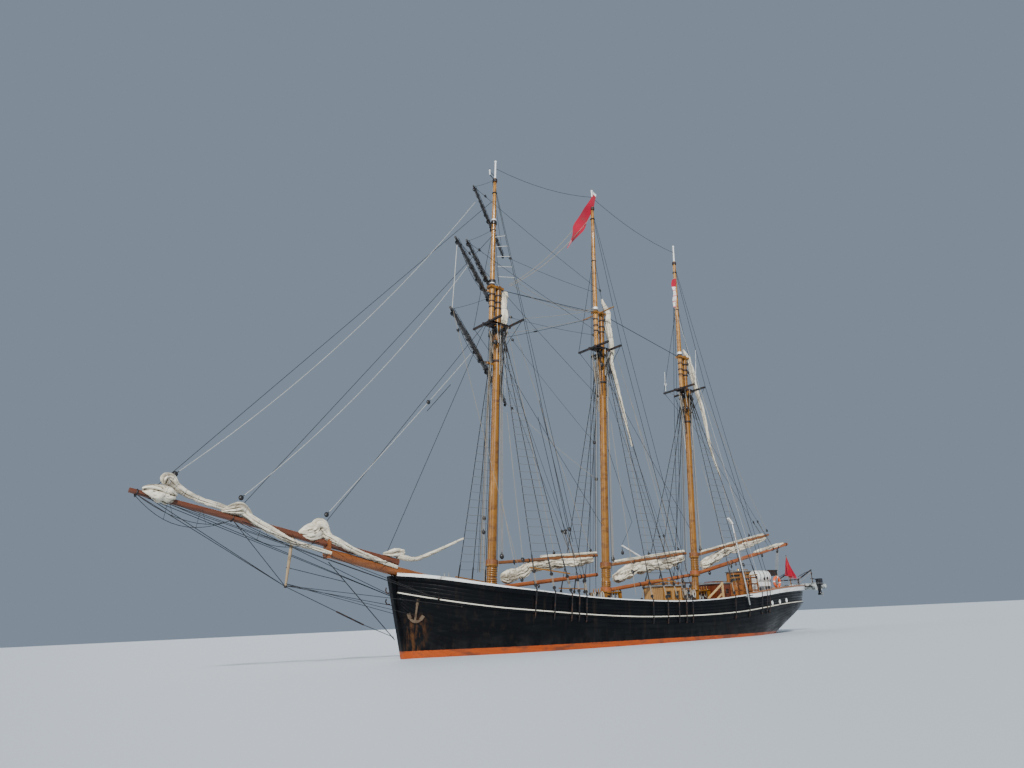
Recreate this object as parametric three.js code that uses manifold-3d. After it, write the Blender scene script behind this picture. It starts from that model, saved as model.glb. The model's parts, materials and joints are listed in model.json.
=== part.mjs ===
// Three-masted topsail schooner, modelled at half size, as a scene graph of named solids.
// Units are millimetres of the model: 500 mm here is one metre of the real ship.
// +X points to the bow, +Y to port and +Z up. The origin is on the centre line,
// amidships, at the height of the water that she floats in.

import * as THREE from 'three';
import { mergeVertices } from 'three/addons/utils/BufferGeometryUtils.js';
import Module from 'manifold-3d';

const wasm = await Module();
wasm.setup();

// Driving dimensions

const SEAT_GAP = 0.3;
const PLANK_GAP = 0.8;
const RUNNING_GAP = 5.5;
const RAKE = THREE.MathUtils.degToRad(4.5);
const MAST_SIDES = 16;
const SPAR_SIDES = 12;
const BUNDLE_SIDES = 10;

// One row is one cross section of the hull, from the stem aft.
// bottom is the rabbet of the keel or the counter, rub the deck edge, rail the top of the
// bulwark. full and round shape the curve from the bottom out to the deck edge.
const SECTION_COLUMNS = ['x', 'bottom', 'rub', 'rubHalf', 'rail', 'railHalf', 'full', 'round'];
const SECTIONS = [
  [7400, 875, 1435, 80, 1890, 120, 1.1, 1.0],
  [7175, -25, 1365, 310, 1850, 400, 1.05, 0.85],
  [6750, -650, 1250, 675, 1770, 810, 1.05, 0.9],
  [6150, -1075, 1120, 1050, 1640, 1190, 1.15, 0.95],
  [5400, -1340, 995, 1375, 1500, 1490, 1.35, 1.05],
  [4400, -1440, 885, 1625, 1360, 1690, 1.7, 1.3],
  [3000, -1460, 755, 1760, 1195, 1790, 2.0, 1.5],
  [1500, -1475, 660, 1800, 1095, 1820, 2.2, 1.6],
  [0, -1475, 625, 1810, 1035, 1825, 2.2, 1.6],
  [-1500, -1475, 630, 1790, 1055, 1810, 2.1, 1.5],
  [-2800, -1440, 675, 1730, 1130, 1760, 1.9, 1.35],
  [-4000, -1275, 760, 1610, 1225, 1650, 1.7, 1.1],
  [-5000, -825, 830, 1425, 1300, 1490, 1.5, 1.0],
  [-5800, -210, 870, 1270, 1340, 1350, 1.6, 1.2],
  [-6500, 275, 890, 1040, 1365, 1140, 1.8, 1.4],
  [-7100, 600, 895, 700, 1375, 810, 2.0, 1.5],
  [-7475, 790, 900, 360, 1380, 490, 2.0, 1.5],
  [-7640, 870, 902, 100, 1385, 150, 2.0, 1.5],
].map((row) => Object.fromEntries(row.map((value, i) => [SECTION_COLUMNS[i], value])));

const HULL_STEPS_PER_SECTION = 2;
const HULL_CURVE_POINTS = 9;
const DECK_CAMBER = 45;
const BULWARK_THICKNESS = 50;
const CAP_WIDTH = 150;
const RUB_HEIGHT = 70;
const RUB_DEPTH = 36;
const QUARTER_RAIL_HEIGHT = 42;
const QUARTER_RAIL_WIDTH = 170;
const QUARTER_START_X = -3250;

// The keel, stem and rudder post are one timber frame, this thick, on the centre plane.
const FRAME_THICKNESS = 150;
const KEEL_BOTTOM = -1600;
const KEEL_FORE_END = 4500;
const STERN_POST_X = -5780;
const SHOE_END_X = -5930;
const SHOE_HEIGHT = 70;
const SCREW_X = -5300;
const SCREW_Z = -820;
const SCREW_RADIUS = 280;
const APERTURE_LENGTH = 260;
const APERTURE_HALF_HEIGHT = 310;
const RUDDER_AXIS_X = -5840;

// One row is one mast. x is where its centre line meets the water, top is the height of
// its cap along the mast, truck the top of the pole and offset how far the topmast
// stands forward of the lower mast at the trestletrees.
const MASTS = {
  fore: { x: 4820, radius: 116, hounds: 7500, trestle: 8470, cap: 9630, truck: 13620, offset: 220, lean: 0 },
  main: { x: 935, radius: 114, hounds: 7450, trestle: 8400, cap: 9620, truck: 13780, offset: 215, lean: 1.2 },
  mizzen: { x: -2745, radius: 104, hounds: 6700, trestle: 7590, cap: 8770, truck: 12750, offset: 195, lean: 1.0 },
};

// Colours

const COLOURS = {
  black: 0x101215,
  antifouling: 0x4a1d14,
  white: 0xe9e9e4,
  deck: 0x9a7f5c,
  varnish: 0xb8722c,
  brown: 0x7a4426,
  red: 0x8c4330,
  iron: 0x1c1d1f,
  sail: 0xe8e2cf,
  grey: 0x767a7c,
  mahogany: 0x5c1f12,
  rust: 0x7d4a33,
  rubber: 0xb9bcbb,
  bronze: 0x9a7436,
};

const ship = new THREE.Group();

// Geometry helpers

// Keeps only positions, merges shared corners and drops triangles that have collapsed.
function cleaned(geometry) {
  let bare = new THREE.BufferGeometry();
  bare.setAttribute('position', geometry.getAttribute('position'));
  if (geometry.index) bare.setIndex(geometry.index);
  bare = mergeVertices(bare, 1e-3);
  const index = bare.index.array;
  const kept = [];
  for (let i = 0; i < index.length; i += 3) {
    const [a, b, c] = [index[i], index[i + 1], index[i + 2]];
    if (a !== b && b !== c && c !== a) kept.push(a, b, c);
  }
  bare.setIndex(kept);
  return bare;
}

function asSolid(geometry) {
  const bare = cleaned(geometry);
  const solid = new wasm.Manifold(new wasm.Mesh({
    numProp: 3,
    vertProperties: new Float32Array(bare.getAttribute('position').array),
    triVerts: new Uint32Array(bare.index.array),
  }));
  return solid;
}

function asGeometry(solid) {
  const mesh = solid.getMesh();
  const geometry = new THREE.BufferGeometry();
  geometry.setAttribute('position', new THREE.BufferAttribute(new Float32Array(mesh.vertProperties), 3));
  geometry.setIndex(new THREE.BufferAttribute(new Uint32Array(mesh.triVerts), 1));
  return geometry;
}

function joined(...geometries) {
  return asGeometry(geometries.map(asSolid).reduce((whole, piece) => whole.add(piece)));
}

function cutBy(geometry, ...tools) {
  return asGeometry(tools.map(asSolid).reduce((whole, tool) => whole.subtract(tool), asSolid(geometry)));
}

function moved(geometry, x, y, z) {
  return geometry.clone().translate(x, y, z);
}

// A closed skin over a row of rings that all have the same number of points.
function skinned(rings, closedPath = false) {
  const count = rings[0].length;
  const positions = rings.flat().flatMap((p) => [p.x, p.y, p.z]);
  const index = [];
  const spans = closedPath ? rings.length : rings.length - 1;
  for (let i = 0; i < spans; i += 1) {
    const next = (i + 1) % rings.length;
    for (let j = 0; j < count; j += 1) {
      const k = (j + 1) % count;
      const [a, b, c, d] = [i * count + j, i * count + k, next * count + k, next * count + j];
      index.push(a, b, c, a, c, d);
    }
  }
  if (!closedPath) {
    for (const [ring, flip] of [[0, true], [rings.length - 1, false]]) {
      const middle = rings[ring].reduce((sum, p) => sum.add(p), new THREE.Vector3()).divideScalar(count);
      const hub = positions.length / 3;
      positions.push(middle.x, middle.y, middle.z);
      for (let j = 0; j < count; j += 1) {
        const [a, b] = [ring * count + j, ring * count + ((j + 1) % count)];
        index.push(...(flip ? [hub, b, a] : [hub, a, b]));
      }
    }
  }
  const geometry = new THREE.BufferGeometry();
  geometry.setAttribute('position', new THREE.Float32BufferAttribute(positions, 3));
  geometry.setIndex(index);
  return outward(geometry);
}

// Turns all faces over if the solid is inside out.
function outward(geometry) {
  const p = geometry.getAttribute('position');
  const index = geometry.index.array;
  const [a, b, c] = [new THREE.Vector3(), new THREE.Vector3(), new THREE.Vector3()];
  let volume = 0;
  for (let i = 0; i < index.length; i += 3) {
    a.fromBufferAttribute(p, index[i]);
    b.fromBufferAttribute(p, index[i + 1]);
    c.fromBufferAttribute(p, index[i + 2]);
    volume += a.dot(b.cross(c));
  }
  if (volume < 0) geometry.setIndex(Array.from(index).reverse());
  return geometry;
}

function block(sizeX, sizeY, sizeZ, x = 0, y = 0, z = 0) {
  return moved(new THREE.BoxGeometry(sizeX, sizeY, sizeZ), x, y, z);
}

// A box from its lowest and highest corners.
function boxBetween([x0, y0, z0], [x1, y1, z1]) {
  return block(x1 - x0, y1 - y0, z1 - z0, (x0 + x1) / 2, (y0 + y1) / 2, (z0 + z1) / 2);
}

// A round spar along +Z, from pairs of [radius, height].
function turned(profile, sides = SPAR_SIDES) {
  const first = profile[0];
  const last = profile[profile.length - 1];
  const points = [[0, first[1]], ...profile, [0, last[1]]].map(([r, z]) => new THREE.Vector2(r, z));
  return cleaned(new THREE.LatheGeometry(points, sides).rotateX(Math.PI / 2));
}

// A round spar between two points, its radii given at even steps.
function sparBetween(from, to, radii, sides = SPAR_SIDES) {
  const start = new THREE.Vector3(...from);
  const along = new THREE.Vector3(...to).sub(start);
  const length = along.length();
  const profile = radii.map((radius, i) => [radius, (length * i) / (radii.length - 1)]);
  const turn = new THREE.Quaternion().setFromUnitVectors(new THREE.Vector3(0, 0, 1), along.normalize());
  return turned(profile, sides).applyQuaternion(turn).translate(start.x, start.y, start.z);
}

// A ring along +Z with a clear bore.
function collar(bore, outer, height, z, sides = MAST_SIDES) {
  const points = [
    [bore, z], [outer, z], [outer, z + height], [bore, z + height], [bore, z],
  ].map(([r, h]) => new THREE.Vector2(r, h));
  return cleaned(new THREE.LatheGeometry(points, sides).rotateX(Math.PI / 2));
}

// A plate of constant thickness from an outline in the XZ plane.
function sidePlate(outline, thickness, holes = []) {
  const shape = new THREE.Shape(outline.map(([x, z]) => new THREE.Vector2(x, z)));
  for (const hole of holes) shape.holes.push(new THREE.Path(hole.map(([x, z]) => new THREE.Vector2(x, z))));
  const plate = new THREE.ExtrudeGeometry(shape, { depth: thickness, bevelEnabled: false });
  return cleaned(plate.rotateX(Math.PI / 2).translate(0, thickness / 2, 0));
}

// A lashed bundle of cloth: ellipses of [x, y, z, half width, half height] along its length.
function bundle(stations, sides = BUNDLE_SIDES) {
  return skinned(stations.map(([x, y, z, halfWidth, halfHeight]) => (
    Array.from({ length: sides }, (_, i) => {
      const angle = (2 * Math.PI * i) / sides;
      return new THREE.Vector3(x, y + halfWidth * Math.sin(angle), z + halfHeight * Math.cos(angle));
    })
  )));
}

// The same, for a bundle that stands up: each ellipse lies flat.
function upright(stations, sides = BUNDLE_SIDES) {
  return skinned(stations.map(([x, y, z, halfLength, halfWidth]) => (
    Array.from({ length: sides }, (_, i) => {
      const angle = (2 * Math.PI * i) / sides;
      return new THREE.Vector3(x + halfLength * Math.cos(angle), y + halfWidth * Math.sin(angle), z);
    })
  )));
}

function add(name, geometry, colour, parent = ship, roughness = 0.6, metalness = 0) {
  const material = new THREE.MeshStandardMaterial({ color: colour, roughness, metalness });
  const mesh = new THREE.Mesh(cleaned(geometry), material);
  mesh.name = name;
  parent.add(mesh);
  return mesh;
}

function group(parent, x = 0, y = 0, z = 0) {
  const child = new THREE.Group();
  child.position.set(x, y, z);
  parent.add(child);
  return child;
}

// Hull form

function smooth(before, from, to, after, t) {
  const curve = new THREE.SplineCurve([before, from, to, after].map((v, i) => new THREE.Vector2(i, v)));
  return curve.getPoint((1 + t) / 3).y;
}

// The sections and the ones between them, from the stem aft.
const frames = [];
SECTIONS.slice(0, -1).forEach((section, i) => {
  for (let step = 0; step < HULL_STEPS_PER_SECTION; step += 1) {
    const t = step / HULL_STEPS_PER_SECTION;
    const near = [i - 1, i, i + 1, i + 2].map((k) => (
      SECTIONS[Math.min(Math.max(k, 0), SECTIONS.length - 1)]
    ));
    frames.push(Object.fromEntries(SECTION_COLUMNS.map((key) => (
      [key, smooth(...near.map((s) => s[key]), t)]
    ))));
  }
});
frames.push(SECTIONS[SECTIONS.length - 1]);

// A value of the hull form at any place along the ship.
function hullAt(x, key) {
  const i = Math.max(1, frames.findIndex((f) => f.x <= x));
  const [fore, aft] = [frames[i - 1], frames[i]];
  return THREE.MathUtils.lerp(fore[key], aft[key], (fore.x - x) / (fore.x - aft.x));
}

function deckHeight(x) {
  return hullAt(x, 'rub') + DECK_CAMBER;
}

// Half the breadth below the deck edge, where rise goes from 0 at the bottom to 1 there.
function hullHalf(frame, rise) {
  return frame.rubHalf * (1 - (1 - rise) ** frame.full) ** (1 / frame.round);
}

const LEAST_HALF = 12;
// Points crowd towards the keel, where the section turns hardest.
const POINT_CROWDING = 1.5;
// The deck's crown, as shares of the half breadth and of the camber.
const CROWN = { out: 0.5, up: 0.75 };

function hullRing(frame, grow) {
  const side = [];
  for (let i = 0; i < HULL_CURVE_POINTS; i += 1) {
    const rise = (i / (HULL_CURVE_POINTS - 1)) ** POINT_CROWDING;
    const z = THREE.MathUtils.lerp(frame.bottom - grow, frame.rub + grow, rise);
    side.push([Math.max(hullHalf(frame, rise), LEAST_HALF) + grow, z]);
  }
  const crown = [frame.rubHalf * CROWN.out, frame.rub + grow + DECK_CAMBER * CROWN.up];
  const port = [...side, crown];
  const ring = port.map(([y, z]) => new THREE.Vector3(frame.x, y, z));
  ring.push(new THREE.Vector3(frame.x, 0, frame.rub + grow + DECK_CAMBER));
  for (const [y, z] of port.reverse()) ring.push(new THREE.Vector3(frame.x, -y, z));
  return ring;
}

function hullSolid(grow = 0) {
  const rings = frames.map((frame) => hullRing(frame, grow));
  for (const p of rings[0]) p.x += grow;
  for (const p of rings[rings.length - 1]) p.x -= grow;
  return skinned(rings);
}

// Port side from the stem to the stern, then starboard back: a closed loop of frames.
const loop = [
  ...frames.map((frame) => ({ frame, side: 1 })),
  ...frames.toReversed().map((frame) => ({ frame, side: -1 })),
];

// The direction that points out of the ship at each place of the loop, in plan.
const outDirections = loop.map((_, i) => {
  const at = (k) => {
    const { frame, side } = loop[(k + loop.length) % loop.length];
    return new THREE.Vector2(frame.x, side * frame.railHalf);
  };
  const along = at(i + 1).sub(at(i - 1)).normalize();
  return new THREE.Vector2(along.y, -along.x);
});

// Half the breadth above the deck edge, where the side runs straight up to the rail.
function topsideHalf(frame, z) {
  const rise = Math.max(0, (z - frame.rub) / (frame.rail - frame.rub));
  return THREE.MathUtils.lerp(frame.rubHalf, frame.railHalf, rise);
}

// A plank that follows the side of the ship all round: section gives, for each frame,
// its corners as [distance out from the side, height].
function sweptRing(section) {
  return skinned(loop.map(({ frame, side }, i) => (
    section(frame).map(([out, z]) => new THREE.Vector3(
      frame.x + outDirections[i].x * out,
      side * topsideHalf(frame, z) + outDirections[i].y * out,
      z,
    ))
  )), true);
}

const BULWARK_FOOT = 3;
const BULWARK_LAP = 20;

// The planked side above the deck, a little longer than it shows, and larger by grow.
function bulwarkRing(grow) {
  return sweptRing((f) => {
    const [low, high] = [f.rub + BULWARK_FOOT - grow, f.rail - capDepth(f.x) + BULWARK_LAP];
    const inner = -BULWARK_THICKNESS - grow;
    return [[inner, low], [grow, low], [grow, high], [inner, high]];
  });
}

function capRing(grow) {
  const inner = -(BULWARK_THICKNESS + CAP_WIDTH) / 2;
  return sweptRing((f) => [
    [inner - grow, f.rail - capDepth(f.x) - grow], [inner + CAP_WIDTH + grow, f.rail - capDepth(f.x) - grow],
    [inner + CAP_WIDTH + grow, f.rail], [inner - grow, f.rail],
  ]);
}

function quarterRing(grow) {
  const inner = -(BULWARK_THICKNESS + QUARTER_RAIL_WIDTH) / 2;
  const top = QUARTER_RAIL_HEIGHT + grow;
  return sweptRing((f) => [
    [inner, f.rail + PLANK_GAP], [inner + QUARTER_RAIL_WIDTH, f.rail + PLANK_GAP],
    [inner + QUARTER_RAIL_WIDTH, f.rail + top], [inner, f.rail + top],
  ]);
}

const CAP_DEPTH = { quarter: 115, waist: 45, bow: 140, bowFrom: 2500, bowTo: 5200 };

// How deep the white cap plank hangs: broad at the bow and on the quarter, thin between.
function capDepth(x) {
  if (x < QUARTER_START_X) return CAP_DEPTH.quarter;
  const share = THREE.MathUtils.smoothstep(x, CAP_DEPTH.bowFrom, CAP_DEPTH.bowTo);
  return THREE.MathUtils.lerp(CAP_DEPTH.waist, CAP_DEPTH.bow, share);
}

// Keel, stem and rudder post in profile, from the stem head down and aft, then back inside.
const FRAME_OUTLINE = [
  [7585, 1825], [7245, 0], [6960, -640], [6330, -1140], [5450, -1450], [KEEL_FORE_END, KEEL_BOTTOM],
  [SHOE_END_X, KEEL_BOTTOM], [SHOE_END_X, KEEL_BOTTOM + SHOE_HEIGHT],
  [STERN_POST_X, KEEL_BOTTOM + SHOE_HEIGHT], [STERN_POST_X, -100], [-5000, -700], [-4000, -1180],
  [-2800, -1380], [4400, -1380], [6000, -1030], [6640, -600], [7010, 0], [7403, 1000], [7403, 1825],
];

// The same outline, drawn a little larger all round.
function grownOutline(outline, grow) {
  return outline.map((point, i) => {
    const before = outline[(i + outline.length - 1) % outline.length];
    const after = outline[(i + 1) % outline.length];
    const along = [[point, before], [after, point]].map(([a, b]) => (
      new THREE.Vector2(a[0] - b[0], a[1] - b[1]).normalize()
    ));
    const out = along.reduce((sum, v) => sum.add(new THREE.Vector2(v.y, -v.x)), new THREE.Vector2()).normalize();
    return [point[0] - out.x * grow, point[1] - out.y * grow];
  });
}

// The bowsprit and the jib-boom on top of it, as points on their centre lines.
const SPRIT_SLOPE = 0.229;
const SPRIT_STEM = [7500, 1950];
const SPRIT_DROP = 203;
const sprit = (x, drop = 0) => [x, 0, SPRIT_STEM[1] + (x - SPRIT_STEM[0]) * SPRIT_SLOPE - drop];
const JIB_BOOM_HEEL = 7330;
const JIB_BOOM_TIP = 13255;
const JIB_BOOM_START = 2165 - sprit(JIB_BOOM_HEEL + 170)[2];
const jibBoom = (x) => [x, 0, sprit(x)[2] + JIB_BOOM_START];
const BOWSPRIT_HEEL = 6150;
const BOWSPRIT_END = 9150;
const JIB_BOOM_RADII = [84, 82, 77, 66, 52];
const bowspritAxis = (x) => [x, 0, jibBoom(x)[2] - SPRIT_DROP];

function jibBoomSpar(grow) {
  const ends = [JIB_BOOM_HEEL - 2 * grow, JIB_BOOM_TIP + 2 * grow].map(jibBoom);
  return sparBetween(...ends, JIB_BOOM_RADII.map((radius) => radius + grow), MAST_SIDES);
}

// The height of the jib-boom's upper side.
function jibBoomTop(x) {
  const place = ((x - JIB_BOOM_HEEL) / (JIB_BOOM_TIP - JIB_BOOM_HEEL)) * (JIB_BOOM_RADII.length - 1);
  const i = Math.min(Math.floor(place), JIB_BOOM_RADII.length - 2);
  const radius = THREE.MathUtils.lerp(JIB_BOOM_RADII[i], JIB_BOOM_RADII[i + 1], place - i);
  return jibBoom(x)[2] + radius / Math.cos(Math.atan(SPRIT_SLOPE));
}

const RUDDER_TRUNK = { radius: 47, bottom: -700, top: 1400 };
// Bores along the bowsprit and the jib-boom: where they start and end, and their radii.
const BORE_END = 8200;
const STEM_BED = { start: 7000, radius: 118 };
const BULWARK_BORE = { start: 6000, radius: 124 };
const RAIL_BORE = { start: 7200, radius: 96 };
// The room that the rails leave for the stem head.
const STEM_ROOM = { x0: 7395, x1: 7700, half: 200, low: 800, top: 2000, capLow: 1700 };
const RUB_BEVEL = 0.7;
const CLEAR_OF_SHIP = { x: 9000, y: 3000, z: 3000 };

function buildHull() {
  const keelSlot = sidePlate(grownOutline(FRAME_OUTLINE, 2 * SEAT_GAP), FRAME_THICKNESS + 2 * SEAT_GAP);
  const bore = [RUDDER_TRUNK.bottom, RUDDER_TRUNK.top].map((z) => [RUDDER_TRUNK.radius, z]);
  const trunk = moved(turned(bore, MAST_SIDES), RUDDER_AXIS_X, 0, 0);
  add('hull', cutBy(hullSolid(), keelSlot, trunk), COLOURS.black);

  const apertureX = SCREW_X - APERTURE_LENGTH;
  const aperture = [
    [SCREW_X, SCREW_Z - APERTURE_HALF_HEIGHT], [SCREW_X, SCREW_Z + APERTURE_HALF_HEIGHT],
    [apertureX, SCREW_Z + APERTURE_HALF_HEIGHT], [apertureX, SCREW_Z - APERTURE_HALF_HEIGHT],
  ];
  const boreAlong = (axis, { start, radius }) => (
    sparBetween(axis(start), axis(BORE_END), [radius, radius], MAST_SIDES)
  );
  const bowspritBed = boreAlong(bowspritAxis, STEM_BED);
  const timbers = cutBy(sidePlate(FRAME_OUTLINE, FRAME_THICKNESS, [aperture]), bowspritBed);
  add('keel_and_stem', timbers, COLOURS.black);

  const bowspritHole = boreAlong(bowspritAxis, BULWARK_BORE);
  const jibBoomHole = boreAlong(jibBoom, RAIL_BORE);
  const bulwark = cutBy(bulwarkRing(0), bowspritHole, hullSolid(SEAT_GAP), capRing(SEAT_GAP));
  add('bulwark', bulwark, COLOURS.black);
  const stemHead = boxBetween(
    [STEM_ROOM.x0, -FRAME_THICKNESS, STEM_ROOM.capLow],
    [STEM_ROOM.x1, FRAME_THICKNESS, STEM_ROOM.top],
  );
  add('cap_rail', cutBy(capRing(0), bowspritHole, jibBoomHole, stemHead), COLOURS.white);

  const rubRail = sweptRing((f) => [
    [SEAT_GAP, f.rub - RUB_HEIGHT / 2], [RUB_DEPTH * RUB_BEVEL, f.rub - RUB_HEIGHT / 2],
    [RUB_DEPTH, f.rub], [RUB_DEPTH * RUB_BEVEL, f.rub + RUB_HEIGHT / 2], [SEAT_GAP, f.rub + RUB_HEIGHT / 2],
  ]);
  const stemGap = boxBetween(
    [STEM_ROOM.x0, -STEM_ROOM.half, STEM_ROOM.low],
    [STEM_ROOM.x1, STEM_ROOM.half, STEM_ROOM.top],
  );
  add('rub_rail', cutBy(rubRail, hullSolid(SEAT_GAP), bulwarkRing(SEAT_GAP), stemGap), COLOURS.sail);

  const forward = boxBetween(
    [QUARTER_START_X, -CLEAR_OF_SHIP.y, 0],
    [CLEAR_OF_SHIP.x, CLEAR_OF_SHIP.y, CLEAR_OF_SHIP.z],
  );
  add('quarter_rail', cutBy(quarterRing(0), forward), COLOURS.brown);
}

const STOCK = { radius: 45, heelRadius: 40, joint: -1400, belowDeck: 30 };
const BLADE_THICKNESS = 60;
// The rudder's blade in profile, as [distance abaft its axis, height].
const RUDDER_BLADE = [[0, -1515], [440, -1515], [500, -1250], [430, -500], [260, -270], [0, -270]];
const SCREW = { blades: 3, pitch: 35, thick: 26, wide: 120, root: 30, plane: 75, gap: 0.5 };
// The screw's hub as [radius, distance abaft the stern post].
const SCREW_HUB = [[38, 0], [50, 40], [50, 120], [20, 175]];

function buildRudderAndScrew() {
  const onAxis = (radius, low, high) => (
    moved(turned([[radius, low], [radius, high]], MAST_SIDES), RUDDER_AXIS_X, 0, 0)
  );
  const stock = onAxis(STOCK.radius, STOCK.joint, deckHeight(RUDDER_AXIS_X) - STOCK.belowDeck);
  const heel = onAxis(STOCK.heelRadius, KEEL_BOTTOM + SHOE_HEIGHT + SCREW.gap, STOCK.joint);
  const blade = sidePlate(RUDDER_BLADE.map(([aft, z]) => [RUDDER_AXIS_X - aft, z]), BLADE_THICKNESS);
  add('rudder', joined(stock, heel, blade), COLOURS.antifouling);

  const blades = Array.from({ length: SCREW.blades }, (_, i) => (
    block(SCREW.thick, SCREW.wide, SCREW_RADIUS - SCREW.root, 0, 0, (SCREW_RADIUS + SCREW.root) / 2)
      .rotateZ(THREE.MathUtils.degToRad(SCREW.pitch))
      .rotateX((i * 2 * Math.PI) / SCREW.blades)
      .translate(-SCREW.plane, 0, 0)
  ));
  const screw = joined(turned(SCREW_HUB, MAST_SIDES).rotateY(-Math.PI / 2), ...blades);
  add('propeller', moved(screw, SCREW_X - SCREW.gap, 0, SCREW_Z), COLOURS.bronze, ship, 0.35, 0.9);
}

// Masts. Each mast has its own frame: origin where its centre line meets the water,
// Z along the mast, so everything on it shares its rake.

const mastFrames = Object.fromEntries(Object.entries(MASTS).map(([name, mast]) => {
  const frame = group(ship, mast.x, 0, 0);
  frame.rotation.y = -RAKE;
  return [name, frame];
}));

// The coat round each mast's foot, and how much thinner the mast is at the hounds, at the
// trestletrees and at its cap.
const MAST_COAT = { wide: 34, height: 50, taper: 90 };
const MAST_TAPER = { from: 1200, hounds: 14, trestle: 18, doubling: 30, cap: 34 };
const CAP_PLATE_REACH = 110;
const CAP_PLATE = { half: 105, thick: 60, bore: 73 };
const SADDLE = { inside: 20, outside: 46, height: 40 };
const CHEEK = { half: 80, drop: 420, wide: 58 };
// Trestletrees run fore and aft on the cheeks, and the crosstrees lie across them.
// crosses holds, for the after and the fore crosstree, the distance abaft the mast or ahead of
// the topmast, and half its length.
const TREES = { margin: 60, wide: 60, deep: 80, seat: 32, crossHigh: 50, crossRise: 45 };
const CROSSTREES = {
  fore: { aft: [280, 800], fore: [130, 650] },
  main: { aft: [170, 650], fore: [130, 650] },
  mizzen: { aft: [170, 650], fore: [130, 650] },
};
// The bar across the main cap that spreads the upper shrouds.
const CAP_SPREADER = { x: 125, half: 675, long: 44, thick: 26, below: 30 };
const HEEL_PLATE = { long: 150, margin: 50, thick: 40 };
// The topmast above its shoulder, as [radius, distance below the truck].
const POLE_TOP = [[18, 60], [32, 40], [32, 12], [14, 0]];
const TOPMAST = { narrowAt: 0.75, narrow: 60, shoulder: 46, pole: 24, step: 30, parallel: 100 };

function buildMast(name) {
  const mast = MASTS[name];
  const frame = mastFrames[name];
  const coat = mast.radius + MAST_COAT.wide;
  const footX = mast.x - deckHeight(mast.x) * Math.sin(RAKE);
  const foot = Math.max(...[1, -1].map((end) => (
    deckHeight(footX + end * coat) - end * coat * Math.sin(RAKE)
  ))) / Math.cos(RAKE) + PLANK_GAP;
  const { hounds, trestle, cap, radius, offset, truck } = mast;
  const lower = turned([
    [coat, foot], [coat, foot + MAST_COAT.height], [radius, foot + MAST_COAT.taper],
    [radius, foot + MAST_TAPER.from], [radius - MAST_TAPER.hounds, hounds],
    [radius - MAST_TAPER.trestle, trestle - HEEL_PLATE.thick],
    [radius - MAST_TAPER.doubling, trestle - HEEL_PLATE.thick],
    [radius - MAST_TAPER.cap, cap + HEEL_PLATE.thick],
  ], MAST_SIDES);
  const capBore = turned([[CAP_PLATE.bore, -CAP_PLATE_REACH], [CAP_PLATE.bore, CAP_PLATE_REACH]], MAST_SIDES);
  const capPlate = cutBy(
    boxBetween(
      [-CAP_PLATE_REACH, -CAP_PLATE.half, cap - CAP_PLATE.thick],
      [offset + CAP_PLATE_REACH, CAP_PLATE.half, cap],
    ),
    moved(capBore, topmastX(mast, cap - CAP_PLATE.thick / 2), 0, cap),
  );
  const spreader = name === 'main' ? [block(
    CAP_SPREADER.long, 2 * CAP_SPREADER.half, CAP_SPREADER.thick, CAP_SPREADER.x, 0, cap - CAP_SPREADER.below,
  )] : [];
  const saddles = boomPlaces[name].map((place) => (
    collar(place.radius - SADDLE.inside, place.radius + SADDLE.outside, SADDLE.height, place.height, MAST_SIDES)
  ));
  const truss = name === 'fore' ? [trussLug(YARDS[0], radius - MAST_TAPER.doubling)] : [];
  const tree = radius - MAST_TAPER.trestle;
  const cheeks = [1, -1].map((side) => skinned([
    [trestle - CHEEK.drop, tree], [trestle - SEAT_GAP, tree + CHEEK.wide],
  ].map(([z, reach]) => [[1, 0], [1, reach], [-1, reach], [-1, 0]].map(([end, y]) => (
    new THREE.Vector3(end * CHEEK.half, side * y, z)
  )))));
  const whole = joined(lower, capPlate, ...spreader, ...cheeks, ...saddles, ...truss);
  add(`${name}mast`, whole, COLOURS.varnish, frame);

  const { aft, fore } = CROSSTREES[name];
  const ends = [-aft[0], offset + fore[0]];
  const trees = [1, -1].map((side) => {
    const y = side * (tree + TREES.seat);
    const half = TREES.wide / 2;
    return boxBetween(
      [ends[0] - TREES.margin, y - half, trestle],
      [ends[1] + TREES.margin, y + half, trestle + TREES.deep],
    );
  });
  const crosses = [aft, fore].map(([, half], i) => (
    block(TREES.wide, 2 * half, TREES.crossHigh, ends[i], 0, trestle + TREES.crossRise)
  ));
  const plateWidth = 2 * (tree + HEEL_PLATE.margin);
  const plateZ = trestle + HEEL_PLATE.thick / 2;
  const heelPlate = block(HEEL_PLATE.long, plateWidth, HEEL_PLATE.thick, offset, 0, plateZ);
  add(`${name}_trestletrees`, joined(...trees, ...crosses, heelPlate), COLOURS.iron, frame);

  const lean = THREE.MathUtils.degToRad(mast.lean);
  const heel = trestle + HEEL_PLATE.thick + SEAT_GAP + TOPMAST_RADIUS * Math.sin(lean);
  const pole = truck - POLE_LENGTH - heel;
  const topmast = turned([
    [TOPMAST_RADIUS, 0], [TOPMAST_RADIUS, cap - heel + TOPMAST.parallel],
    [TOPMAST.narrow, pole * TOPMAST.narrowAt], [TOPMAST.shoulder, pole], [TOPMAST.pole, pole + TOPMAST.step],
    ...POLE_TOP.map(([reach, below]) => [reach, truck - heel - below]),
  ], SPAR_SIDES);
  const trussBand = name === 'fore' ? [trussLug(YARDS[1], offset + TOPMAST.narrow)] : [];
  const placed = topmast.rotateY(lean).translate(offset, 0, heel);
  add(`${name}_topmast`, trussBand.length ? joined(placed, ...trussBand) : placed, COLOURS.varnish, frame);
}

const TOPMAST_RADIUS = 70;
const POLE_LENGTH = 600;

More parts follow.
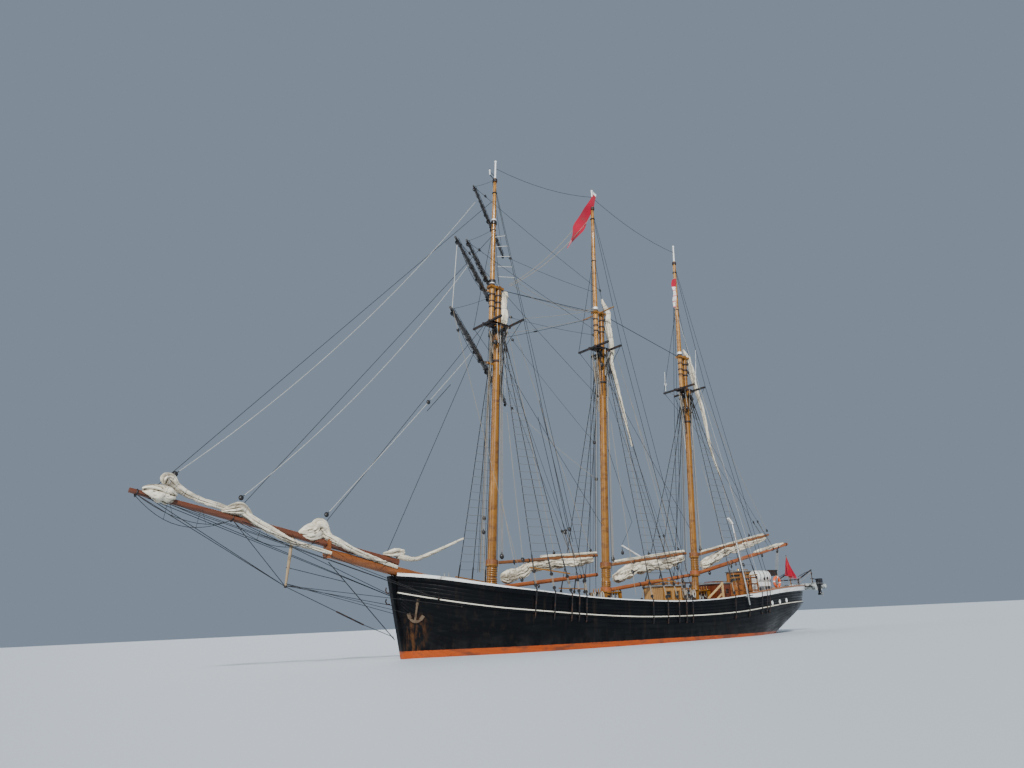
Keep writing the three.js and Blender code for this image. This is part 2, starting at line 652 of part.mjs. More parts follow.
// How thick a topmast is at a height along its mast, above its cap.
function topmastRadius(mast, height) {
  const heel = mast.trestle + HEEL_PLATE.thick;
  const narrow = heel + (mast.truck - POLE_LENGTH - heel) * TOPMAST.narrowAt;
  const start = mast.cap + TOPMAST.parallel;
  return THREE.MathUtils.lerp(TOPMAST_RADIUS, TOPMAST.narrow, Math.max(0, (height - start) / (narrow - start)));
}

// The centre of a topmast at a height along its mast.
function topmastX(mast, height) {
  return mast.offset + (height - mast.trestle) * Math.tan(THREE.MathUtils.degToRad(mast.lean));
}

// Booms and gaffs. Heights are along the mast; boom and gaff run aft, each to its own end.
const SPANKERS = {
  fore: {
    boom: [1543, 2123], boomLength: 3560, boomRadius: 54,
    gaff: [2155, 2640], gaffLength: 3560, gaffRadius: 46,
  },
  main: {
    boom: [1440, 2080], boomLength: 3440, boomRadius: 56,
    gaff: [2109, 2714], gaffLength: 3300, gaffRadius: 46,
  },
  mizzen: {
    boom: [1878, 3189], boomLength: 4704, boomRadius: 62,
    gaff: [2418, 3398], gaffLength: 3730, gaffRadius: 48,
  },
};

const COLLAR_GAP = 2.6;
const COLLAR_HEIGHT = 110;
const COLLAR_THICKNESS = 38;
// How far a spar's heel is let into its collar, and how far its saddle sits below that.
const SPAR_HEEL = 20;
const SADDLE_DROP = 41;
// A spar's thickness at its heel and at its end, as shares of its radius.
const SPAR_ENDS = { heel: 0.9, end: 0.8 };

// Where the boom and the gaff grip each mast, for the saddles that carry them.
const boomPlaces = Object.fromEntries(Object.entries(SPANKERS).map(([name, spanker]) => (
  [name, [spanker.boom[0], spanker.gaff[0]].map((height) => (
    { height: height - COLLAR_HEIGHT / 2 - SADDLE_DROP, radius: MASTS[name].radius }
  ))]
)));

// The height of a boom or gaff at a distance aft of the mast's centre line.
function sparHeight(heights, length, mastRadius, distance) {
  const start = mastRadius + COLLAR_GAP + SPAR_HEEL;
  return THREE.MathUtils.lerp(heights[0], heights[1], (distance - start) / (length - start));
}

// Booms and gaffs share this: a collar round the mast and a spar that runs aft and up.
function gripped(heights, length, radius, mastRadius) {
  const bore = mastRadius + COLLAR_GAP;
  const grip = collar(bore, bore + COLLAR_THICKNESS, COLLAR_HEIGHT, heights[0] - COLLAR_HEIGHT / 2);
  const start = [-(bore + SPAR_HEEL), 0, heights[0]];
  const end = [-length, 0, heights[1]];
  const radii = [radius * SPAR_ENDS.heel, radius, radius, radius * SPAR_ENDS.end];
  return joined(grip, sparBetween(start, end, radii));
}

// How far the cloth laps up round the underside of the gaff.
const FURL_HUG = 14;

// The furled sail under each gaff: along is a share of the gaff's length, drop how far the
// bundle's middle hangs below the gaff.
const FURL_COLUMNS = ['along', 'drop', 'halfWidth', 'halfHeight'];
const FURLS = {
  fore: [
    [0.045, 330, 60, 85], [0.11, 340, 125, 150], [0.21, 270, 135, 150], [0.34, 60, 125, 125],
    [0.6, 0, 120, 115], [0.82, 0, 110, 105], [0.95, 0, 60, 60],
  ],
  main: [
    [0.045, 330, 60, 85], [0.11, 320, 120, 150], [0.22, 240, 130, 160], [0.38, 100, 135, 165],
    [0.62, 60, 130, 160], [0.86, 30, 120, 140], [0.96, 0, 60, 75],
  ],
  mizzen: [
    [0.045, 300, 55, 80], [0.11, 300, 110, 135], [0.22, 200, 120, 135], [0.38, 20, 115, 115],
    [0.62, 0, 100, 100], [0.84, 0, 75, 75], [0.95, 0, 40, 36],
  ],
};
// The least distance from a furled sail to the mast and to the boom below it.
const FURL_CLEAR = { mast: 45, boom: 8 };

function buildSpanker(name) {
  const spanker = SPANKERS[name];
  const mast = MASTS[name];
  const frame = mastFrames[name];
  const { boom, boomLength, boomRadius, gaff, gaffLength, gaffRadius } = spanker;
  add(`${name}_boom`, gripped(boom, boomLength, boomRadius, mast.radius), COLOURS.red, frame);
  add(`${name}_gaff`, gripped(gaff, gaffLength, gaffRadius, mast.radius), COLOURS.brown, frame);
  const near = mast.radius + FURL_CLEAR.mast;
  const rows = FURLS[name].map((row) => Object.fromEntries(row.map((value, i) => [FURL_COLUMNS[i], value])));
  const furled = bundle(rows.map(({ along, drop, halfWidth, halfHeight }) => {
    const distance = THREE.MathUtils.lerp(near, gaffLength, along);
    const under = sparHeight(gaff, gaffLength, mast.radius, distance) - gaffRadius + FURL_HUG;
    const over = sparHeight(boom, boomLength, mast.radius, distance) + boomRadius + FURL_CLEAR.boom;
    const half = Math.min(halfHeight, (under - over) / 2);
    return [-distance, 0, Math.max(under - Math.max(drop, half), over + half), halfWidth, half];
  }));
  const room = gripped(gaff, gaffLength, gaffRadius + SEAT_GAP, mast.radius);
  add(`${name}_sail`, cutBy(furled, room), COLOURS.sail, frame);
}

// Yards. height is along the mast, pivot the distance of the pin forward of the mast,
// reach the yard's own distance forward of its pin, and brace how far the port arm is
// hauled forward.
const YARD_COLUMNS = ['name', 'height', 'pivot', 'reach', 'half', 'radius', 'brace'];
const YARDS = [
  ['lower_yard', 7365, 300, 140, 3725, 66, 46.5],
  ['lower_topsail_yard', 9450, 350, 110, 3135, 56, 48.2],
  ['upper_topsail_yard', 9770, 220, 142, 2465, 50, 47.7],
  ['topgallant_yard', 11580, 220, 125, 2035, 42, 47.7],
].map((row) => Object.fromEntries(row.map((value, i) => [YARD_COLUMNS[i], value])));

const LUG_RADIUS = 34;
const LUG_HEIGHT = 44;
const LUG_ARM = 50;
// The plates of a truss's fork, the play between them and the lug, and the web that joins them.
const FORK = { plate: 24, play: 0.5, web: 60, webStart: 46 };

// The fixed half of a truss: a round plate that a pin goes through, on an arm from the mast.
function trussLug({ pivot, height }, start) {
  return joined(
    block(pivot - start, LUG_ARM, LUG_HEIGHT, (pivot + start) / 2, 0, height),
    moved(turned([[LUG_RADIUS, -LUG_HEIGHT / 2], [LUG_RADIUS, LUG_HEIGHT / 2]], MAST_SIDES), pivot, 0, height),
  );
}

// The yard's half of a truss: a fork over the lug.
function trussFork(reach) {
  const { plate, play, web, webStart } = FORK;
  const gap = LUG_HEIGHT / 2 + play;
  const jaws = [1, -1].flatMap((side) => {
    const z = side * (gap + plate / 2);
    return [
      moved(turned([[LUG_RADIUS, -plate / 2], [LUG_RADIUS, plate / 2]], MAST_SIDES), 0, 0, z),
      block(reach, 2 * LUG_RADIUS, plate, reach / 2, 0, z),
    ];
  });
  return joined(...jaws, block(reach - webStart, web, 2 * gap + plate, (reach + webStart) / 2, 0, 0));
}

const PARREL = { gap: 0.6, thick: 26, height: 70, lap: 10, arm: 60 };
// A yard's thickness from its middle to its tip, as shares of its radius.
const YARD_TAPER = [1, 0.92, 0.55];

function buildYard(yard, index) {
  const pin = group(mastFrames.fore, yard.pivot, 0, yard.height);
  pin.rotation.z = -THREE.MathUtils.degToRad(yard.brace);
  const arms = [1, -1].map((side) => sparBetween(
    [yard.reach, 0, 0], [yard.reach, side * yard.half, 0], YARD_TAPER.map((share) => yard.radius * share),
  ));
  const hung = index < 2;
  const low = -PARREL.height / 2;
  const bore = (topmastRadius(MASTS.fore, yard.height + low) + PARREL.gap) / Math.cos(Math.PI / MAST_SIDES);
  const start = bore + PARREL.lap;
  const hold = hung
    ? trussFork(yard.reach)
    : joined(
      collar(bore, bore + PARREL.thick, PARREL.height, low),
      block(yard.reach - start, PARREL.arm, PARREL.arm, (yard.reach + start) / 2, 0, 0),
    );
  add(yard.name, joined(...arms, hold), COLOURS.iron, pin);
}

const SPAR_CAP = { inside: 60, long: 70, wide: 260, margin: 240 };
const BOWSPRIT_RADII = [112, 115, 108, 96];
// The dolphin striker: where it leaves the bowsprit, how far it is let in, and its foot.
const STRIKER = { x: 9880, ahead: 20, above: 150, foot: [10030, 0, 1610], radii: [34, 34, 24] };

// The block at the bowsprit's end that the jib-boom runs through.
function bowspritCap(grow) {
  const x = BOWSPRIT_END - SPAR_CAP.inside;
  const [, , low] = bowspritAxis(x);
  const [, , high] = jibBoom(x);
  const size = [SPAR_CAP.long, SPAR_CAP.wide, high - low + SPAR_CAP.margin].map((side) => side + 2 * grow);
  return block(...size, x, 0, (high + low) / 2);
}

function buildBowsprit() {
  const [heel, end] = [bowspritAxis(BOWSPRIT_HEEL), bowspritAxis(BOWSPRIT_END)];
  const bowsprit = sparBetween(heel, end, BOWSPRIT_RADII, MAST_SIDES);
  const cap = bowspritCap(0);
  add('bowsprit', cutBy(joined(bowsprit, cap), jibBoomSpar(2 * SEAT_GAP)), COLOURS.varnish);
  add('jib_boom', jibBoomSpar(0), COLOURS.red);

  const [strikerX, , strikerTop] = bowspritAxis(STRIKER.x);
  const head = [strikerX + STRIKER.ahead, 0, strikerTop + STRIKER.above];
  const striker = sparBetween(head, STRIKER.foot, STRIKER.radii);
  add('dolphin_striker', cutBy(striker, jibBoomSpar(SEAT_GAP)), COLOURS.varnish);
}

// Headsails, furled on the jib-boom below the stays that they are hanked to.
// foot and head are the ends of the stay, foot along the ship and head up the foremast,
// and step is how far short of the mast's centre line the stay is made fast.
// bag is the furled sail as [x, height over the spar, half width, half height].
const HEADSAILS = {
  flying_jib: {
    foot: 12910,
    head: [MASTS.fore.offset, 12350],
    step: 105,
    bag: [
      [12940, 40, 40, 36], [12820, 110, 110, 100], [12620, 190, 135, 165], [12430, 130, 105, 95],
      [11950, 85, 62, 56], [11350, 48, 44, 47],
    ],
  },
  outer_jib: {
    foot: 11220,
    head: [MASTS.fore.offset, 11230],
    step: 120,
    bag: [
      [11300, 36, 40, 32], [11120, 100, 95, 92], [10960, 120, 100, 100], [10750, 80, 70, 66],
      [10200, 56, 56, 48], [9600, 46, 48, 45],
    ],
  },
  inner_jib: {
    foot: 9420,
    head: [MASTS.fore.offset + 160, 8515],
    step: 14,
    bag: [
      [9500, 34, 40, 30], [9300, 120, 95, 100], [9120, 170, 105, 140], [8900, 100, 75, 76],
      [8300, 60, 56, 52], [7750, 46, 46, 45],
    ],
  },
};
const STAY_RADIUS = 9;
const STAY_SIDES = 8;
const STAY_FOOT_CLEAR = 40;

function inShip(mastName, x, z) {
  const frame = mastFrames[mastName];
  frame.updateWorldMatrix(true, false);
  return frame.localToWorld(new THREE.Vector3(x, 0, z)).toArray();
}

// A stay between two points, stopped short of what it is fast to at each end.
function stayBetween(from, to, clearFrom, clearTo) {
  const [start, end] = [new THREE.Vector3(...from), new THREE.Vector3(...to)];
  const along = end.clone().sub(start).normalize();
  start.addScaledVector(along, clearFrom);
  end.addScaledVector(along, -clearTo);
  return sparBetween(start.toArray(), end.toArray(), [STAY_RADIUS, STAY_RADIUS], STAY_SIDES);
}

function buildHeadsail(name) {
  const { foot, head, step, bag } = HEADSAILS[name];
  const sail = bundle(bag.map(([x, over, halfWidth, halfHeight]) => (
    [x, 0, jibBoomTop(x) + over - FURL_HUG, halfWidth, Math.min(halfHeight, over)]
  )));
  const stay = stayBetween([foot, 0, jibBoomTop(foot)], inShip('fore', ...head), STAY_FOOT_CLEAR, step);
  add(name, cutBy(joined(stay, sail), bowspritCap(SEAT_GAP), jibBoomSpar(SEAT_GAP)), COLOURS.sail);
}

// The forestay comes down to the stem head, with its sail lashed at its foot, and the
// rolled leech of that sail runs aft and up. bag is the furled sail as [x, height over the
// foot, half width, half height], and rest the chock that it lies on.
const FORESTAY = {
  foot: 7660,
  head: [MASTS.fore.offset + 160, 8460],
  clear: [60, 14],
  bag: [
    [7700, 30, 40, 28], [7560, 62, 80, 70], [7400, 100, 95, 110], [7230, 110, 80, 90],
    [7060, 100, 60, 60], [6700, 130, 44, 42], [6300, 200, 36, 34], [5900, 300, 26, 24],
  ],
  rest: { x0: 7300, x1: 7420, half: 40, high: 60 },
};

function buildForestaysail() {
  const { bag, clear, head, rest: chock } = FORESTAY;
  const foot = [FORESTAY.foot, 0, jibBoomTop(FORESTAY.foot)];
  const sail = bundle(bag.map(([x, over, halfWidth, halfHeight]) => (
    [x, 0, foot[2] + over, halfWidth, halfHeight]
  )));
  const stay = stayBetween(foot, inShip('fore', ...head), ...clear);
  const rest = boxBetween(
    [chock.x0, -chock.half, foot[2] - chock.high],
    [chock.x1, chock.half, foot[2] + chock.high],
  );
  add('forestaysail', cutBy(joined(stay, sail, rest), jibBoomSpar(SEAT_GAP)), COLOURS.sail);
}

// Topsails, furled upright abaft their topmasts and round the outside of the trestletrees.
// clear is how far the fore side of the bundle lies abaft the mast's centre line.
const TOPSAIL_COLUMNS = ['height', 'clear', 'halfLength', 'halfWidth'];
const TOPSAILS = {
  fore: {
    aside: 0,
    rows: [
      [8551, 120, 50, 70], [8640, 86, 110, 110], [8800, 86, 138, 125], [9100, 84.8, 140, 130],
      [9400, 84, 125, 115], [9560, 100, 70, 60],
    ],
  },
  main: {
    aside: 104,
    rows: [
      [5620, 1030, 18, 22], [6400, 771, 34, 38], [7300, 470, 52, 56], [8010, 240, 75, 74],
      [8350, 230.6, 84, 82], [8600, 230.6, 86, 86], [9300, 110.7, 90, 92], [9650, 110.7, 78, 84],
      [9900, -60, 60, 60], [10050, -90, 30, 30],
    ],
  },
  mizzen: {
    aside: 0,
    rows: [
      [5052, 1417, 18, 20], [5855, 1040, 35, 38], [7015, 750, 56, 60], [7744, 450, 77, 78], [8400, 240, 86, 86],
      [8690, 110.7, 82, 82], [8790, 110.7, 74, 78], [8919, -4, 55, 58], [9050, -66, 26, 26],
    ],
  },
};

function buildTopsail(name) {
  const { aside, rows } = TOPSAILS[name];
  const table = rows.map((row) => Object.fromEntries(row.map((value, i) => [TOPSAIL_COLUMNS[i], value])));
  const furled = upright(table.map(({ height, clear, halfLength, halfWidth }) => (
    [-clear - halfLength, aside, height, halfLength, halfWidth]
  )));
  add(`${name}_topsail`, furled, COLOURS.sail, mastFrames[name]);
}

const SPRING_STAY_GAP = 1.5;

// Spring stays run level from the cap of one mast to the cap of the next.
function buildSpringStays() {
  for (const [name, ahead] of [['main', 'fore'], ['mizzen', 'main']]) {
    const from = inShip(ahead, -CAP_PLATE_REACH, MASTS[ahead].cap - CAP_PLATE.thick / 2);
    const to = inShip(name, MASTS[name].offset + CAP_PLATE_REACH, MASTS[name].cap - CAP_PLATE.thick / 2);
    add(`${name}_spring_stay`, stayBetween(from, to, SPRING_STAY_GAP, SPRING_STAY_GAP), COLOURS.iron);
  }
}

// Deckhouses are open boxes of planks with their windows and doorway cut, roofed apart.
// Sizes: x0 and x1 the ends, half the half width, height of the walls, from the deck.
// windows: apart is how far each window of a side lies from the side's middle, across the
// window of the fore and after ends, rise the height of the windows' middles.
const WALL = 30;
const HOUSES = {
  midship_house: {
    x0: -1800, x1: -1050, half: 375, height: 790, roof: 60, eave: 40,
    windows: { apart: [-170, 170], wide: 180, high: 170, rise: 560 },
  },
  companion_house: {
    x0: -3850, x1: -3250, half: 500, height: 720, roof: 60, eave: 45,
    windows: { apart: [-130, 130], wide: 130, high: 130, rise: 500 },
  },
  wheel_shelter: {
    x0: -5150, x1: -4760, half: 320, height: 1000, roof: 50, eave: 40,
    windows: { apart: [0], wide: 200, high: 180, rise: 830, across: 380 },
  },
};
const WINDOW_CUT = 2000;
// A roof's rise over the eaves, at the eaves and halfway in, as shares of its height.
const ROOF_EDGE = 0.5;
const ROOF_SHOULDER = 0.88;

const DECK_REACH = 70;

// A height that is clear above the deck between two places, on the centre line.
function deckUnder(x0, x1) {
  return Math.max(deckHeight(x0), deckHeight(x1), deckHeight((x0 + x1) / 2)) + PLANK_GAP;
}

// Fits the foot of a piece to the camber of the deck.
function onDeck(geometry) {
  return cutBy(geometry, hullSolid(SEAT_GAP));
}

function houseWalls({ x0, x1, half, height }) {
  const floor = deckUnder(x0, x1);
  const outer = boxBetween([x0, -half, floor - DECK_REACH], [x1, half, floor + height]);
  const inner = boxBetween(
    [x0 + WALL, -half + WALL, floor - 2 * DECK_REACH],
    [x1 - WALL, half - WALL, floor + height + DECK_REACH],
  );
  return { floor, walls: onDeck(cutBy(outer, inner)) };
}

function houseRoof({ x0, x1, half, height, roof, eave }) {
  const top = deckUnder(x0, x1) + height + SEAT_GAP;
  const crown = skinned([x0 - eave, x1 + eave].map((x) => [
    [half + eave, 0], [half + eave, roof * ROOF_EDGE], [half / 2, roof * ROOF_SHOULDER], [0, roof],
    [-half / 2, roof * ROOF_SHOULDER], [-half - eave, roof * ROOF_EDGE], [-half - eave, 0],
  ].map(([y, z]) => new THREE.Vector3(x, y, top + z))));
  return crown;
}

// What is cut out of a house for its windows.
function windowCuts({ x0, x1, windows }, floor) {
  const { apart, wide, high, rise, across } = windows;
  const middle = (x0 + x1) / 2;
  const sides = apart.map((x) => block(wide, WINDOW_CUT, high, middle + x, 0, floor + rise));
  return across ? [...sides, block(WINDOW_CUT / 2, across, high, middle, 0, floor + rise)] : sides;
}

// The door hangs outside its doorway on a barrel between two knuckles of the house.
const DOOR = {
  half: 190, height: 600, thickness: 24, sill: 50, lap: 10,
  barrel: 10, knuckle: 34, lug: 8, edge: 2, cut: 120,
};
// Half the block on the wheel shelter's after side that carries the wheel's axle.
const BEARING_HALF = 70;

function buildHouses() {
  const { midship_house: midship, companion_house: companion, wheel_shelter: shelter } = HOUSES;

  const galley = houseWalls(midship);
  add('midship_house', cutBy(galley.walls, ...windowCuts(midship, galley.floor)), COLOURS.varnish);
  add('midship_roof', houseRoof(midship), COLOURS.grey);

  const cuddy = houseWalls(companion);
  const doorMiddle = cuddy.floor + DOOR.sill + DOOR.height / 2;
  const doorX = companion.x0 - DOOR.thickness / 2 - RUNNING_GAP;
  const hingeY = DOOR.half + DOOR.lap + DOOR.edge;
  const leafHalf = DOOR.height / 2 + DOOR.lap / 2;
  const doorway = block(DOOR.cut, 2 * DOOR.half, DOOR.height, companion.x0, 0, doorMiddle);
  const knuckles = [1, -1].map((end) => {
    const from = leafHalf + SEAT_GAP;
    const span = [end * from, end * (from + DOOR.knuckle)].sort((a, b) => a - b);
    return joined(
      moved(turned([[DOOR.barrel, span[0]], [DOOR.barrel, span[1]]]), doorX, hingeY, doorMiddle),
      boxBetween(
        [doorX, hingeY - DOOR.lug, doorMiddle + span[0]],
        [companion.x0 + WALL / 2, hingeY + DOOR.lug, doorMiddle + span[1]],
      ),
    );
  });
  const cuddyWalls = cutBy(cuddy.walls, doorway, ...windowCuts(companion, cuddy.floor));
  add('companion_house', joined(cuddyWalls, ...knuckles), COLOURS.mahogany);
  add('companion_roof', houseRoof(companion), COLOURS.grey);
  const hinge = group(ship, doorX, hingeY, doorMiddle);
  const leaf = boxBetween(
    [-DOOR.thickness / 2, -2 * hingeY, -leafHalf],
    [DOOR.thickness / 2, -DOOR.edge, leafHalf],
  );
  const barrel = turned([[DOOR.barrel, -leafHalf], [DOOR.barrel, leafHalf]]);
  add('companion_door', joined(leaf, barrel), COLOURS.mahogany, hinge);

  const helm = houseWalls(shelter);
  const bearing = boxBetween(
    [shelter.x0 - WHEEL.reach, -BEARING_HALF, helm.floor + WHEEL.rise - BEARING_HALF],
    [shelter.x0 + WALL, BEARING_HALF, helm.floor + WHEEL.rise + BEARING_HALF],
  );
  add('wheel_shelter', joined(cutBy(helm.walls, ...windowCuts(shelter, helm.floor)), bearing), COLOURS.varnish);
  add('shelter_roof', houseRoof(shelter), COLOURS.grey);
}

// The wheel hangs on a bearing on the after side of its shelter, its axle along the ship.
const WHEEL = {
  reach: 40, rise: 500, radius: 330, rimRadius: 250, rim: 18,
  rimSides: 6, rimParts: 24, spokes: 4, spoke: 20, hub: 48, hubHalf: 24,
};

function buildHelm() {
  const { wheel_shelter: shelter } = HOUSES;
  const hubX = shelter.x0 - WHEEL.reach - WHEEL.hubHalf - PLANK_GAP;
  const axle = group(ship, hubX, 0, deckUnder(shelter.x0, shelter.x1) + WHEEL.rise);
  const { rimRadius, rimSides, rimParts } = WHEEL;
  const rim = new THREE.TorusGeometry(rimRadius, WHEEL.rim, rimSides, rimParts).rotateY(Math.PI / 2);
  const spokes = Array.from({ length: WHEEL.spokes }, (_, i) => (
    block(WHEEL.spoke, WHEEL.spoke, WHEEL.radius * 2).rotateX((i * Math.PI) / WHEEL.spokes)
  ));
  const hub = turned([[WHEEL.hub, -WHEEL.hubHalf], [WHEEL.hub, WHEEL.hubHalf]], MAST_SIDES);
  add('steering_wheel', joined(rim, hub.rotateY(Math.PI / 2), ...spokes), COLOURS.varnish, axle);
}

// Deck gear

// drum is the windlass's barrel from one end to its middle, as [radius, distance out].
const WINDLASS = {
  x: 5750, bed: 120, cheek: 330, cheekHalf: 90, cheekThick: 40, cheekTop: 420, axle: 270,
  drum: [[60, 520], [60, 470], [95, 450], [95, 380], [80, 370], [105, 0]],
};
const HATCH = { x0: 2700, x1: 3400, half: 350, coaming: 190, lidLap: 30, lidFrom: 170, lidTop: 210 };
const SKYLIGHT = { x0: -450, x1: 250, half: 350, sides: 260, ridge: 460 };
const BITTS = {
  x: 6060, apart: 190, half: 55, top: 500, railEnd: 245, railHalf: 40, railFrom: 120, railTop: 200,
  bed: 60, bore: 118, boreAft: 200, boreFore: 600,
};
const RAFT = {
  x0: -4950, x1: -4350, deckAft: -5000, deckFore: -4300, y0: 900, y1: 1150, chestTop: 640,
  drumY: 1020, drumRise: 800, drum: [[150, 300], [190, 280]],
};

// A turned profile given from its end to its middle, mirrored to the other end.
function mirrored(rows) {
  return [...rows.map(([radius, out]) => [radius, -out]), ...rows.filter(([, out]) => out > 0).reverse()];
}

function buildDeckGear() {
  const deck = deckUnder(WINDLASS.x - WINDLASS.bed, WINDLASS.x + WINDLASS.bed);
  const cheeks = [-WINDLASS.cheek, WINDLASS.cheek].map((y) => boxBetween(
    [WINDLASS.x - WINDLASS.cheekHalf, y - WINDLASS.cheekThick, deck - DECK_REACH],
    [WINDLASS.x + WINDLASS.cheekHalf, y + WINDLASS.cheekThick, deck + WINDLASS.cheekTop],
  ));
  const drum = turned(mirrored(WINDLASS.drum), MAST_SIDES).rotateX(Math.PI / 2);
  add('windlass', onDeck(joined(...cheeks, moved(drum, WINDLASS.x, 0, deck + WINDLASS.axle))), COLOURS.iron);

  const hatchDeck = deckUnder(HATCH.x0, HATCH.x1);
  const coaming = boxBetween(
    [HATCH.x0, -HATCH.half, hatchDeck - DECK_REACH],
    [HATCH.x1, HATCH.half, hatchDeck + HATCH.coaming],
  );
  const lid = boxBetween(
    [HATCH.x0 - HATCH.lidLap, -HATCH.half - HATCH.lidLap, hatchDeck + HATCH.lidFrom],
    [HATCH.x1 + HATCH.lidLap, HATCH.half + HATCH.lidLap, hatchDeck + HATCH.lidTop],
  );
  add('fore_hatch', onDeck(joined(coaming, lid)), COLOURS.varnish);

  const lightDeck = deckUnder(SKYLIGHT.x0, SKYLIGHT.x1);
  const skylight = skinned([SKYLIGHT.x0, SKYLIGHT.x1].map((x) => [
    [SKYLIGHT.half, -DECK_REACH], [SKYLIGHT.half, SKYLIGHT.sides], [0, SKYLIGHT.ridge],
    [-SKYLIGHT.half, SKYLIGHT.sides], [-SKYLIGHT.half, -DECK_REACH],
  ].map(([y, z]) => new THREE.Vector3(x, y, lightDeck + z))));
  add('skylight', onDeck(skylight), COLOURS.brown);

  const bittDeck = deckUnder(BITTS.x - BITTS.bed, BITTS.x + BITTS.bed);
  const posts = [-BITTS.apart, BITTS.apart].map((y) => boxBetween(
    [BITTS.x - BITTS.half, y - BITTS.half, bittDeck - DECK_REACH],
    [BITTS.x + BITTS.half, y + BITTS.half, bittDeck + BITTS.top],
  ));
  const rail = boxBetween(
    [BITTS.x - BITTS.railHalf, -BITTS.railEnd, bittDeck + BITTS.railFrom],
    [BITTS.x + BITTS.railHalf, BITTS.railEnd, bittDeck + BITTS.railTop],
  );
  const [boreStart, boreEnd] = [bowspritAxis(BITTS.x - BITTS.boreAft), bowspritAxis(BITTS.x + BITTS.boreFore)];
  const bowsprit = sparBetween(boreStart, boreEnd, [BITTS.bore, BITTS.bore], MAST_SIDES);
  add('bowsprit_bitts', onDeck(cutBy(joined(...posts, rail), bowsprit)), COLOURS.varnish);

  const raftDeck = deckUnder(RAFT.deckAft, RAFT.deckFore);
  const raft = joined(
    boxBetween([RAFT.x0, RAFT.y0, raftDeck - DECK_REACH], [RAFT.x1, RAFT.y1, raftDeck + RAFT.chestTop]),
    moved(
      turned(mirrored(RAFT.drum), MAST_SIDES).rotateY(Math.PI / 2),
      (RAFT.x0 + RAFT.x1) / 2, RAFT.drumY, raftDeck + RAFT.drumRise,
    ),
  );
  add('life_raft', onDeck(raft), COLOURS.white);
}

// Half the breadth of the hull at a place along it and a height below the deck edge.
function hullSideAt(x, z) {
  const frame = Object.fromEntries(SECTION_COLUMNS.map((key) => [key, hullAt(x, key)]));
  return hullHalf(frame, (z - frame.bottom) / (frame.rub - frame.bottom));
}

// A stockless anchor housed flat against the bow, its shank up along the planking.
// Its arms bend round a ring from one angle to the other, thickest in the middle.
const ANCHOR = {
  x: 7050, low: 760, middle: 900, high: 1240, aft: 250, thickness: 46, let: 4,
  ring: 160, ringRise: 60, parts: 8, from: -155, sweep: 130, thin: 14, swell: 16,
  shank: [22, -110, 300], head: 60, fluke: [80, 110], flukeTurn: 0.5, flukeIn: 15, flukeRise: 10,
};

function buildAnchors() {
  const half = ANCHOR.thickness / 2;
  for (const [name, side] of [['anchor_port', 1], ['anchor_starboard', -1]]) {
    const arms = skinned(Array.from({ length: ANCHOR.parts + 1 }, (_, i) => {
      const angle = THREE.MathUtils.degToRad(ANCHOR.from + (ANCHOR.sweep * i) / ANCHOR.parts);
      const thick = ANCHOR.thin + ANCHOR.swell * Math.sin((Math.PI * i) / ANCHOR.parts);
      return [[-thick, -half], [thick, -half], [thick, half], [-thick, half]].map(([r, y]) => {
        const reach = ANCHOR.ring + r;
        return new THREE.Vector3(reach * Math.cos(angle), y, ANCHOR.ringRise + reach * Math.sin(angle));
      });
    }));
    const [shankHalf, shankLow, shankHigh] = ANCHOR.shank;
    const shank = boxBetween([-shankHalf, -half, shankLow], [shankHalf, half, shankHigh]);
    const head = block(ANCHOR.head, ANCHOR.thickness, ANCHOR.head, 0, 0, shankHigh);
    const flukes = [-1, 1].map((end) => (
      block(ANCHOR.fluke[0], ANCHOR.thickness, ANCHOR.fluke[1])
        .rotateY(end * ANCHOR.flukeTurn)
        .translate(end * (ANCHOR.ring - ANCHOR.flukeIn), 0, ANCHOR.flukeRise)
    ));
    const [low, high, aft] = [[ANCHOR.x, ANCHOR.low], [ANCHOR.x, ANCHOR.high], [ANCHOR.x - ANCHOR.aft, ANCHOR.low]]
      .map(([x, z]) => new THREE.Vector3(x, side * hullSideAt(x, z), z));
    const up = high.clone().sub(low).normalize();
    const across = low.clone().sub(aft).normalize();
    const out = up.clone().cross(across).normalize();
    if (out.y * side < 0) out.negate();
    const fore = out.clone().cross(up);
    const middle = new THREE.Vector3(ANCHOR.x, side * hullSideAt(ANCHOR.x, ANCHOR.middle), ANCHOR.middle);
    middle.addScaledVector(out, half - ANCHOR.let);
    const place = new THREE.Matrix4().makeBasis(fore, out, up).setPosition(middle);
    const anchor = joined(arms, shank, head, ...flukes).applyMatrix4(place);
    add(name, cutBy(anchor, hullSolid(SEAT_GAP)), COLOURS.rust);
  }
}

// Stern davits with the inflatable tender slung athwart the stern in their falls.
const DAVIT = {
  x: -7450, y: 420, reach: -8250, top: 1925, radius: 26, tip: 0.8,
  foot: 15, bend: 200, lap: 10, fall: 12, brace: 18,
};
const TENDER = {
  x: -8250, z: 1390, tube: 100, apart: 280, bow: -500, stern: 700, lap: 20,
  bowParts: 8, bowSides: 10, inset: 2, cone: 0.6,
};
const TENDER_FLOOR = { below: 10, thick: 40, half: 275, fore: 150, aft: 560 };
const TRANSOM = { y0: 540, y1: 575, half: 260, below: 130, above: 110 };
// The motor's cowl, leg and foot as [half width, start, end, low, high], from the tender's middle.
const OUTBOARD = [[65, 575 + SEAT_GAP, 760, 20, 240], [30, 600, 690, -270, 60], [55, 590, 720, -290, -230]];

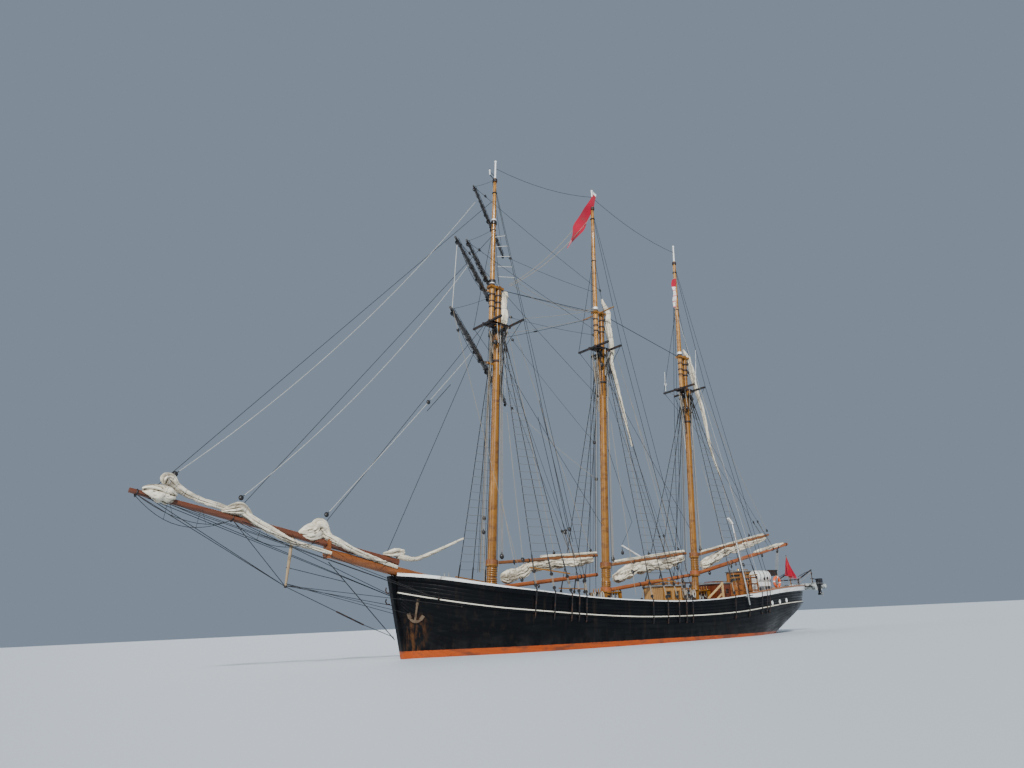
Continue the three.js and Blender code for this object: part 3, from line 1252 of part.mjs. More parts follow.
function buildDavitsAndTender() {
  const rail = hullAt(DAVIT.x, 'rail') + QUARTER_RAIL_HEIGHT;
  const boardTop = TENDER.z - TENDER_FLOOR.below;
  const fallX = DAVIT.reach + DAVIT.lap;
  const bend = rail + DAVIT.bend;
  const arms = [-DAVIT.y, DAVIT.y].map((y) => joined(
    cutBy(
      sparBetween([DAVIT.x, y, rail - DAVIT.foot], [DAVIT.x, y, bend], [DAVIT.radius, DAVIT.radius]),
      quarterRing(SEAT_GAP),
    ),
    sparBetween(
      [DAVIT.x, y, bend - DAVIT.lap],
      [DAVIT.reach, y, DAVIT.top],
      [DAVIT.radius, DAVIT.radius * DAVIT.tip],
    ),
    sparBetween([fallX, y, DAVIT.top], [fallX, y, boardTop + SEAT_GAP], [DAVIT.fall, DAVIT.fall]),
  ));
  const [left, right] = [-1, 1].map((side) => [DAVIT.x, side * DAVIT.y, bend - DAVIT.lap / 2]);
  const brace = sparBetween(left, right, [DAVIT.brace, DAVIT.brace]);
  add('davits', joined(...arms, brace), COLOURS.iron);

  const tubeRadii = [1, 1, 1, 1, TENDER.cone].map((share) => TENDER.tube * share);
  const tubes = [-1, 1].map((side) => sparBetween(
    [TENDER.x + side * TENDER.apart, TENDER.bow - TENDER.lap, TENDER.z],
    [TENDER.x + side * TENDER.apart, TENDER.stern, TENDER.z],
    tubeRadii,
  ));
  const bow = skinned(Array.from({ length: TENDER.bowParts + 1 }, (_, i) => {
    const angle = (Math.PI * i) / TENDER.bowParts;
    return Array.from({ length: TENDER.bowSides }, (_unused, k) => {
      const around = (2 * Math.PI * k) / TENDER.bowSides;
      const inset = TENDER.tube - TENDER.inset;
      const reach = TENDER.apart + inset * Math.cos(around);
      return new THREE.Vector3(
        TENDER.x + reach * Math.cos(angle),
        TENDER.bow - reach * Math.sin(angle),
        TENDER.z + inset * Math.sin(around),
      );
    });
  }));
  const bottom = boxBetween(
    [TENDER.x - TENDER_FLOOR.half, TENDER.bow - TENDER_FLOOR.fore, boardTop - TENDER_FLOOR.thick],
    [TENDER.x + TENDER_FLOOR.half, TENDER_FLOOR.aft, boardTop],
  );
  const transom = boxBetween(
    [TENDER.x - TRANSOM.half, TRANSOM.y0, TENDER.z - TRANSOM.below],
    [TENDER.x + TRANSOM.half, TRANSOM.y1, TENDER.z + TRANSOM.above],
  );
  add('tender', joined(...tubes, bow, bottom, transom), COLOURS.rubber);

  const motor = joined(...OUTBOARD.map(([half, start, end, low, high]) => (
    boxBetween([TENDER.x - half, start, TENDER.z + low], [TENDER.x + half, end, TENDER.z + high])
  )));
  add('outboard', motor, COLOURS.iron);
}

// Order of building

Object.keys(MASTS).forEach(buildMast);
Object.keys(SPANKERS).forEach(buildSpanker);
YARDS.forEach(buildYard);
buildHull();
buildRudderAndScrew();
buildBowsprit();
Object.keys(HEADSAILS).forEach(buildHeadsail);
buildForestaysail();
Object.keys(TOPSAILS).forEach(buildTopsail);
buildSpringStays();
buildHouses();
buildHelm();
buildDeckGear();
buildAnchors();
buildDavitsAndTender();

export default ship;
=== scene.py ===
"""Finish and fine work for the three-masted topsail schooner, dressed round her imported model.

Lengths are metres of the half-size model. +X points to the bow, +Y to port, +Z up, and the
water she floats in is at Z = 0.
"""

import bisect
import json
import math
import random
from collections import namedtuple

import bpy
from mathutils import Matrix, Vector, noise


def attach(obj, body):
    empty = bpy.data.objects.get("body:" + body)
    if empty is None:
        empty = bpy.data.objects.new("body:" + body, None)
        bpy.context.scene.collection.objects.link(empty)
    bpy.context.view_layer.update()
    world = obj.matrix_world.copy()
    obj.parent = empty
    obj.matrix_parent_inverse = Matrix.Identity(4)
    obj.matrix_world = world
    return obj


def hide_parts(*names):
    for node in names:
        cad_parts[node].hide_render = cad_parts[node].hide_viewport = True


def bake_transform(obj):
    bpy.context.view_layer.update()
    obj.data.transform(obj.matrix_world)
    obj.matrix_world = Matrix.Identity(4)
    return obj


bl_info = {
    "name": "Topsail schooner",
    "version": (1, 0, 0),
    "blender": (4, 5, 0),
    "location": "View3D > Sidebar > Schooner",
    "description": "Dresses the packed schooner with planking, rigging, canvas and finishes",
    "category": "Object",
}

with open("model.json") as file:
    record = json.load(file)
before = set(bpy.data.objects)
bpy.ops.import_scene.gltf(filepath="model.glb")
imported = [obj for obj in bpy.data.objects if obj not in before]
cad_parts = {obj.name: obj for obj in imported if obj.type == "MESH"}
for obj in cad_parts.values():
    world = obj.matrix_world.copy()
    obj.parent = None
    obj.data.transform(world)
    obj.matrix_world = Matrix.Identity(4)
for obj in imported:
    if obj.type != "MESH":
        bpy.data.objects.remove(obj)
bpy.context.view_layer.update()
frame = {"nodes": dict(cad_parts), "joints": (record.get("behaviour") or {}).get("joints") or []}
NODES = frame["nodes"]
JOINTS = {joint["name"]: joint for joint in frame["joints"]}
SIDES = {"port": 1, "starboard": -1}
SHIP = "ship"
AHEAD, TO_PORT, UP = (1, 0, 0), (0, 1, 0), (0, 0, 1)


# Sizes and colours that a user would change

def colour(name, value, text):
    return bpy.props.FloatVectorProperty(
        name=name, description=text, subtype="COLOR", size=3, min=0, max=1, default=value
    )


def length(name, value, text):
    return bpy.props.FloatProperty(
        name=name, description=text, unit="LENGTH", min=0, default=value
    )


class SchoonerColours(bpy.types.PropertyGroup):
    """Paints, varnishes and cloths"""
    topsides: colour("Topsides", (0.0025, 0.003, 0.004), "Black paint of the hull")
    boot_top: colour("Boot-top", (0.40, 0.075, 0.016), "Orange-red paint at the waterline")
    white: colour("White paint", (0.80, 0.80, 0.77), "Cap rail and quarter band")
    cream: colour("Cream paint", (0.72, 0.68, 0.55), "Rub rail")
    varnish: colour("Varnish", (0.30, 0.125, 0.012), "Lower masts")
    pale_varnish: colour("Pale varnish", (0.44, 0.205, 0.035), "Topmasts")
    boom_red: colour("Boom paint", (0.35, 0.100, 0.026), "Booms")
    gaff_brown: colour("Gaff paint", (0.24, 0.085, 0.022), "Gaffs and rails")
    mahogany: colour("Mahogany", (0.20, 0.042, 0.014), "Companion house")
    deck: colour("Deck wood", (0.40, 0.29, 0.17), "Scrubbed deck planks")
    canvas: colour("Canvas", (0.84, 0.77, 0.60), "Furled sails")
    rope_dark: colour("Tarred rope", (0.018, 0.017, 0.017), "Standing rigging")
    rope_light: colour("Hemp rope", (0.36, 0.30, 0.22), "Running rigging")
    flag_red: colour("Flag red", (0.42, 0.008, 0.035), "Ensign and pennant")


class SchoonerSizes(bpy.types.PropertyGroup):
    """Planks, wires and ropes"""
    seam_depth: length("Seam depth", 0.0028, "Depth of the caulked seams between strakes")
    stanchion_step: length("Stanchion step", 0.45, "Distance between bulwark stanchions")
    shroud: length("Shroud radius", 0.0100, "Radius of the lower shrouds")
    stay: length("Stay radius", 0.0075, "Radius of the topmast stays and backstays")
    ratline: length("Ratline radius", 0.0050, "Radius of the ratlines")
    ratline_step: length("Ratline step", 0.2, "Height between ratlines")
    running: length("Running rope radius", 0.0055, "Radius of halyards, sheets and braces")
    camera_lens: bpy.props.FloatProperty(
        name="Lens", description="Focal length for a 36 mm frame", unit="CAMERA", default=29.79
    )


def colours():
    return bpy.context.scene.schooner_colours


def sizes():
    return bpy.context.scene.schooner_sizes


# Hull form

SECTION_COLUMNS = ("x", "bottom", "rub", "rub_half", "rail", "rail_half", "full", "round")
Station = namedtuple("Station", SECTION_COLUMNS)
SECTIONS = [Station(*row) for row in (
    (7.400, 0.875, 1.435, 0.080, 1.890, 0.120, 1.10, 1.00),
    (7.175, -0.025, 1.365, 0.310, 1.850, 0.400, 1.05, 0.85),
    (6.750, -0.650, 1.250, 0.675, 1.770, 0.810, 1.05, 0.90),
    (6.150, -1.075, 1.120, 1.050, 1.640, 1.190, 1.15, 0.95),
    (5.400, -1.340, 0.995, 1.375, 1.500, 1.490, 1.35, 1.05),
    (4.400, -1.440, 0.885, 1.625, 1.360, 1.690, 1.70, 1.30),
    (3.000, -1.460, 0.755, 1.760, 1.195, 1.790, 2.00, 1.50),
    (1.500, -1.475, 0.660, 1.800, 1.095, 1.820, 2.20, 1.60),
    (0.000, -1.475, 0.625, 1.810, 1.035, 1.825, 2.20, 1.60),
    (-1.500, -1.475, 0.630, 1.790, 1.055, 1.810, 2.10, 1.50),
    (-2.800, -1.440, 0.675, 1.730, 1.130, 1.760, 1.90, 1.35),
    (-4.000, -1.275, 0.760, 1.610, 1.225, 1.650, 1.70, 1.10),
    (-5.000, -0.825, 0.830, 1.425, 1.300, 1.490, 1.50, 1.00),
    (-5.800, -0.210, 0.870, 1.270, 1.340, 1.350, 1.60, 1.20),
    (-6.500, 0.275, 0.890, 1.040, 1.365, 1.140, 1.80, 1.40),
    (-7.100, 0.600, 0.895, 0.700, 1.375, 0.810, 2.00, 1.50),
    (-7.475, 0.790, 0.900, 0.360, 1.380, 0.490, 2.00, 1.50),
    (-7.640, 0.870, 0.902, 0.100, 1.385, 0.150, 2.00, 1.50),
)]
STEPS_PER_SECTION = 6
CAMBER = 0.045
BULWARK = 0.050
QUARTER_START = -3.25
LEAST_HALF = 0.012


def catmull(a, b, c, d, t):
    return 0.5 * (
        2 * b + (c - a) * t + (2 * a - 5 * b + 4 * c - d) * t * t + (3 * b - a - 3 * c + d) * t ** 3
    )


def dense_stations():
    last = len(SECTIONS) - 1
    found = []
    for i in range(last):
        near = [SECTIONS[min(max(k, 0), last)] for k in (i - 1, i, i + 1, i + 2)]
        for step in range(STEPS_PER_SECTION):
            t = step / STEPS_PER_SECTION
            found.append(Station(*(catmull(*values, t) for values in zip(*near))))
    return found + [SECTIONS[last]]


STATIONS = dense_stations()


def lerp(a, b, t):
    return a + (b - a) * t


def spaced(low, high, count):
    """Evenly spaced values from low to high, with both ends."""
    return [lerp(low, high, i / (count - 1)) for i in range(count)]


def clamp(t, low=0.0, high=1.0):
    return max(low, min(high, t))


def eased(t):
    t = clamp(t)
    return t * t * (3 - 2 * t)


def station(x):
    """The hull section at any place along the ship."""
    i = clamp(bisect.bisect_left([-s.x for s in STATIONS], -x), 1, len(STATIONS) - 1)
    fore, aft = STATIONS[i - 1], STATIONS[i]
    t = (fore.x - x) / (fore.x - aft.x)
    return Station(*(lerp(a, b, t) for a, b in zip(fore, aft)))


def hull_half(s, rise):
    return max(LEAST_HALF, s.rub_half * (1 - (1 - rise) ** s.full) ** (1 / s.round))


def topside_half(s, z):
    return lerp(s.rub_half, s.rail_half, max(0, (z - s.rub) / (s.rail - s.rub)))


def cap_depth(x):
    """How deep the white cap plank hangs below the rail's top."""
    return 0.115 if x < QUARTER_START else lerp(0.045, 0.140, eased((x - 2.5) / 2.7))


def skin(x, z, side=1, out=0.0):
    """A point on the planking, or out from it."""
    s = station(x)

    def half(at):
        if z >= at.rub:
            return topside_half(at, z)
        return hull_half(at, clamp((z - at.bottom) / (at.rub - at.bottom)))

    fore, aft = station(x + 0.05), station(x - 0.05)
    slope = (half(fore) - half(aft)) / (fore.x - aft.x)
    normal = Vector((-slope, 1, 0)).normalized()
    return Vector((x + normal.x * out, side * (half(s) + normal.y * out), z))


def skin_normal(x, z, side=1):
    return (skin(x, z, side, 0.1) - skin(x, z, side)).normalized()


def deck_height(x, y=0.0):
    s = station(x)
    return s.rub + CAMBER * (1 - (y / s.rub_half) ** 2)


def hull_loop():
    """All stations down the port side and back up the starboard one, with the way out of each."""
    path = [(s, 1) for s in STATIONS] + [(s, -1) for s in reversed(STATIONS)]
    places = [Vector((s.x, side * s.rail_half)) for s, side in path]
    count = len(path)
    found = []
    for i, (s, side) in enumerate(path):
        along = (places[(i + 1) % count] - places[i - 1]).normalized()
        found.append((s, side, Vector((along.y, -along.x))))
    return found


# Masts: each has its own frame, origin where its centre line meets the water, Z along it

Mast = namedtuple("Mast", "radius hounds trestle cap truck offset lean")
MASTS = {
    "fore": Mast(0.116, 7.50, 8.47, 9.63, 13.62, 0.220, 0.0),
    "main": Mast(0.114, 7.45, 8.40, 9.62, 13.78, 0.215, 1.2),
    "mizzen": Mast(0.104, 6.70, 7.59, 8.77, 12.75, 0.195, 1.0),
}
MAST_AXIS = Vector(JOINTS["fore_boom_swing"]["axis"]).normalized()
MAST_FORE = Vector((MAST_AXIS.z, 0, -MAST_AXIS.x))
MAST_ORIGIN = {name: Vector(JOINTS[f"{name}_boom_swing"]["pos_m"]) for name in MASTS}


def aloft(name, x, z, y=0.0):
    """A point in a mast's frame: x forward of its centre line, z up along it."""
    return MAST_ORIGIN[name] + MAST_FORE * x + MAST_AXIS * z + Vector((0, y, 0))


def on_topmast(name, z, y=0.0, ahead=0.0):
    """A point on a topmast's centre line, or beside it and ahead of it."""
    mast = MASTS[name]
    lean = (z - mast.trestle) * math.tan(math.radians(mast.lean))
    return aloft(name, mast.offset + lean + ahead, z, y)


# Shapes gathered for one joined piece

# Radii of the thinnest ropes
THREAD, CORD, LINE = 0.004, 0.005, 0.006


def frames_along(path):
    """For each point of a path, two directions square to it that don't twist."""
    tangents = []
    for i in range(len(path)):
        along = path[min(i + 1, len(path) - 1)] - path[max(i - 1, 0)]
        tangents.append(along.normalized())
    start = Vector(UP) if abs(tangents[0].z) < 0.9 else Vector(AHEAD)
    side = tangents[0].cross(start).normalized()
    found = []
    for tangent in tangents:
        side = (side - tangent * side.dot(tangent)).normalized()
        found.append((side, tangent.cross(side)))
    return found


def circle(count):
    """Cosine and sine of evenly spaced angles, once round."""
    return [(math.cos(turn), math.sin(turn)) for turn in (2 * math.pi * i / count for i in range(count))]


def rises(z):
    """A step straight up."""
    return Vector((0, 0, z))


class Shape:
    """Points and faces of one piece, with the finish of each face and the lay of each point."""

    def __init__(self, finish):
        self.finishes = [finish]
        self.points = []
        self.faces = []
        self.looks = []
        self.lay = []

    def number(self, look):
        """The place of a finish among the shape's own; the first where none is named."""
        if look is None:
            return 0
        if look not in self.finishes:
            self.finishes.append(look)
        return self.finishes.index(look)

    def add(self, points, faces, look=None, lay=None):
        start = len(self.points)
        self.points += [Vector(p) for p in points]
        self.lay += lay or [(1.0, 0.0, 0.0)] * len(points)
        self.faces += [tuple(start + i for i in face) for face in faces]
        self.looks += [self.number(look)] * len(faces)

    def loft(self, rings, look=None, caps=True, closed=False, loop=True, lay=None, look_of=None):
        """A skin over rings of points. loop closes each ring, closed joins the last to the first."""
        count = len(rings[0])
        spans = len(rings) if closed else len(rings) - 1
        around = count if loop else count - 1
        faces = []
        looks = []
        for i in range(spans):
            near, far = i * count, ((i + 1) % len(rings)) * count
            for j in range(around):
                k = (j + 1) % count
                faces.append((near + j, near + k, far + k, far + j))
                looks.append(look_of(i, j) if look_of else look)
        if caps and not closed and loop:
            faces.append(tuple(reversed(range(count))))
            faces.append(tuple(range((len(rings) - 1) * count, len(rings) * count)))
            looks += [look, look]
        start = len(self.looks)
        self.add([p for ring in rings for p in ring], faces, look, lay)
        self.looks[start:] = [self.number(each) for each in looks]

    def tube(self, path, radius, sides=6, look=None, caps=True):
        """A round rod or rope along points; radius is one value or one for each point."""
        path = [Vector(p) for p in path]
        radii = radius if hasattr(radius, "__len__") else [radius] * len(path)
        rings, lay = [], []
        along = 0.0
        for i, (p, (side, up)) in enumerate(zip(path, frames_along(path))):
            along += (p - path[i - 1]).length if i else 0
            rings.append([p + side * (c * radii[i]) + up * (s * radii[i]) for c, s in circle(sides)])
            lay += [(c, s, along) for c, s in circle(sides)]
        self.loft(rings, look, caps, lay=lay)

    def rope(self, start, end, sag=0.0, radius=CORD, look=None, steps=8, sides=5):
        """A rope between two places, hanging by its sag in the middle."""
        self.tube(hang(start, end, sag, steps), radius, sides, look)

    def hoop(self, centre, axis, radius, thick, sides=6, steps=20, look=None, height=1.0):
        """A ring round an axis."""
        centre, axis = Vector(centre), Vector(axis).normalized()
        side, up = frames_along([centre, centre + axis])[0]
        outs = [side * c + up * s for c, s in circle(steps)]
        self.loft([[
            centre + out * (radius + thick * c) + axis * (thick * height * s) for c, s in circle(sides)
        ] for out in outs], look, closed=True)

    def turned(self, profile, at, axis=UP, sides=16, look=None):
        """A lathe shape from pairs of radius and height along an axis."""
        at, axis = Vector(at), Vector(axis).normalized()
        side, up = frames_along([at, at + axis])[0]
        self.loft([[
            at + axis * height + (side * c + up * s) * max(radius, 1e-4) for c, s in circle(sides)
        ] for radius, height in profile], look, lay=[
            (c, s, height) for _, height in profile for c, s in circle(sides)
        ])

    def ball(self, centre, radii, look=None, rows=6, sides=10, axes=None):
        """A rounded lump with a radius along each of its axes."""
        axes = axes or (Vector(AHEAD), Vector(TO_PORT), Vector(UP))
        radii = radii if hasattr(radii, "__len__") else (radii,) * 3
        x, y, z = (axis * radius for axis, radius in zip(axes, radii))
        rings = []
        for i in range(rows + 1):
            pitch = math.pi * (i / rows - 0.5)
            flat = max(math.cos(pitch), 0.02)
            rings.append([
                Vector(centre) + x * (flat * c) + y * (flat * s) + z * math.sin(pitch)
                for c, s in circle(sides)
            ])
        self.loft(rings, look)

    def box(self, low, high, look=None):
        """A block between two opposite corners."""
        x, y, z = (sorted(pair) for pair in zip(low, high))
        corners = [(x[i], y[j], z[k]) for i in (0, 1) for j in (0, 1) for k in (0, 1)]
        faces = [(0, 1, 3, 2), (4, 6, 7, 5), (0, 4, 5, 1), (2, 3, 7, 6), (0, 2, 6, 4), (1, 5, 7, 3)]
        self.add(corners, faces, look)

    def beam(self, start, end, wide, high, look=None, up=UP):
        """A square bar between two points, wide across and high along up."""
        start, end = Vector(start), Vector(end)
        along = (end - start).normalized()
        across = Vector(up).cross(along).normalized()
        rise = along.cross(across)
        rings = [[
            p + across * (i * wide / 2) + rise * (j * high / 2)
            for i, j in ((-1, -1), (1, -1), (1, 1), (-1, 1))
        ] for p in (start, end)]
        self.loft(rings, look)

    def piece(self, name, body=SHIP, slot=None, replaces=(), angle=40, bevel=0.0):
        """Makes the Blender object and rides it on its body."""
        mesh = bpy.data.meshes.new(name)
        mesh.from_pydata(self.points, [], self.faces)
        for finish in self.finishes:
            mesh.materials.append(material(finish))
        mesh.polygons.foreach_set("material_index", self.looks)
        mesh.polygons.foreach_set("use_smooth", [True] * len(self.faces))
        lay = mesh.attributes.new("lay", "FLOAT_VECTOR", "POINT")
        lay.data.foreach_set("vector", [value for row in self.lay for value in row])
        mesh.validate()
        mesh.set_sharp_from_angle(angle=math.radians(angle))
        made = bpy.data.objects.new(name, mesh)
        bpy.context.scene.collection.objects.link(made)
        if bevel:
            add_bevel(made, bevel)
        if body:
            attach(made, body)
        if replaces:
            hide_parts(*replaces)
        return made


def add_bevel(made, width):
    edge = made.modifiers.new("rounded_edges", "BEVEL")
    edge.width = width
    edge.segments = 2
    edge.limit_method = "ANGLE"
    edge.angle_limit = math.radians(40)
    edge.harden_normals = False


def hang(start, end, sag=0.0, steps=8):
    """Points of a rope between two places, hanging in the middle."""
    start, end = Vector(start), Vector(end)
    return [
        start.lerp(end, i / steps) - Vector((0, 0, 4 * sag * (i / steps) * (1 - i / steps)))
        for i in range(steps + 1)
    ]


# Shader node helpers

def node(tree, kind, inputs=None, **settings):
    """A shader node with its settings; each input is a value or the output that feeds it."""
    made = tree.nodes.new("ShaderNode" + kind)
    for key, value in settings.items():
        setattr(made, key, value)
    for key, value in (inputs or {}).items():
        if isinstance(value, bpy.types.NodeSocket):
            tree.links.new(value, made.inputs[key])
        else:
            made.inputs[key].default_value = value
    return made


def mixed(tree, factor, first, second):
    return node(tree, "Mix", {0: factor, 6: first, 7: second}, data_type="RGBA").outputs[2]


def calc(tree, operation, *values):
    return node(tree, "Math", dict(enumerate(values)), operation=operation).outputs[0]


def stepped(tree, value, low, high, to_low=0.0, to_high=1.0):
    """A value spread over a range and held at its ends."""
    inputs = {"Value": value, "From Min": low, "From Max": high, "To Min": to_low, "To Max": to_high}
    return node(tree, "MapRange", inputs).outputs[0]


def object_place(tree, stretch=None):
    place = node(tree, "TexCoord").outputs["Object"]
    if stretch is None:
        return place
    return node(tree, "VectorMath", {0: place, 1: stretch}, operation="MULTIPLY").outputs[0]


def rough_noise(tree, place, scale=1.0, detail=5.0, roughness=0.6, twist=0.0):
    inputs = {
        "Vector": place, "Scale": scale, "Detail": detail, "Roughness": roughness, "Distortion": twist
    }
    return node(tree, "TexNoise", inputs).outputs[0]


def group_tree(name, inputs, outputs):
    tree = bpy.data.node_groups.new(name, "ShaderNodeTree")
    for label, kind, value in inputs:
        socket = tree.interface.new_socket(label, in_out="INPUT", socket_type="NodeSocket" + kind)
        if value is not None:
            socket.default_value = value
    for label, kind in outputs:
        tree.interface.new_socket(label, in_out="OUTPUT", socket_type="NodeSocket" + kind)
    return tree, tree.nodes.new("NodeGroupInput").outputs, tree.nodes.new("NodeGroupOutput").inputs


def timber_group():
    """Long grain with blotches of older varnish."""
    tree, given, out = group_tree(
        "Timber grain",
        [("Light", "Color", None), ("Dark", "Color", None), ("Stretch", "Vector", (30, 30, 1.5)),
         ("Blotch", "Float", 0.5)],
        [("Color", "Color"), ("Height", "Float")],
    )
    grain = rough_noise(tree, object_place(tree, given["Stretch"]), 1, 8, 0.65, 0.8)
    patches = rough_noise(tree, object_place(tree), 2.1, 4, 0.6)
    share = stepped(tree, grain, 0.34, 0.66)
    wear = calc(tree, "MULTIPLY", stepped(tree, patches, 0.42, 0.68), given["Blotch"])
    both = calc(tree, "MAXIMUM", calc(tree, "MULTIPLY", share, 0.7), wear)
    tree.links.new(mixed(tree, both, given["Light"], given["Dark"]), out["Color"])
    tree.links.new(grain, out["Height"])
    return tree


def weather_group():
    """Stains laid over a colour, drawn out in any direction by the stretch."""
    tree, given, out = group_tree(
        "Weather",
        [("Color", "Color", None), ("Stain", "Color", None), ("Amount", "Float", 0.5),
         ("Stretch", "Vector", (3, 3, 3)), ("Start", "Float", 0.5)],
        [("Color", "Color"), ("Mask", "Float")],
    )
    cloud = rough_noise(tree, object_place(tree, given["Stretch"]), 1, 7, 0.62, 0.3)
    spread = stepped(tree, cloud, given["Start"], calc(tree, "ADD", given["Start"], 0.16))
    mask = calc(tree, "MULTIPLY", spread, given["Amount"])
    tree.links.new(mixed(tree, mask, given["Color"], given["Stain"]), out["Color"])
    tree.links.new(mask, out["Mask"])
    return tree


def planks_group():
    """Planks laid along X of the given place: a tint for each, and the seams between them."""
    tree, given, out = group_tree(
        "Planks",
        [("Place", "Vector", None), ("Width", "Float", 0.07), ("Length", "Float", 2.4),
         ("Seam", "Float", 0.08)],
        [("Tint", "Float"), ("Seam", "Float")],
    )
    place = node(tree, "SeparateXYZ", {0: given["Place"]}).outputs
    across = calc(tree, "DIVIDE", place[1], given["Width"])
    row = calc(tree, "FLOOR", across)
    shift = node(tree, "TexWhiteNoise", {"W": row}, noise_dimensions="1D").outputs[0]
    along = calc(tree, "ADD", calc(tree, "DIVIDE", place[0], given["Length"]),
                 calc(tree, "MULTIPLY", shift, 7))
    plank = node(tree, "CombineXYZ", {0: row, 1: calc(tree, "FLOOR", along)}).outputs[0]
    tint = node(tree, "TexWhiteNoise", {"Vector": plank}, noise_dimensions="2D").outputs[0]
    edge = calc(tree, "ABSOLUTE", calc(tree, "SUBTRACT", calc(tree, "FRACT", across), 0.5))
    seam = calc(tree, "GREATER_THAN", edge, calc(tree, "SUBTRACT", 0.5, given["Seam"]))
    butt = calc(tree, "ABSOLUTE", calc(tree, "SUBTRACT", calc(tree, "FRACT", along), 0.5))
    share = calc(tree, "DIVIDE", calc(tree, "MULTIPLY", given["Width"], given["Seam"]), given["Length"])
    end = calc(tree, "GREATER_THAN", butt, calc(tree, "SUBTRACT", 0.5, share))
    tree.links.new(tint, out["Tint"])
    tree.links.new(calc(tree, "MAXIMUM", seam, end), out["Seam"])
    return tree


def canvas_group():
    """Sailcloth: soft creases darkened with painted shade, a fine weave and a little mildew."""
    tree, given, out = group_tree(
        "Sailcloth",
        [("Color", "Color", None), ("Shade", "Color", None), ("Mildew", "Float", 0.3)],
        [("Color", "Color"), ("Height", "Float")],
    )
    place = object_place(tree)
    crease = rough_noise(tree, place, 8, 6, 0.6, 1.4)
    weave = rough_noise(tree, place, 260, 2, 0.5)
    patch = rough_noise(tree, place, 1.7, 5, 0.65)
    shade = calc(tree, "MULTIPLY", stepped(tree, patch, 0.46, 0.72), given["Mildew"])
    # Painted shade: the creases are darkened towards Shade; the mildew patches are real stains.
    tone = calc(tree, "MAXIMUM", shade, stepped(tree, crease, 0.56, 0.8, 0, 0.35))
    tree.links.new(mixed(tree, tone, given["Color"], given["Shade"]), out["Color"])
    height = calc(tree, "ADD", crease, calc(tree, "MULTIPLY", weave, 0.12))
    tree.links.new(height, out["Height"])
    return tree


def lay_group():
    """Twisted strands along a rope, from the lay of its points, with painted shade in the grooves between the
    strands.
    """
    tree, given, out = group_tree(
        "Rope lay",
        [("Color", "Color", None), ("Dark", "Color", None), ("Turns", "Float", 60)],
        [("Color", "Color"), ("Height", "Float")],
    )
    lay = node(tree, "Attribute", attribute_name="lay").outputs["Vector"]
    part = node(tree, "SeparateXYZ", {0: lay}).outputs
    angle = calc(tree, "MULTIPLY", calc(tree, "ARCTAN2", part[1], part[0]), 3)
    phase = calc(tree, "ADD", angle, calc(tree, "MULTIPLY", part[2],
                                          calc(tree, "MULTIPLY", given["Turns"], 6.283)))
    strand = stepped(tree, calc(tree, "SINE", phase), -1, 1)
    blotch = stepped(tree, rough_noise(tree, object_place(tree), 3, 3), 0.4, 0.65, 0, 0.5)
    # Painted shade: the grooves between the strands are darkened towards Dark; the blotches are dirt.
    dark = calc(tree, "MAXIMUM", calc(tree, "MULTIPLY", calc(tree, "SUBTRACT", 1, strand), 0.6), blotch)
    tree.links.new(mixed(tree, dark, given["Color"], given["Dark"]), out["Color"])
    tree.links.new(strand, out["Height"])
    return tree


GROUP_MAKERS = {
    "Timber grain": timber_group, "Weather": weather_group, "Planks": planks_group,
    "Sailcloth": canvas_group, "Rope lay": lay_group,
}


def rgba(value, shade=1.0):
    return (value[0] * shade, value[1] * shade, value[2] * shade, 1.0)


class Finish:
    """A material in the making, with its shader and its tree."""

    def __init__(self, name, roughness=0.5, metallic=0.0, coat=0.0, coat_roughness=0.15, sheen=0.0,
                 specular=0.4):
        self.material = bpy.data.materials.new(name)
        self.material.use_nodes = True
        self.tree = self.material.node_tree
        self.shader = self.tree.nodes["Principled BSDF"]
        for socket, value in (
            ("Roughness", roughness), ("Metallic", metallic), ("Coat Weight", coat),
            ("Coat Roughness", coat_roughness), ("Sheen Weight", sheen), ("Specular IOR Level", specular),
        ):
            self.shader.inputs[socket].default_value = value

    def use(self, group, **inputs):
        tree = bpy.data.node_groups.get(group) or GROUP_MAKERS[group]()
        return node(self.tree, "Group", inputs, node_tree=tree).outputs

    def coat(self, tint=None, roughness=None, height=None, depth=0.002):
        """Feeds the shader with what changes over the surface."""
        if tint is not None:
            self.tree.links.new(tint, self.shader.inputs["Base Color"])
        if roughness is not None:
            self.tree.links.new(roughness, self.shader.inputs["Roughness"])
        if height is not None:
            bump = node(self.tree, "Bump", {"Height": height, "Distance": depth, "Strength": 0.7})
            self.tree.links.new(bump.outputs["Normal"], self.shader.inputs["Normal"])
        return self.material


# Finishes

BOOT_TOP = {"middle": 0.118, "slope": 0.0075, "ragged": 0.02}
HULL_STRETCH = (1.2, 1.2, 6)
STREAK_STRETCH = (9, 9, 0.55)


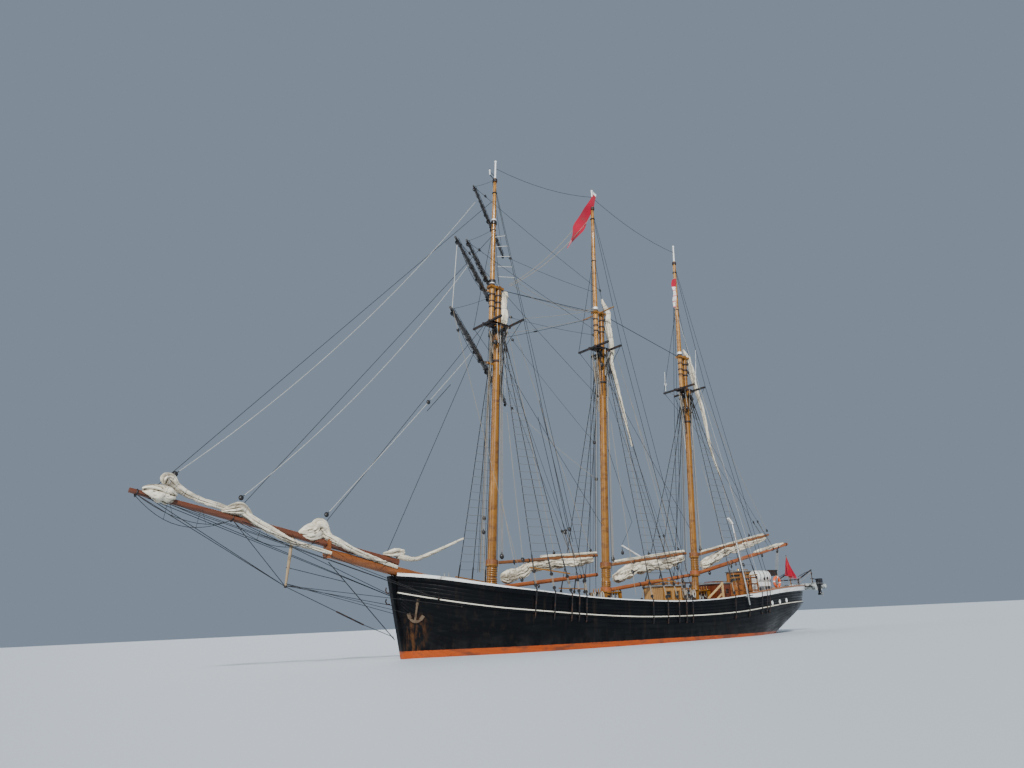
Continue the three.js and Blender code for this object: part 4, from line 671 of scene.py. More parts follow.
def hull_paint(name):
    """Black planks above an orange-red boot-top, with salt, scuffs and rust runs."""
    made = Finish(name, 0.3, specular=0.12)
    tree = made.tree
    black = made.use("Weather", Color=rgba(colours().topsides), Stain=(0.010, 0.011, 0.012, 1),
                     Amount=0.5, Stretch=HULL_STRETCH, Start=0.52)["Color"]
    streaked = made.use("Weather", Color=black, Stain=(0.030, 0.020, 0.013, 1), Amount=0.45,
                        Stretch=STREAK_STRETCH, Start=0.56)
    place = node(tree, "SeparateXYZ", {0: object_place(tree)}).outputs
    salt = calc(tree, "MULTIPLY", stepped(tree, place[2], 0.5, 0.1, 0, 0.55),
                stepped(tree, rough_noise(tree, object_place(tree, (5, 5, 2)), 1), 0.42, 0.7))
    salted = mixed(tree, salt, streaked["Color"], (0.028, 0.028, 0.026, 1))
    rusted = rust_run(tree, place, salted)
    red = made.use("Weather", Color=rgba(colours().boot_top), Stain=(0.12, 0.05, 0.032, 1),
                   Amount=0.75, Stretch=(2.2, 2.2, 7), Start=0.47)["Color"]
    line = calc(tree, "MULTIPLY_ADD", place[0], BOOT_TOP["slope"], BOOT_TOP["middle"])
    ragged = calc(tree, "MULTIPLY", rough_noise(tree, object_place(tree), 14, 3), BOOT_TOP["ragged"])
    above = calc(tree, "SUBTRACT", calc(tree, "ADD", place[2], ragged), line)
    paint = mixed(tree, stepped(tree, above, 0, 0.006), red, rusted)
    deep = stepped(tree, place[2], -0.12, -0.3, 0, 0.75)
    paint = mixed(tree, deep, paint, (0.055, 0.016, 0.011, 1))
    rough = stepped(tree, rough_noise(tree, object_place(tree, HULL_STRETCH), 1.5), 0.3, 0.7, 0.22, 0.5)
    grain = rough_noise(tree, object_place(tree, (1.5, 1.5, 22)), 1, 6)
    return made.coat(paint, rough, grain, 0.006)


ANCHOR_RUN = {"x": 7.02, "half": 0.3, "top": 1.0}


def rust_run(tree, place, base):
    """Rust that has run down the bow below each anchor."""
    near = stepped(tree, calc(tree, "ABSOLUTE", calc(tree, "SUBTRACT", place[0], ANCHOR_RUN["x"])),
                   ANCHOR_RUN["half"], 0.05)
    low = stepped(tree, place[2], ANCHOR_RUN["top"], ANCHOR_RUN["top"] - 0.25)
    runs = stepped(tree, rough_noise(tree, object_place(tree, (14, 14, 1.1)), 1, 6), 0.44, 0.6)
    mask = calc(tree, "MULTIPLY", calc(tree, "MULTIPLY", near, low), runs)
    return mixed(tree, mask, base, (0.075, 0.032, 0.012, 1))


def flat_paint(name, tint, stain, rough=0.45, amount=0.5, stretch=(4, 4, 4), coat=0.1, start=0.52):
    """Brushed paint with dirt worked into it."""
    made = Finish(name, rough, coat=coat)
    tree = made.tree
    dirty = made.use("Weather", Color=tint, Stain=stain, Amount=amount, Stretch=stretch, Start=start)
    fine = made.use("Weather", Color=dirty["Color"], Stain=stain, Amount=amount * 0.6,
                    Stretch=tuple(v * 5 for v in stretch), Start=0.56)
    roughness = stepped(tree, dirty["Mask"], 0, 1, rough, min(0.9, rough + 0.3))
    brush = rough_noise(tree, object_place(tree, tuple(v * 6 for v in stretch)), 1, 5)
    return made.coat(fine["Color"], roughness, brush, 0.003)


def plank_paint(name, tint, stain):
    """Painted rail planks with scarf joints every two metres or so."""
    made = Finish(name, 0.42, coat=0.12)
    tree = made.tree
    dirty = made.use("Weather", Color=tint, Stain=stain, Amount=0.55, Stretch=(2, 2, 9), Start=0.52)
    planks = made.use("Planks", Place=object_place(tree), Width=20.0, Length=2.3, Seam=0.0003)
    seam = mixed(tree, planks["Seam"], dirty["Color"], (0.10, 0.075, 0.05, 1))
    runs = made.use("Weather", Color=seam, Stain=(0.30, 0.20, 0.12, 1), Amount=0.45,
                    Stretch=(16, 16, 1.2), Start=0.58)
    brush = rough_noise(tree, object_place(tree, (3, 12, 30)), 1, 5)
    return made.coat(runs["Color"], None, brush, 0.003)


def timber(name, light, dark, stretch, rough=0.3, coat=0.35, blotch=0.5, depth=0.003):
    """Varnished or oiled wood with its grain along one direction."""
    made = Finish(name, rough, coat=coat)
    tree = made.tree
    wood = made.use("Timber grain", Light=light, Dark=dark, Stretch=stretch, Blotch=blotch)
    grey = made.use("Weather", Color=wood["Color"], Stain=(0.10, 0.06, 0.035, 1), Amount=0.5,
                    Stretch=tuple(v * 0.35 for v in stretch), Start=0.58)
    roughness = stepped(tree, wood["Height"], 0.3, 0.7, rough - 0.05, rough + 0.25)
    return made.coat(grey["Color"], roughness, wood["Height"], depth)


def mast_varnish(name, light, dark):
    """A mast: grain up its length, rubbed rings where the hoops travel, and weathered streaks."""
    made = Finish(name, 0.3, coat=0.4)
    tree = made.tree
    wood = made.use("Timber grain", Light=light, Dark=dark, Stretch=(26, 26, 1.1), Blotch=0.75)
    rubbed = made.use("Weather", Color=wood["Color"], Stain=rgba((0.10, 0.036, 0.008)), Amount=0.8,
                      Stretch=(4.5, 4.5, 8.5), Start=0.49)
    pale = made.use("Weather", Color=rubbed["Color"], Stain=rgba((0.58, 0.30, 0.08)), Amount=0.5,
                    Stretch=(7, 7, 0.9), Start=0.57)
    roughness = stepped(tree, wood["Height"], 0.3, 0.7, 0.22, 0.5)
    return made.coat(pale["Color"], roughness, wood["Height"], 0.003)


def deck_wood(name, width=0.062, tint=None):
    """Scrubbed planks laid fore and aft, payed with black seams."""
    made = Finish(name, 0.6)
    tree = made.tree
    base = tint or colours().deck
    planks = made.use("Planks", Place=object_place(tree), Width=width, Length=2.6, Seam=0.055)
    wood = made.use("Timber grain", Light=rgba(base), Dark=rgba(base, 0.6), Stretch=(1.4, 26, 4), Blotch=0.4)
    tone = mixed(tree, calc(tree, "MULTIPLY", planks["Tint"], 0.4), wood["Color"], rgba(base, 0.55))
    wet = made.use("Weather", Color=tone, Stain=rgba(base, 0.35), Amount=0.6, Stretch=(0.8, 1.6, 1),
                   Start=0.5)
    payed = mixed(tree, planks["Seam"], wet["Color"], (0.012, 0.011, 0.010, 1))
    height = calc(tree, "SUBTRACT", wood["Height"], calc(tree, "MULTIPLY", planks["Seam"], 3))
    return made.coat(payed, None, height, 0.002)


def wall_planks(name, light, dark, width=0.075):
    """Upright varnished planks of a deckhouse, tongued and grooved."""
    made = Finish(name, 0.32, coat=0.3)
    tree = made.tree
    part = node(tree, "SeparateXYZ", {0: object_place(tree)}).outputs
    across = calc(tree, "ADD", part[0], part[1])
    upright = node(tree, "CombineXYZ", {0: part[2], 1: across, 2: 0.0}).outputs[0]
    planks = made.use("Planks", Place=upright, Width=width, Length=9.0, Seam=0.045)
    wood = made.use("Timber grain", Light=light, Dark=dark, Stretch=(30, 30, 2.0), Blotch=0.5)
    tone = mixed(tree, calc(tree, "MULTIPLY", planks["Tint"], 0.45), wood["Color"], dark)
    seam = mixed(tree, calc(tree, "MULTIPLY", planks["Seam"], 0.85), tone, (0.03, 0.014, 0.007, 1))
    height = calc(tree, "SUBTRACT", wood["Height"], calc(tree, "MULTIPLY", planks["Seam"], 4))
    return made.coat(seam, None, height, 0.0025)


# Lay values from FOLD_MARK up, given by furled bundles, carry painted shade for their fold valleys and
# undersides; FOLD_SHADE is the colour of that painted shade.
FOLD_MARK = 2.0
FOLD_SHADE = (0.10, 0.062, 0.034, 1)


def sailcloth(name, tint, shade, mildew=0.3, lay=(0.9, 6, 6), soil_and_shade=0.8):
    """Cloth with its weave, mildew and painted shade in its creases, weather stains drawn out along its lay,
    and painted shade in the folds and under furled bundles.
    """
    made = Finish(name, 0.85, sheen=0.1, specular=0.2)
    tree = made.tree
    cloth = made.use("Sailcloth", Color=tint, Shade=shade, Mildew=mildew)
    folds = made.use("Weather", Color=cloth["Color"], Stain=mixed(made.tree, 0.5, shade,
                                                                  (0.16, 0.11, 0.06, 1)),
                     Amount=soil_and_shade, Stretch=lay, Start=0.50)
    # Painted shade: points whose lay is above FOLD_MARK are darkened towards FOLD_SHADE, deepest in the fold
    # valleys and under the bundle.
    fold_shade_mark = node(tree, "SeparateXYZ",
                {0: node(tree, "Attribute", attribute_name="lay").outputs["Vector"]}).outputs[0]
    deep = stepped(tree, fold_shade_mark, FOLD_MARK + 0.1, FOLD_MARK + 0.9, 0, 0.85)
    ragged = stepped(tree, rough_noise(tree, object_place(tree), 22, 4), 0.3, 0.6, 0.45, 1.0)
    dark = mixed(tree, calc(tree, "MULTIPLY", deep, ragged), folds["Color"], FOLD_SHADE)
    return made.coat(dark, None, cloth["Height"], 0.012)


def rope(name, tint, turns=60.0, rough=0.8):
    made = Finish(name, rough)
    # Dark, a darker copy of the rope's colour, gives the painted shade between the strands and the dirt
    # blotches.
    strands = made.use("Rope lay", Color=rgba(tint), Dark=rgba(tint, 0.35), Turns=turns)
    return made.coat(strands["Color"], None, strands["Height"], 0.002)


def forged(name, tint, stain, rough=0.5, metallic=0.5, amount=0.6, scale=9):
    """Iron or bronze with patches of rust or tarnish."""
    made = Finish(name, rough, metallic=metallic)
    tree = made.tree
    worn = made.use("Weather", Color=tint, Stain=stain, Amount=amount, Stretch=(scale,) * 3, Start=0.47)
    pits = rough_noise(tree, object_place(tree), scale * 7, 5, 0.7)
    roughness = stepped(tree, worn["Mask"], 0, 0.6, rough, 0.85)
    return made.coat(worn["Color"], roughness, pits, 0.003)


def moulded(name, tint, stain, rough=0.3, amount=0.35, coat=0.3):
    """Moulded shell or coated fabric with scuffs."""
    made = Finish(name, rough, coat=coat)
    tree = made.tree
    scuffed = made.use("Weather", Color=tint, Stain=stain, Amount=amount, Stretch=(11, 11, 11), Start=0.52)
    roughness = stepped(tree, scuffed["Mask"], 0, 0.4, rough, rough + 0.3)
    return made.coat(scuffed["Color"], roughness, rough_noise(tree, object_place(tree), 60, 3), 0.0008)


def glass(name):
    """Dark window glass with salt on it."""
    made = Finish(name, 0.06, coat=0.5)
    salt = made.use("Weather", Color=(0.012, 0.018, 0.022, 1), Stain=(0.16, 0.18, 0.18, 1), Amount=0.3,
                    Stretch=(14, 14, 8), Start=0.5)
    return made.coat(salt["Color"], stepped(made.tree, salt["Mask"], 0, 0.3, 0.05, 0.4))


def pale_floor(name):
    made = Finish(name, 0.6)
    made.shader.inputs["Base Color"].default_value = (0.62, 0.67, 0.72, 1)


def paint_stain(shade=0.5):
    return (0.34 * shade, 0.27 * shade, 0.19 * shade, 1)


GREY_ROOF = (0.20, 0.215, 0.225, 1)
RUST = (0.19, 0.072, 0.03, 1)
MAST_GRAIN = (26, 26, 1.1)
LONG_GRAIN = (1.1, 26, 26)
CROSS_GRAIN = (26, 1.1, 26)

def finish_table():
    """For each finish, the maker of it and the values that it is given."""
    paint = colours()
    return {
        "hull_paint": (hull_paint,),
        "inner_white": (flat_paint, rgba(paint.white, 0.9), paint_stain(), 0.5, 0.5, (2, 2, 5)),
        "cap_white": (plank_paint, rgba(paint.white), paint_stain(0.9)),
        "rub_cream": (plank_paint, rgba(paint.cream), paint_stain(0.6)),
        "rail_brown": (timber, rgba((0.36, 0.15, 0.05)), rgba((0.14, 0.05, 0.02)), LONG_GRAIN, 0.35),
        "bottom_paint": (flat_paint, (0.055, 0.016, 0.011, 1), (0.02, 0.02, 0.015, 1), 0.7, 0.6),
        "bronze": (forged, (0.36, 0.20, 0.06, 1), (0.07, 0.11, 0.06, 1), 0.32, 0.9, 0.6, 12),
        "lower_mast": (mast_varnish, rgba(paint.varnish), rgba(paint.varnish, 0.5)),
        "topmast": (mast_varnish, rgba(paint.pale_varnish), rgba(paint.pale_varnish, 0.55)),
        "long_varnish": (timber, rgba(paint.varnish), rgba(paint.varnish, 0.42), LONG_GRAIN),
        "upright_varnish": (timber, rgba(paint.varnish), rgba(paint.varnish, 0.42), MAST_GRAIN),
        "boom_paint": (timber, rgba(paint.boom_red), rgba(paint.boom_red, 0.5), LONG_GRAIN, 0.4, 0.2,
            0.7),
        "gaff_paint": (timber, rgba(paint.gaff_brown), rgba(paint.gaff_brown, 0.45), LONG_GRAIN, 0.4,
            0.2, 0.6),
        "spar_black": (timber, (0.022, 0.019, 0.018, 1), (0.006, 0.006, 0.007, 1), CROSS_GRAIN, 0.38,
            0.2, 0.5),
        "deck_wood": (deck_wood,),
        "margin_plank": (timber, rgba(paint.deck, 0.75), rgba(paint.deck, 0.4), (1.2, 9, 9), 0.6, 0.0),
        "house_planks": (wall_planks, rgba((0.60, 0.36, 0.13)), rgba((0.32, 0.15, 0.045))),
        "shelter_planks": (wall_planks, rgba((0.52, 0.20, 0.045)), rgba((0.25, 0.075, 0.018)), 0.1),
        "mahogany": (wall_planks, rgba(paint.mahogany), rgba(paint.mahogany, 0.4), 0.12),
        "grey_roof": (flat_paint, GREY_ROOF, (0.10, 0.10, 0.095, 1), 0.6, 0.6, (3, 3, 3)),
        # The second colour of each cloth is used for its mildew and for the painted shade in its creases and
        # folds.
        "canvas": (sailcloth, rgba(paint.canvas), rgba(paint.canvas, 0.55)),
        "upright_canvas": (sailcloth, rgba(paint.canvas), rgba(paint.canvas, 0.62), 0.3, (6, 6, 0.9)),
        "old_canvas": (sailcloth, rgba(paint.canvas, 0.85), (0.36, 0.31, 0.22, 1), 0.6),
        "tarred_rope": (rope, paint.rope_dark, 40.0, 0.6),
        "hemp_rope": (rope, paint.rope_light, 60.0),
        "white_rope": (rope, (0.62, 0.60, 0.54), 70.0),
        "ratline_rope": (rope, (0.16, 0.15, 0.14), 80.0),
        "iron_black": (forged, (0.014, 0.014, 0.015, 1), RUST, 0.5, 0.2, 0.3),
        "brass": (forged, (0.55, 0.34, 0.10, 1), (0.22, 0.13, 0.04, 1), 0.28, 0.9, 0.5, 12),
        "pale_spar": (timber, (0.62, 0.42, 0.19, 1), (0.36, 0.21, 0.08, 1), LONG_GRAIN, 0.5, 0.1, 0.5),
        "bow_varnish": (timber, (0.29, 0.095, 0.022, 1), (0.11, 0.032, 0.010, 1), LONG_GRAIN, 0.35, 0.25,
            0.7),
        "weathered_spar": (timber, (0.38, 0.28, 0.16, 1), (0.16, 0.11, 0.065, 1), MAST_GRAIN, 0.6, 0.0,
            0.6),
        "jib_boom_red": (timber, (0.17, 0.052, 0.022, 1), (0.06, 0.018, 0.010, 1), LONG_GRAIN, 0.38, 0.2,
            0.8),
        "rusty_iron": (forged, (0.12, 0.082, 0.050, 1), (0.060, 0.034, 0.020, 1), 0.8, 0.0, 0.6, 7),
        "galvanised": (forged, (0.34, 0.35, 0.35, 1), (0.17, 0.12, 0.08, 1), 0.45, 0.7, 0.5, 14),
        "window_glass": (glass,),
        "pale_floor": (pale_floor,),
        "white_shell": (moulded, (0.78, 0.78, 0.74, 1), (0.42, 0.38, 0.30, 1)),
        "tube_fabric": (moulded, (0.42, 0.44, 0.42, 1), (0.16, 0.16, 0.14, 1), 0.45, 0.5, 0.1),
        "motor_black": (moulded, (0.010, 0.010, 0.012, 1), (0.09, 0.09, 0.09, 1), 0.25),
        "buoy_orange": (moulded, (0.72, 0.11, 0.02, 1), (0.35, 0.10, 0.05, 1), 0.4, 0.4, 0.1),
        "flag_red": (sailcloth, rgba(paint.flag_red), rgba(paint.flag_red, 0.6), 0.2),
        "flag_pink": (sailcloth, (0.72, 0.22, 0.26, 1), (0.5, 0.1, 0.14, 1), 0.3),
        "flag_white": (sailcloth, (0.78, 0.76, 0.74, 1), (0.6, 0.5, 0.5, 1), 0.3),
    }


def material(name):
    """The finish of that name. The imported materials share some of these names, so each ends in finish."""
    full = f"{name}_finish"
    if full not in bpy.data.materials:
        maker, *values = finish_table()[name]
        maker(full, *values)
    return bpy.data.materials[full]


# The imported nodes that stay: rounded, smoothed and finished

def smooth_edges_group():
    """Joins a faceted solid's corners and shades it smooth, but for its real edges."""
    tree = bpy.data.node_groups.new("Smooth solid", "GeometryNodeTree")
    tree.interface.new_socket("Geometry", in_out="INPUT", socket_type="NodeSocketGeometry")
    angle = tree.interface.new_socket("Angle", in_out="INPUT", socket_type="NodeSocketFloat")
    angle.default_value = math.radians(40)
    tree.interface.new_socket("Geometry", in_out="OUTPUT", socket_type="NodeSocketGeometry")
    given = tree.nodes.new("NodeGroupInput").outputs
    out = tree.nodes.new("NodeGroupOutput").inputs
    bare = tree.nodes.new("GeometryNodeRemoveAttribute")
    bare.inputs["Name"].default_value = "custom_normal"
    joined = tree.nodes.new("GeometryNodeMergeByDistance")
    joined.inputs["Distance"].default_value = 1e-4
    smooth = tree.nodes.new("GeometryNodeSetShadeSmooth")
    smooth.inputs["Shade Smooth"].default_value = True
    sharp = tree.nodes.new("GeometryNodeSetShadeSmooth")
    sharp.domain = "EDGE"
    sharp.inputs["Shade Smooth"].default_value = False
    bend = tree.nodes.new("GeometryNodeInputMeshEdgeAngle")
    more = tree.nodes.new("FunctionNodeCompare")
    more.operation = "GREATER_THAN"
    for source, target in (
        (given["Geometry"], bare.inputs["Geometry"]),
        (bare.outputs["Geometry"], joined.inputs["Geometry"]),
        (joined.outputs["Geometry"], smooth.inputs["Geometry"]),
        (smooth.outputs["Geometry"], sharp.inputs["Geometry"]),
        (bend.outputs["Unsigned Angle"], more.inputs[0]),
        (given["Angle"], more.inputs[1]),
        (more.outputs["Result"], sharp.inputs["Selection"]),
        (sharp.outputs["Geometry"], out["Geometry"]),
    ):
        tree.links.new(source, target)
    return tree


def dress(names, finish, bevel=0.0):
    """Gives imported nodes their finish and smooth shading."""
    tree = bpy.data.node_groups.get("Smooth solid") or smooth_edges_group()
    for name in [names] if isinstance(names, str) else names:
        made = NODES[name]
        made.data.materials.clear()
        made.data.materials.append(material(finish))
        smoother = made.modifiers.new("smooth_solid", "NODES")
        smoother.node_group = tree
        if bevel:
            add_bevel(made, bevel)


# Stage

CAMERA = {"place": (17.3405, 17.4015, 0.6865), "pitch": 15.692, "roll": -2.679, "yaw": 232.006}
FLOOR_HALF = 400.0
FRAME_WIDTH_MM = 36.0
SKY = {"colour": (0.50, 0.63, 0.80, 1), "strength": 0.42}
# Lamps: name, direction of the light, strength and how wide the sun's disc is in degrees
SUNS = (
    ("key", (-0.55, -0.72, -0.62), 4.4, 6), ("fill", (0.4, 0.75, -0.35), 0.5, 40),
    ("side", (-0.9, 0.25, -0.3), 0.8, 30),
)


def build_stage():
    """The camera of the photograph, the floor at the waterline, the sky and the lamps."""
    pitch, roll, yaw = (math.radians(CAMERA[key]) for key in ("pitch", "roll", "yaw"))
    ahead = Vector((math.cos(pitch) * math.cos(yaw), math.cos(pitch) * math.sin(yaw), math.sin(pitch)))
    right = Vector((math.sin(yaw), -math.cos(yaw), 0))
    above = right.cross(ahead)
    x = right * math.cos(roll) + above * math.sin(roll)
    y = above * math.cos(roll) - right * math.sin(roll)
    camera = bpy.data.objects.new("camera", bpy.data.cameras.new("camera"))
    turn = Matrix((x, y, -ahead)).transposed().to_4x4()
    camera.matrix_world = Matrix.Translation(CAMERA["place"]) @ turn
    camera.data.lens = sizes().camera_lens
    camera.data.sensor_width = FRAME_WIDTH_MM
    camera.data.clip_start = 0.1
    camera.data.clip_end = 1000
    bpy.context.scene.collection.objects.link(camera)
    bpy.context.scene.camera = camera

    floor = Shape("pale_floor")
    floor.add([(i * FLOOR_HALF, j * FLOOR_HALF, 0) for i, j in ((-1, -1), (1, -1), (1, 1), (-1, 1))],
              [(0, 1, 2, 3)])
    floor.piece("floor", body=None)

    world = bpy.data.worlds.new("studio")
    world.use_nodes = True
    background = world.node_tree.nodes["Background"]
    background.inputs["Color"].default_value = SKY["colour"]
    background.inputs["Strength"].default_value = SKY["strength"]
    bpy.context.scene.world = world
    for name, direction, power, soft in SUNS:
        lamp = bpy.data.lights.new(name, "SUN")
        lamp.energy = power
        lamp.angle = math.radians(soft)
        made = bpy.data.objects.new(name, lamp)
        made.rotation_mode = "QUATERNION"
        made.rotation_quaternion = Vector(direction).to_track_quat("-Z", "Y")
        bpy.context.scene.collection.objects.link(made)


# Hull

STRAKES = 19
STRAKE_SHAPE = 1.15
TOP_PLANKS = 5
GROOVE_SHARE = 0.07


def strake_heights(count, shape=1.0):
    """Shares of the girth at plank middles, edges and seams, with True where a seam lies."""
    found = []
    edges = [(i / count) ** shape for i in range(count + 1)]
    for low, high in zip(edges, edges[1:]):
        wide = (high - low) * GROOVE_SHARE
        found += [(low + wide, False), (high - wide, False), (high, True)]
    return [(0.0, False)] + found[:-1] + [(1.0, False)]


def build_hull():
    depth = sizes().seam_depth
    shape = Shape("hull_paint")
    heights = strake_heights(STRAKES, STRAKE_SHAPE)
    for side in SIDES.values():
        rings = []
        for s in STATIONS:
            ring = []
            for rise, seam in heights:
                half = hull_half(s, rise) - (depth if seam else 0)
                ring.append((s.x, side * max(half, 0.005), lerp(s.bottom, s.rub, rise)))
            rings.append(ring if side > 0 else ring[::-1])
        shape.loft(rings, caps=False, loop=False)
    for s, forward in ((STATIONS[0], True), (STATIONS[-1], False)):
        ring = [(s.x, hull_half(s, rise), lerp(s.bottom, s.rub, rise)) for rise, _ in heights]
        ring += [(x, -y, z) for x, y, z in reversed(ring)]
        shape.add(ring, [tuple(range(len(ring)))[::-1 if forward else 1]])
    shape.piece("hull_planking", slot="hull_wood", replaces=["hull"], angle=50)

    deck = Shape("deck_wood")
    across = 16
    rings = [[
        (s.x, y, s.rub + CAMBER * (1 - (y / s.rub_half) ** 2))
        for y in (s.rub_half * (2 * j / across - 1) for j in range(across + 1))
    ] for s in STATIONS]
    deck.loft(rings, caps=False, loop=False)
    deck.piece("deck_planking", slot="hull_wood", replaces=["hull"])

    build_topsides(depth)
    build_edge_paint()
    dress("keel_and_stem", "hull_paint", 0.012)
    dress("cap_rail", "cap_white", 0.008)
    dress("rub_rail", "rub_cream", 0.004)
    dress("quarter_rail", "rail_brown", 0.008)
    dress("rudder", "bottom_paint", 0.006)
    dress("propeller", "bronze", 0.006)


MARGIN = {"wide": 0.11, "thick": 0.012}
CAP_OUT = 0.050
PAINT = 0.0015
RUB_EDGE = ((0.002, -0.0365), (0.0265, -0.0365), (0.0375, 0.0), (0.0345, 0.011), (0.028, 0.009),
            (0.02, -0.02))


def loop_corner(s, side, way, out, z):
    """A point on the topsides at a height, or out from them along the way of the hull's outline."""
    half = topside_half(s, z)
    return (s.x + way.x * out, side * half + way.y * out, z)


def white_depth(x):
    """How much of the cap plank's face is white; the rest is black like the hull."""
    return lerp(0.024, 0.070, eased((x - 4.3) / 2.8))


def edge_paint(shape, fits, profile_of):
    """A black skin over the lower edge of a rail, wherever the station fits."""
    rings = []
    for s, side, way in hull_loop() + [(STATIONS[0], 1, None)]:
        if way is not None and fits(s.x):
            rings.append([loop_corner(s, side, way, out, z) for out, z in profile_of(s)])
        elif rings:
            shape.loft(rings)
            rings = []


def build_edge_paint():
    shape = Shape("hull_paint")

    def cap_face(s):
        low, high = s.rail - cap_depth(s.x) - PAINT, s.rail - white_depth(s.x)
        return [(0, low), (CAP_OUT + PAINT, low), (CAP_OUT + PAINT, high), (0.02, high)]

    edge_paint(shape, lambda x: x > QUARTER_START and cap_depth(x) > white_depth(x) + 0.004, cap_face)
    # The rub rail is covered black over its lower bevel and underside, so only its upper half shows cream.
    edge_paint(shape, lambda x: True, lambda s: [(out, s.rub + z) for out, z in RUB_EDGE])
    shape.piece("rail_edge_paint", slot="hull_wood")


def build_topsides(depth):
    """Bulwark planks outside, white ceiling and stanchions inside, and the margin plank of the deck."""
    shape = Shape("hull_paint")
    heights = strake_heights(TOP_PLANKS)
    loop = hull_loop()
    outer = len(heights)

    rings = []
    for s, side, way in loop:
        low, high = s.rub + 0.003, s.rail - cap_depth(s.x) + 0.02
        ring = [loop_corner(s, side, way, -depth if seam else 0, lerp(low, high, rise))
                for rise, seam in heights]
        ring += [loop_corner(s, side, way, -BULWARK, high), loop_corner(s, side, way, -BULWARK, low)]
        rings.append(ring)
    shape.loft(rings, closed=True, look_of=lambda i, j: "hull_paint" if j < outer - 1 else "inner_white")
    shape.piece("topside_planking", slot="hull_wood", replaces=["bulwark"],
                angle=50)

    margin = Shape("margin_plank")
    rings = []
    for s, side, way in loop:
        reach = min(BULWARK + MARGIN["wide"], s.rub_half - 0.02)
        outs = (-BULWARK + 0.002, -reach)
        edge = [loop_corner(s, side, way, out, s.rub) for out in outs]
        tops = [deck_height(s.x, min(abs(p[1]), s.rub_half)) for p in edge]
        rings.append([
            (edge[0][0], edge[0][1], tops[0] - 0.01), (edge[0][0], edge[0][1], tops[0] + MARGIN["thick"]),
            (edge[1][0], edge[1][1], tops[1] + MARGIN["thick"]), (edge[1][0], edge[1][1], tops[1] - 0.01),
        ])
    margin.loft(rings, closed=True)
    margin.piece("margin_plank", slot="brown_wood")

    posts = Shape("inner_white")
    x = 6.75
    while x > -7.2:
        for side in SIDES.values():
            s = station(x)
            foot = skin(x, s.rub + 0.01, side, -BULWARK - 0.028)
            head = skin(x, s.rail - cap_depth(x) - 0.002, side, -BULWARK - 0.028)
            foot.z = deck_height(x, foot.y)
            posts.beam(foot, head, 0.075, 0.055, up=skin_normal(x, s.rail, side))
        x -= sizes().stanchion_step
    posts.piece("bulwark_stanchions", slot="white_wood", bevel=0.006)


# Spars

def build_spars():
    dress([f"{name}mast" for name in MASTS], "lower_mast")
    dress([f"{name}_topmast" for name in MASTS], "topmast")
    dress([f"{name}_trestletrees" for name in MASTS], "iron_black", 0.006)
    dress([f"{name}_boom" for name in MASTS], "boom_paint")
    dress("jib_boom", "jib_boom_red")
    dress([f"{name}_gaff" for name in MASTS], "gaff_paint")
    dress(list(YARDS), "spar_black")
    dress("bowsprit", "bow_varnish", 0.004)
    dress("dolphin_striker", "weathered_spar", 0.004)
    dress(["main_spring_stay", "mizzen_spring_stay"], "tarred_rope")


# Canvas: furled sails as lashed bundles of folds

Bundle = namedtuple("Bundle", "centre across up")
RINGS_PER_METRE = 34
BUNDLE_SIDES = 48
TIE_WIDTH = 0.05


def crease(value, width):
    """A sharp valley where a smooth noise crosses zero."""
    return max(0.0, 1 - abs(value) / width) ** 2


def fold_depth(angle, along, seed, wild=1.0):
    """How far the folds of a furled sail stand in or out, as a share of its thickness."""
    turn = Vector((math.cos(angle), math.sin(angle), 0))
    lumps = noise.noise(turn * 1.3 + rises(along * 1.3 * wild + seed))
    valleys = crease(noise.noise(turn * 2.1 + Vector((seed, 0, along * 0.8 * wild))), 0.17)
    pleats = crease(noise.noise(turn * 3.2 + Vector((0, seed, along * 2.6 * wild))), 0.14)
    fine = noise.noise(turn * 8 + Vector((seed, seed, along * 9)))
    return wild * (0.30 * lumps - 0.38 * valleys - 0.22 * pleats) + 0.04 * fine


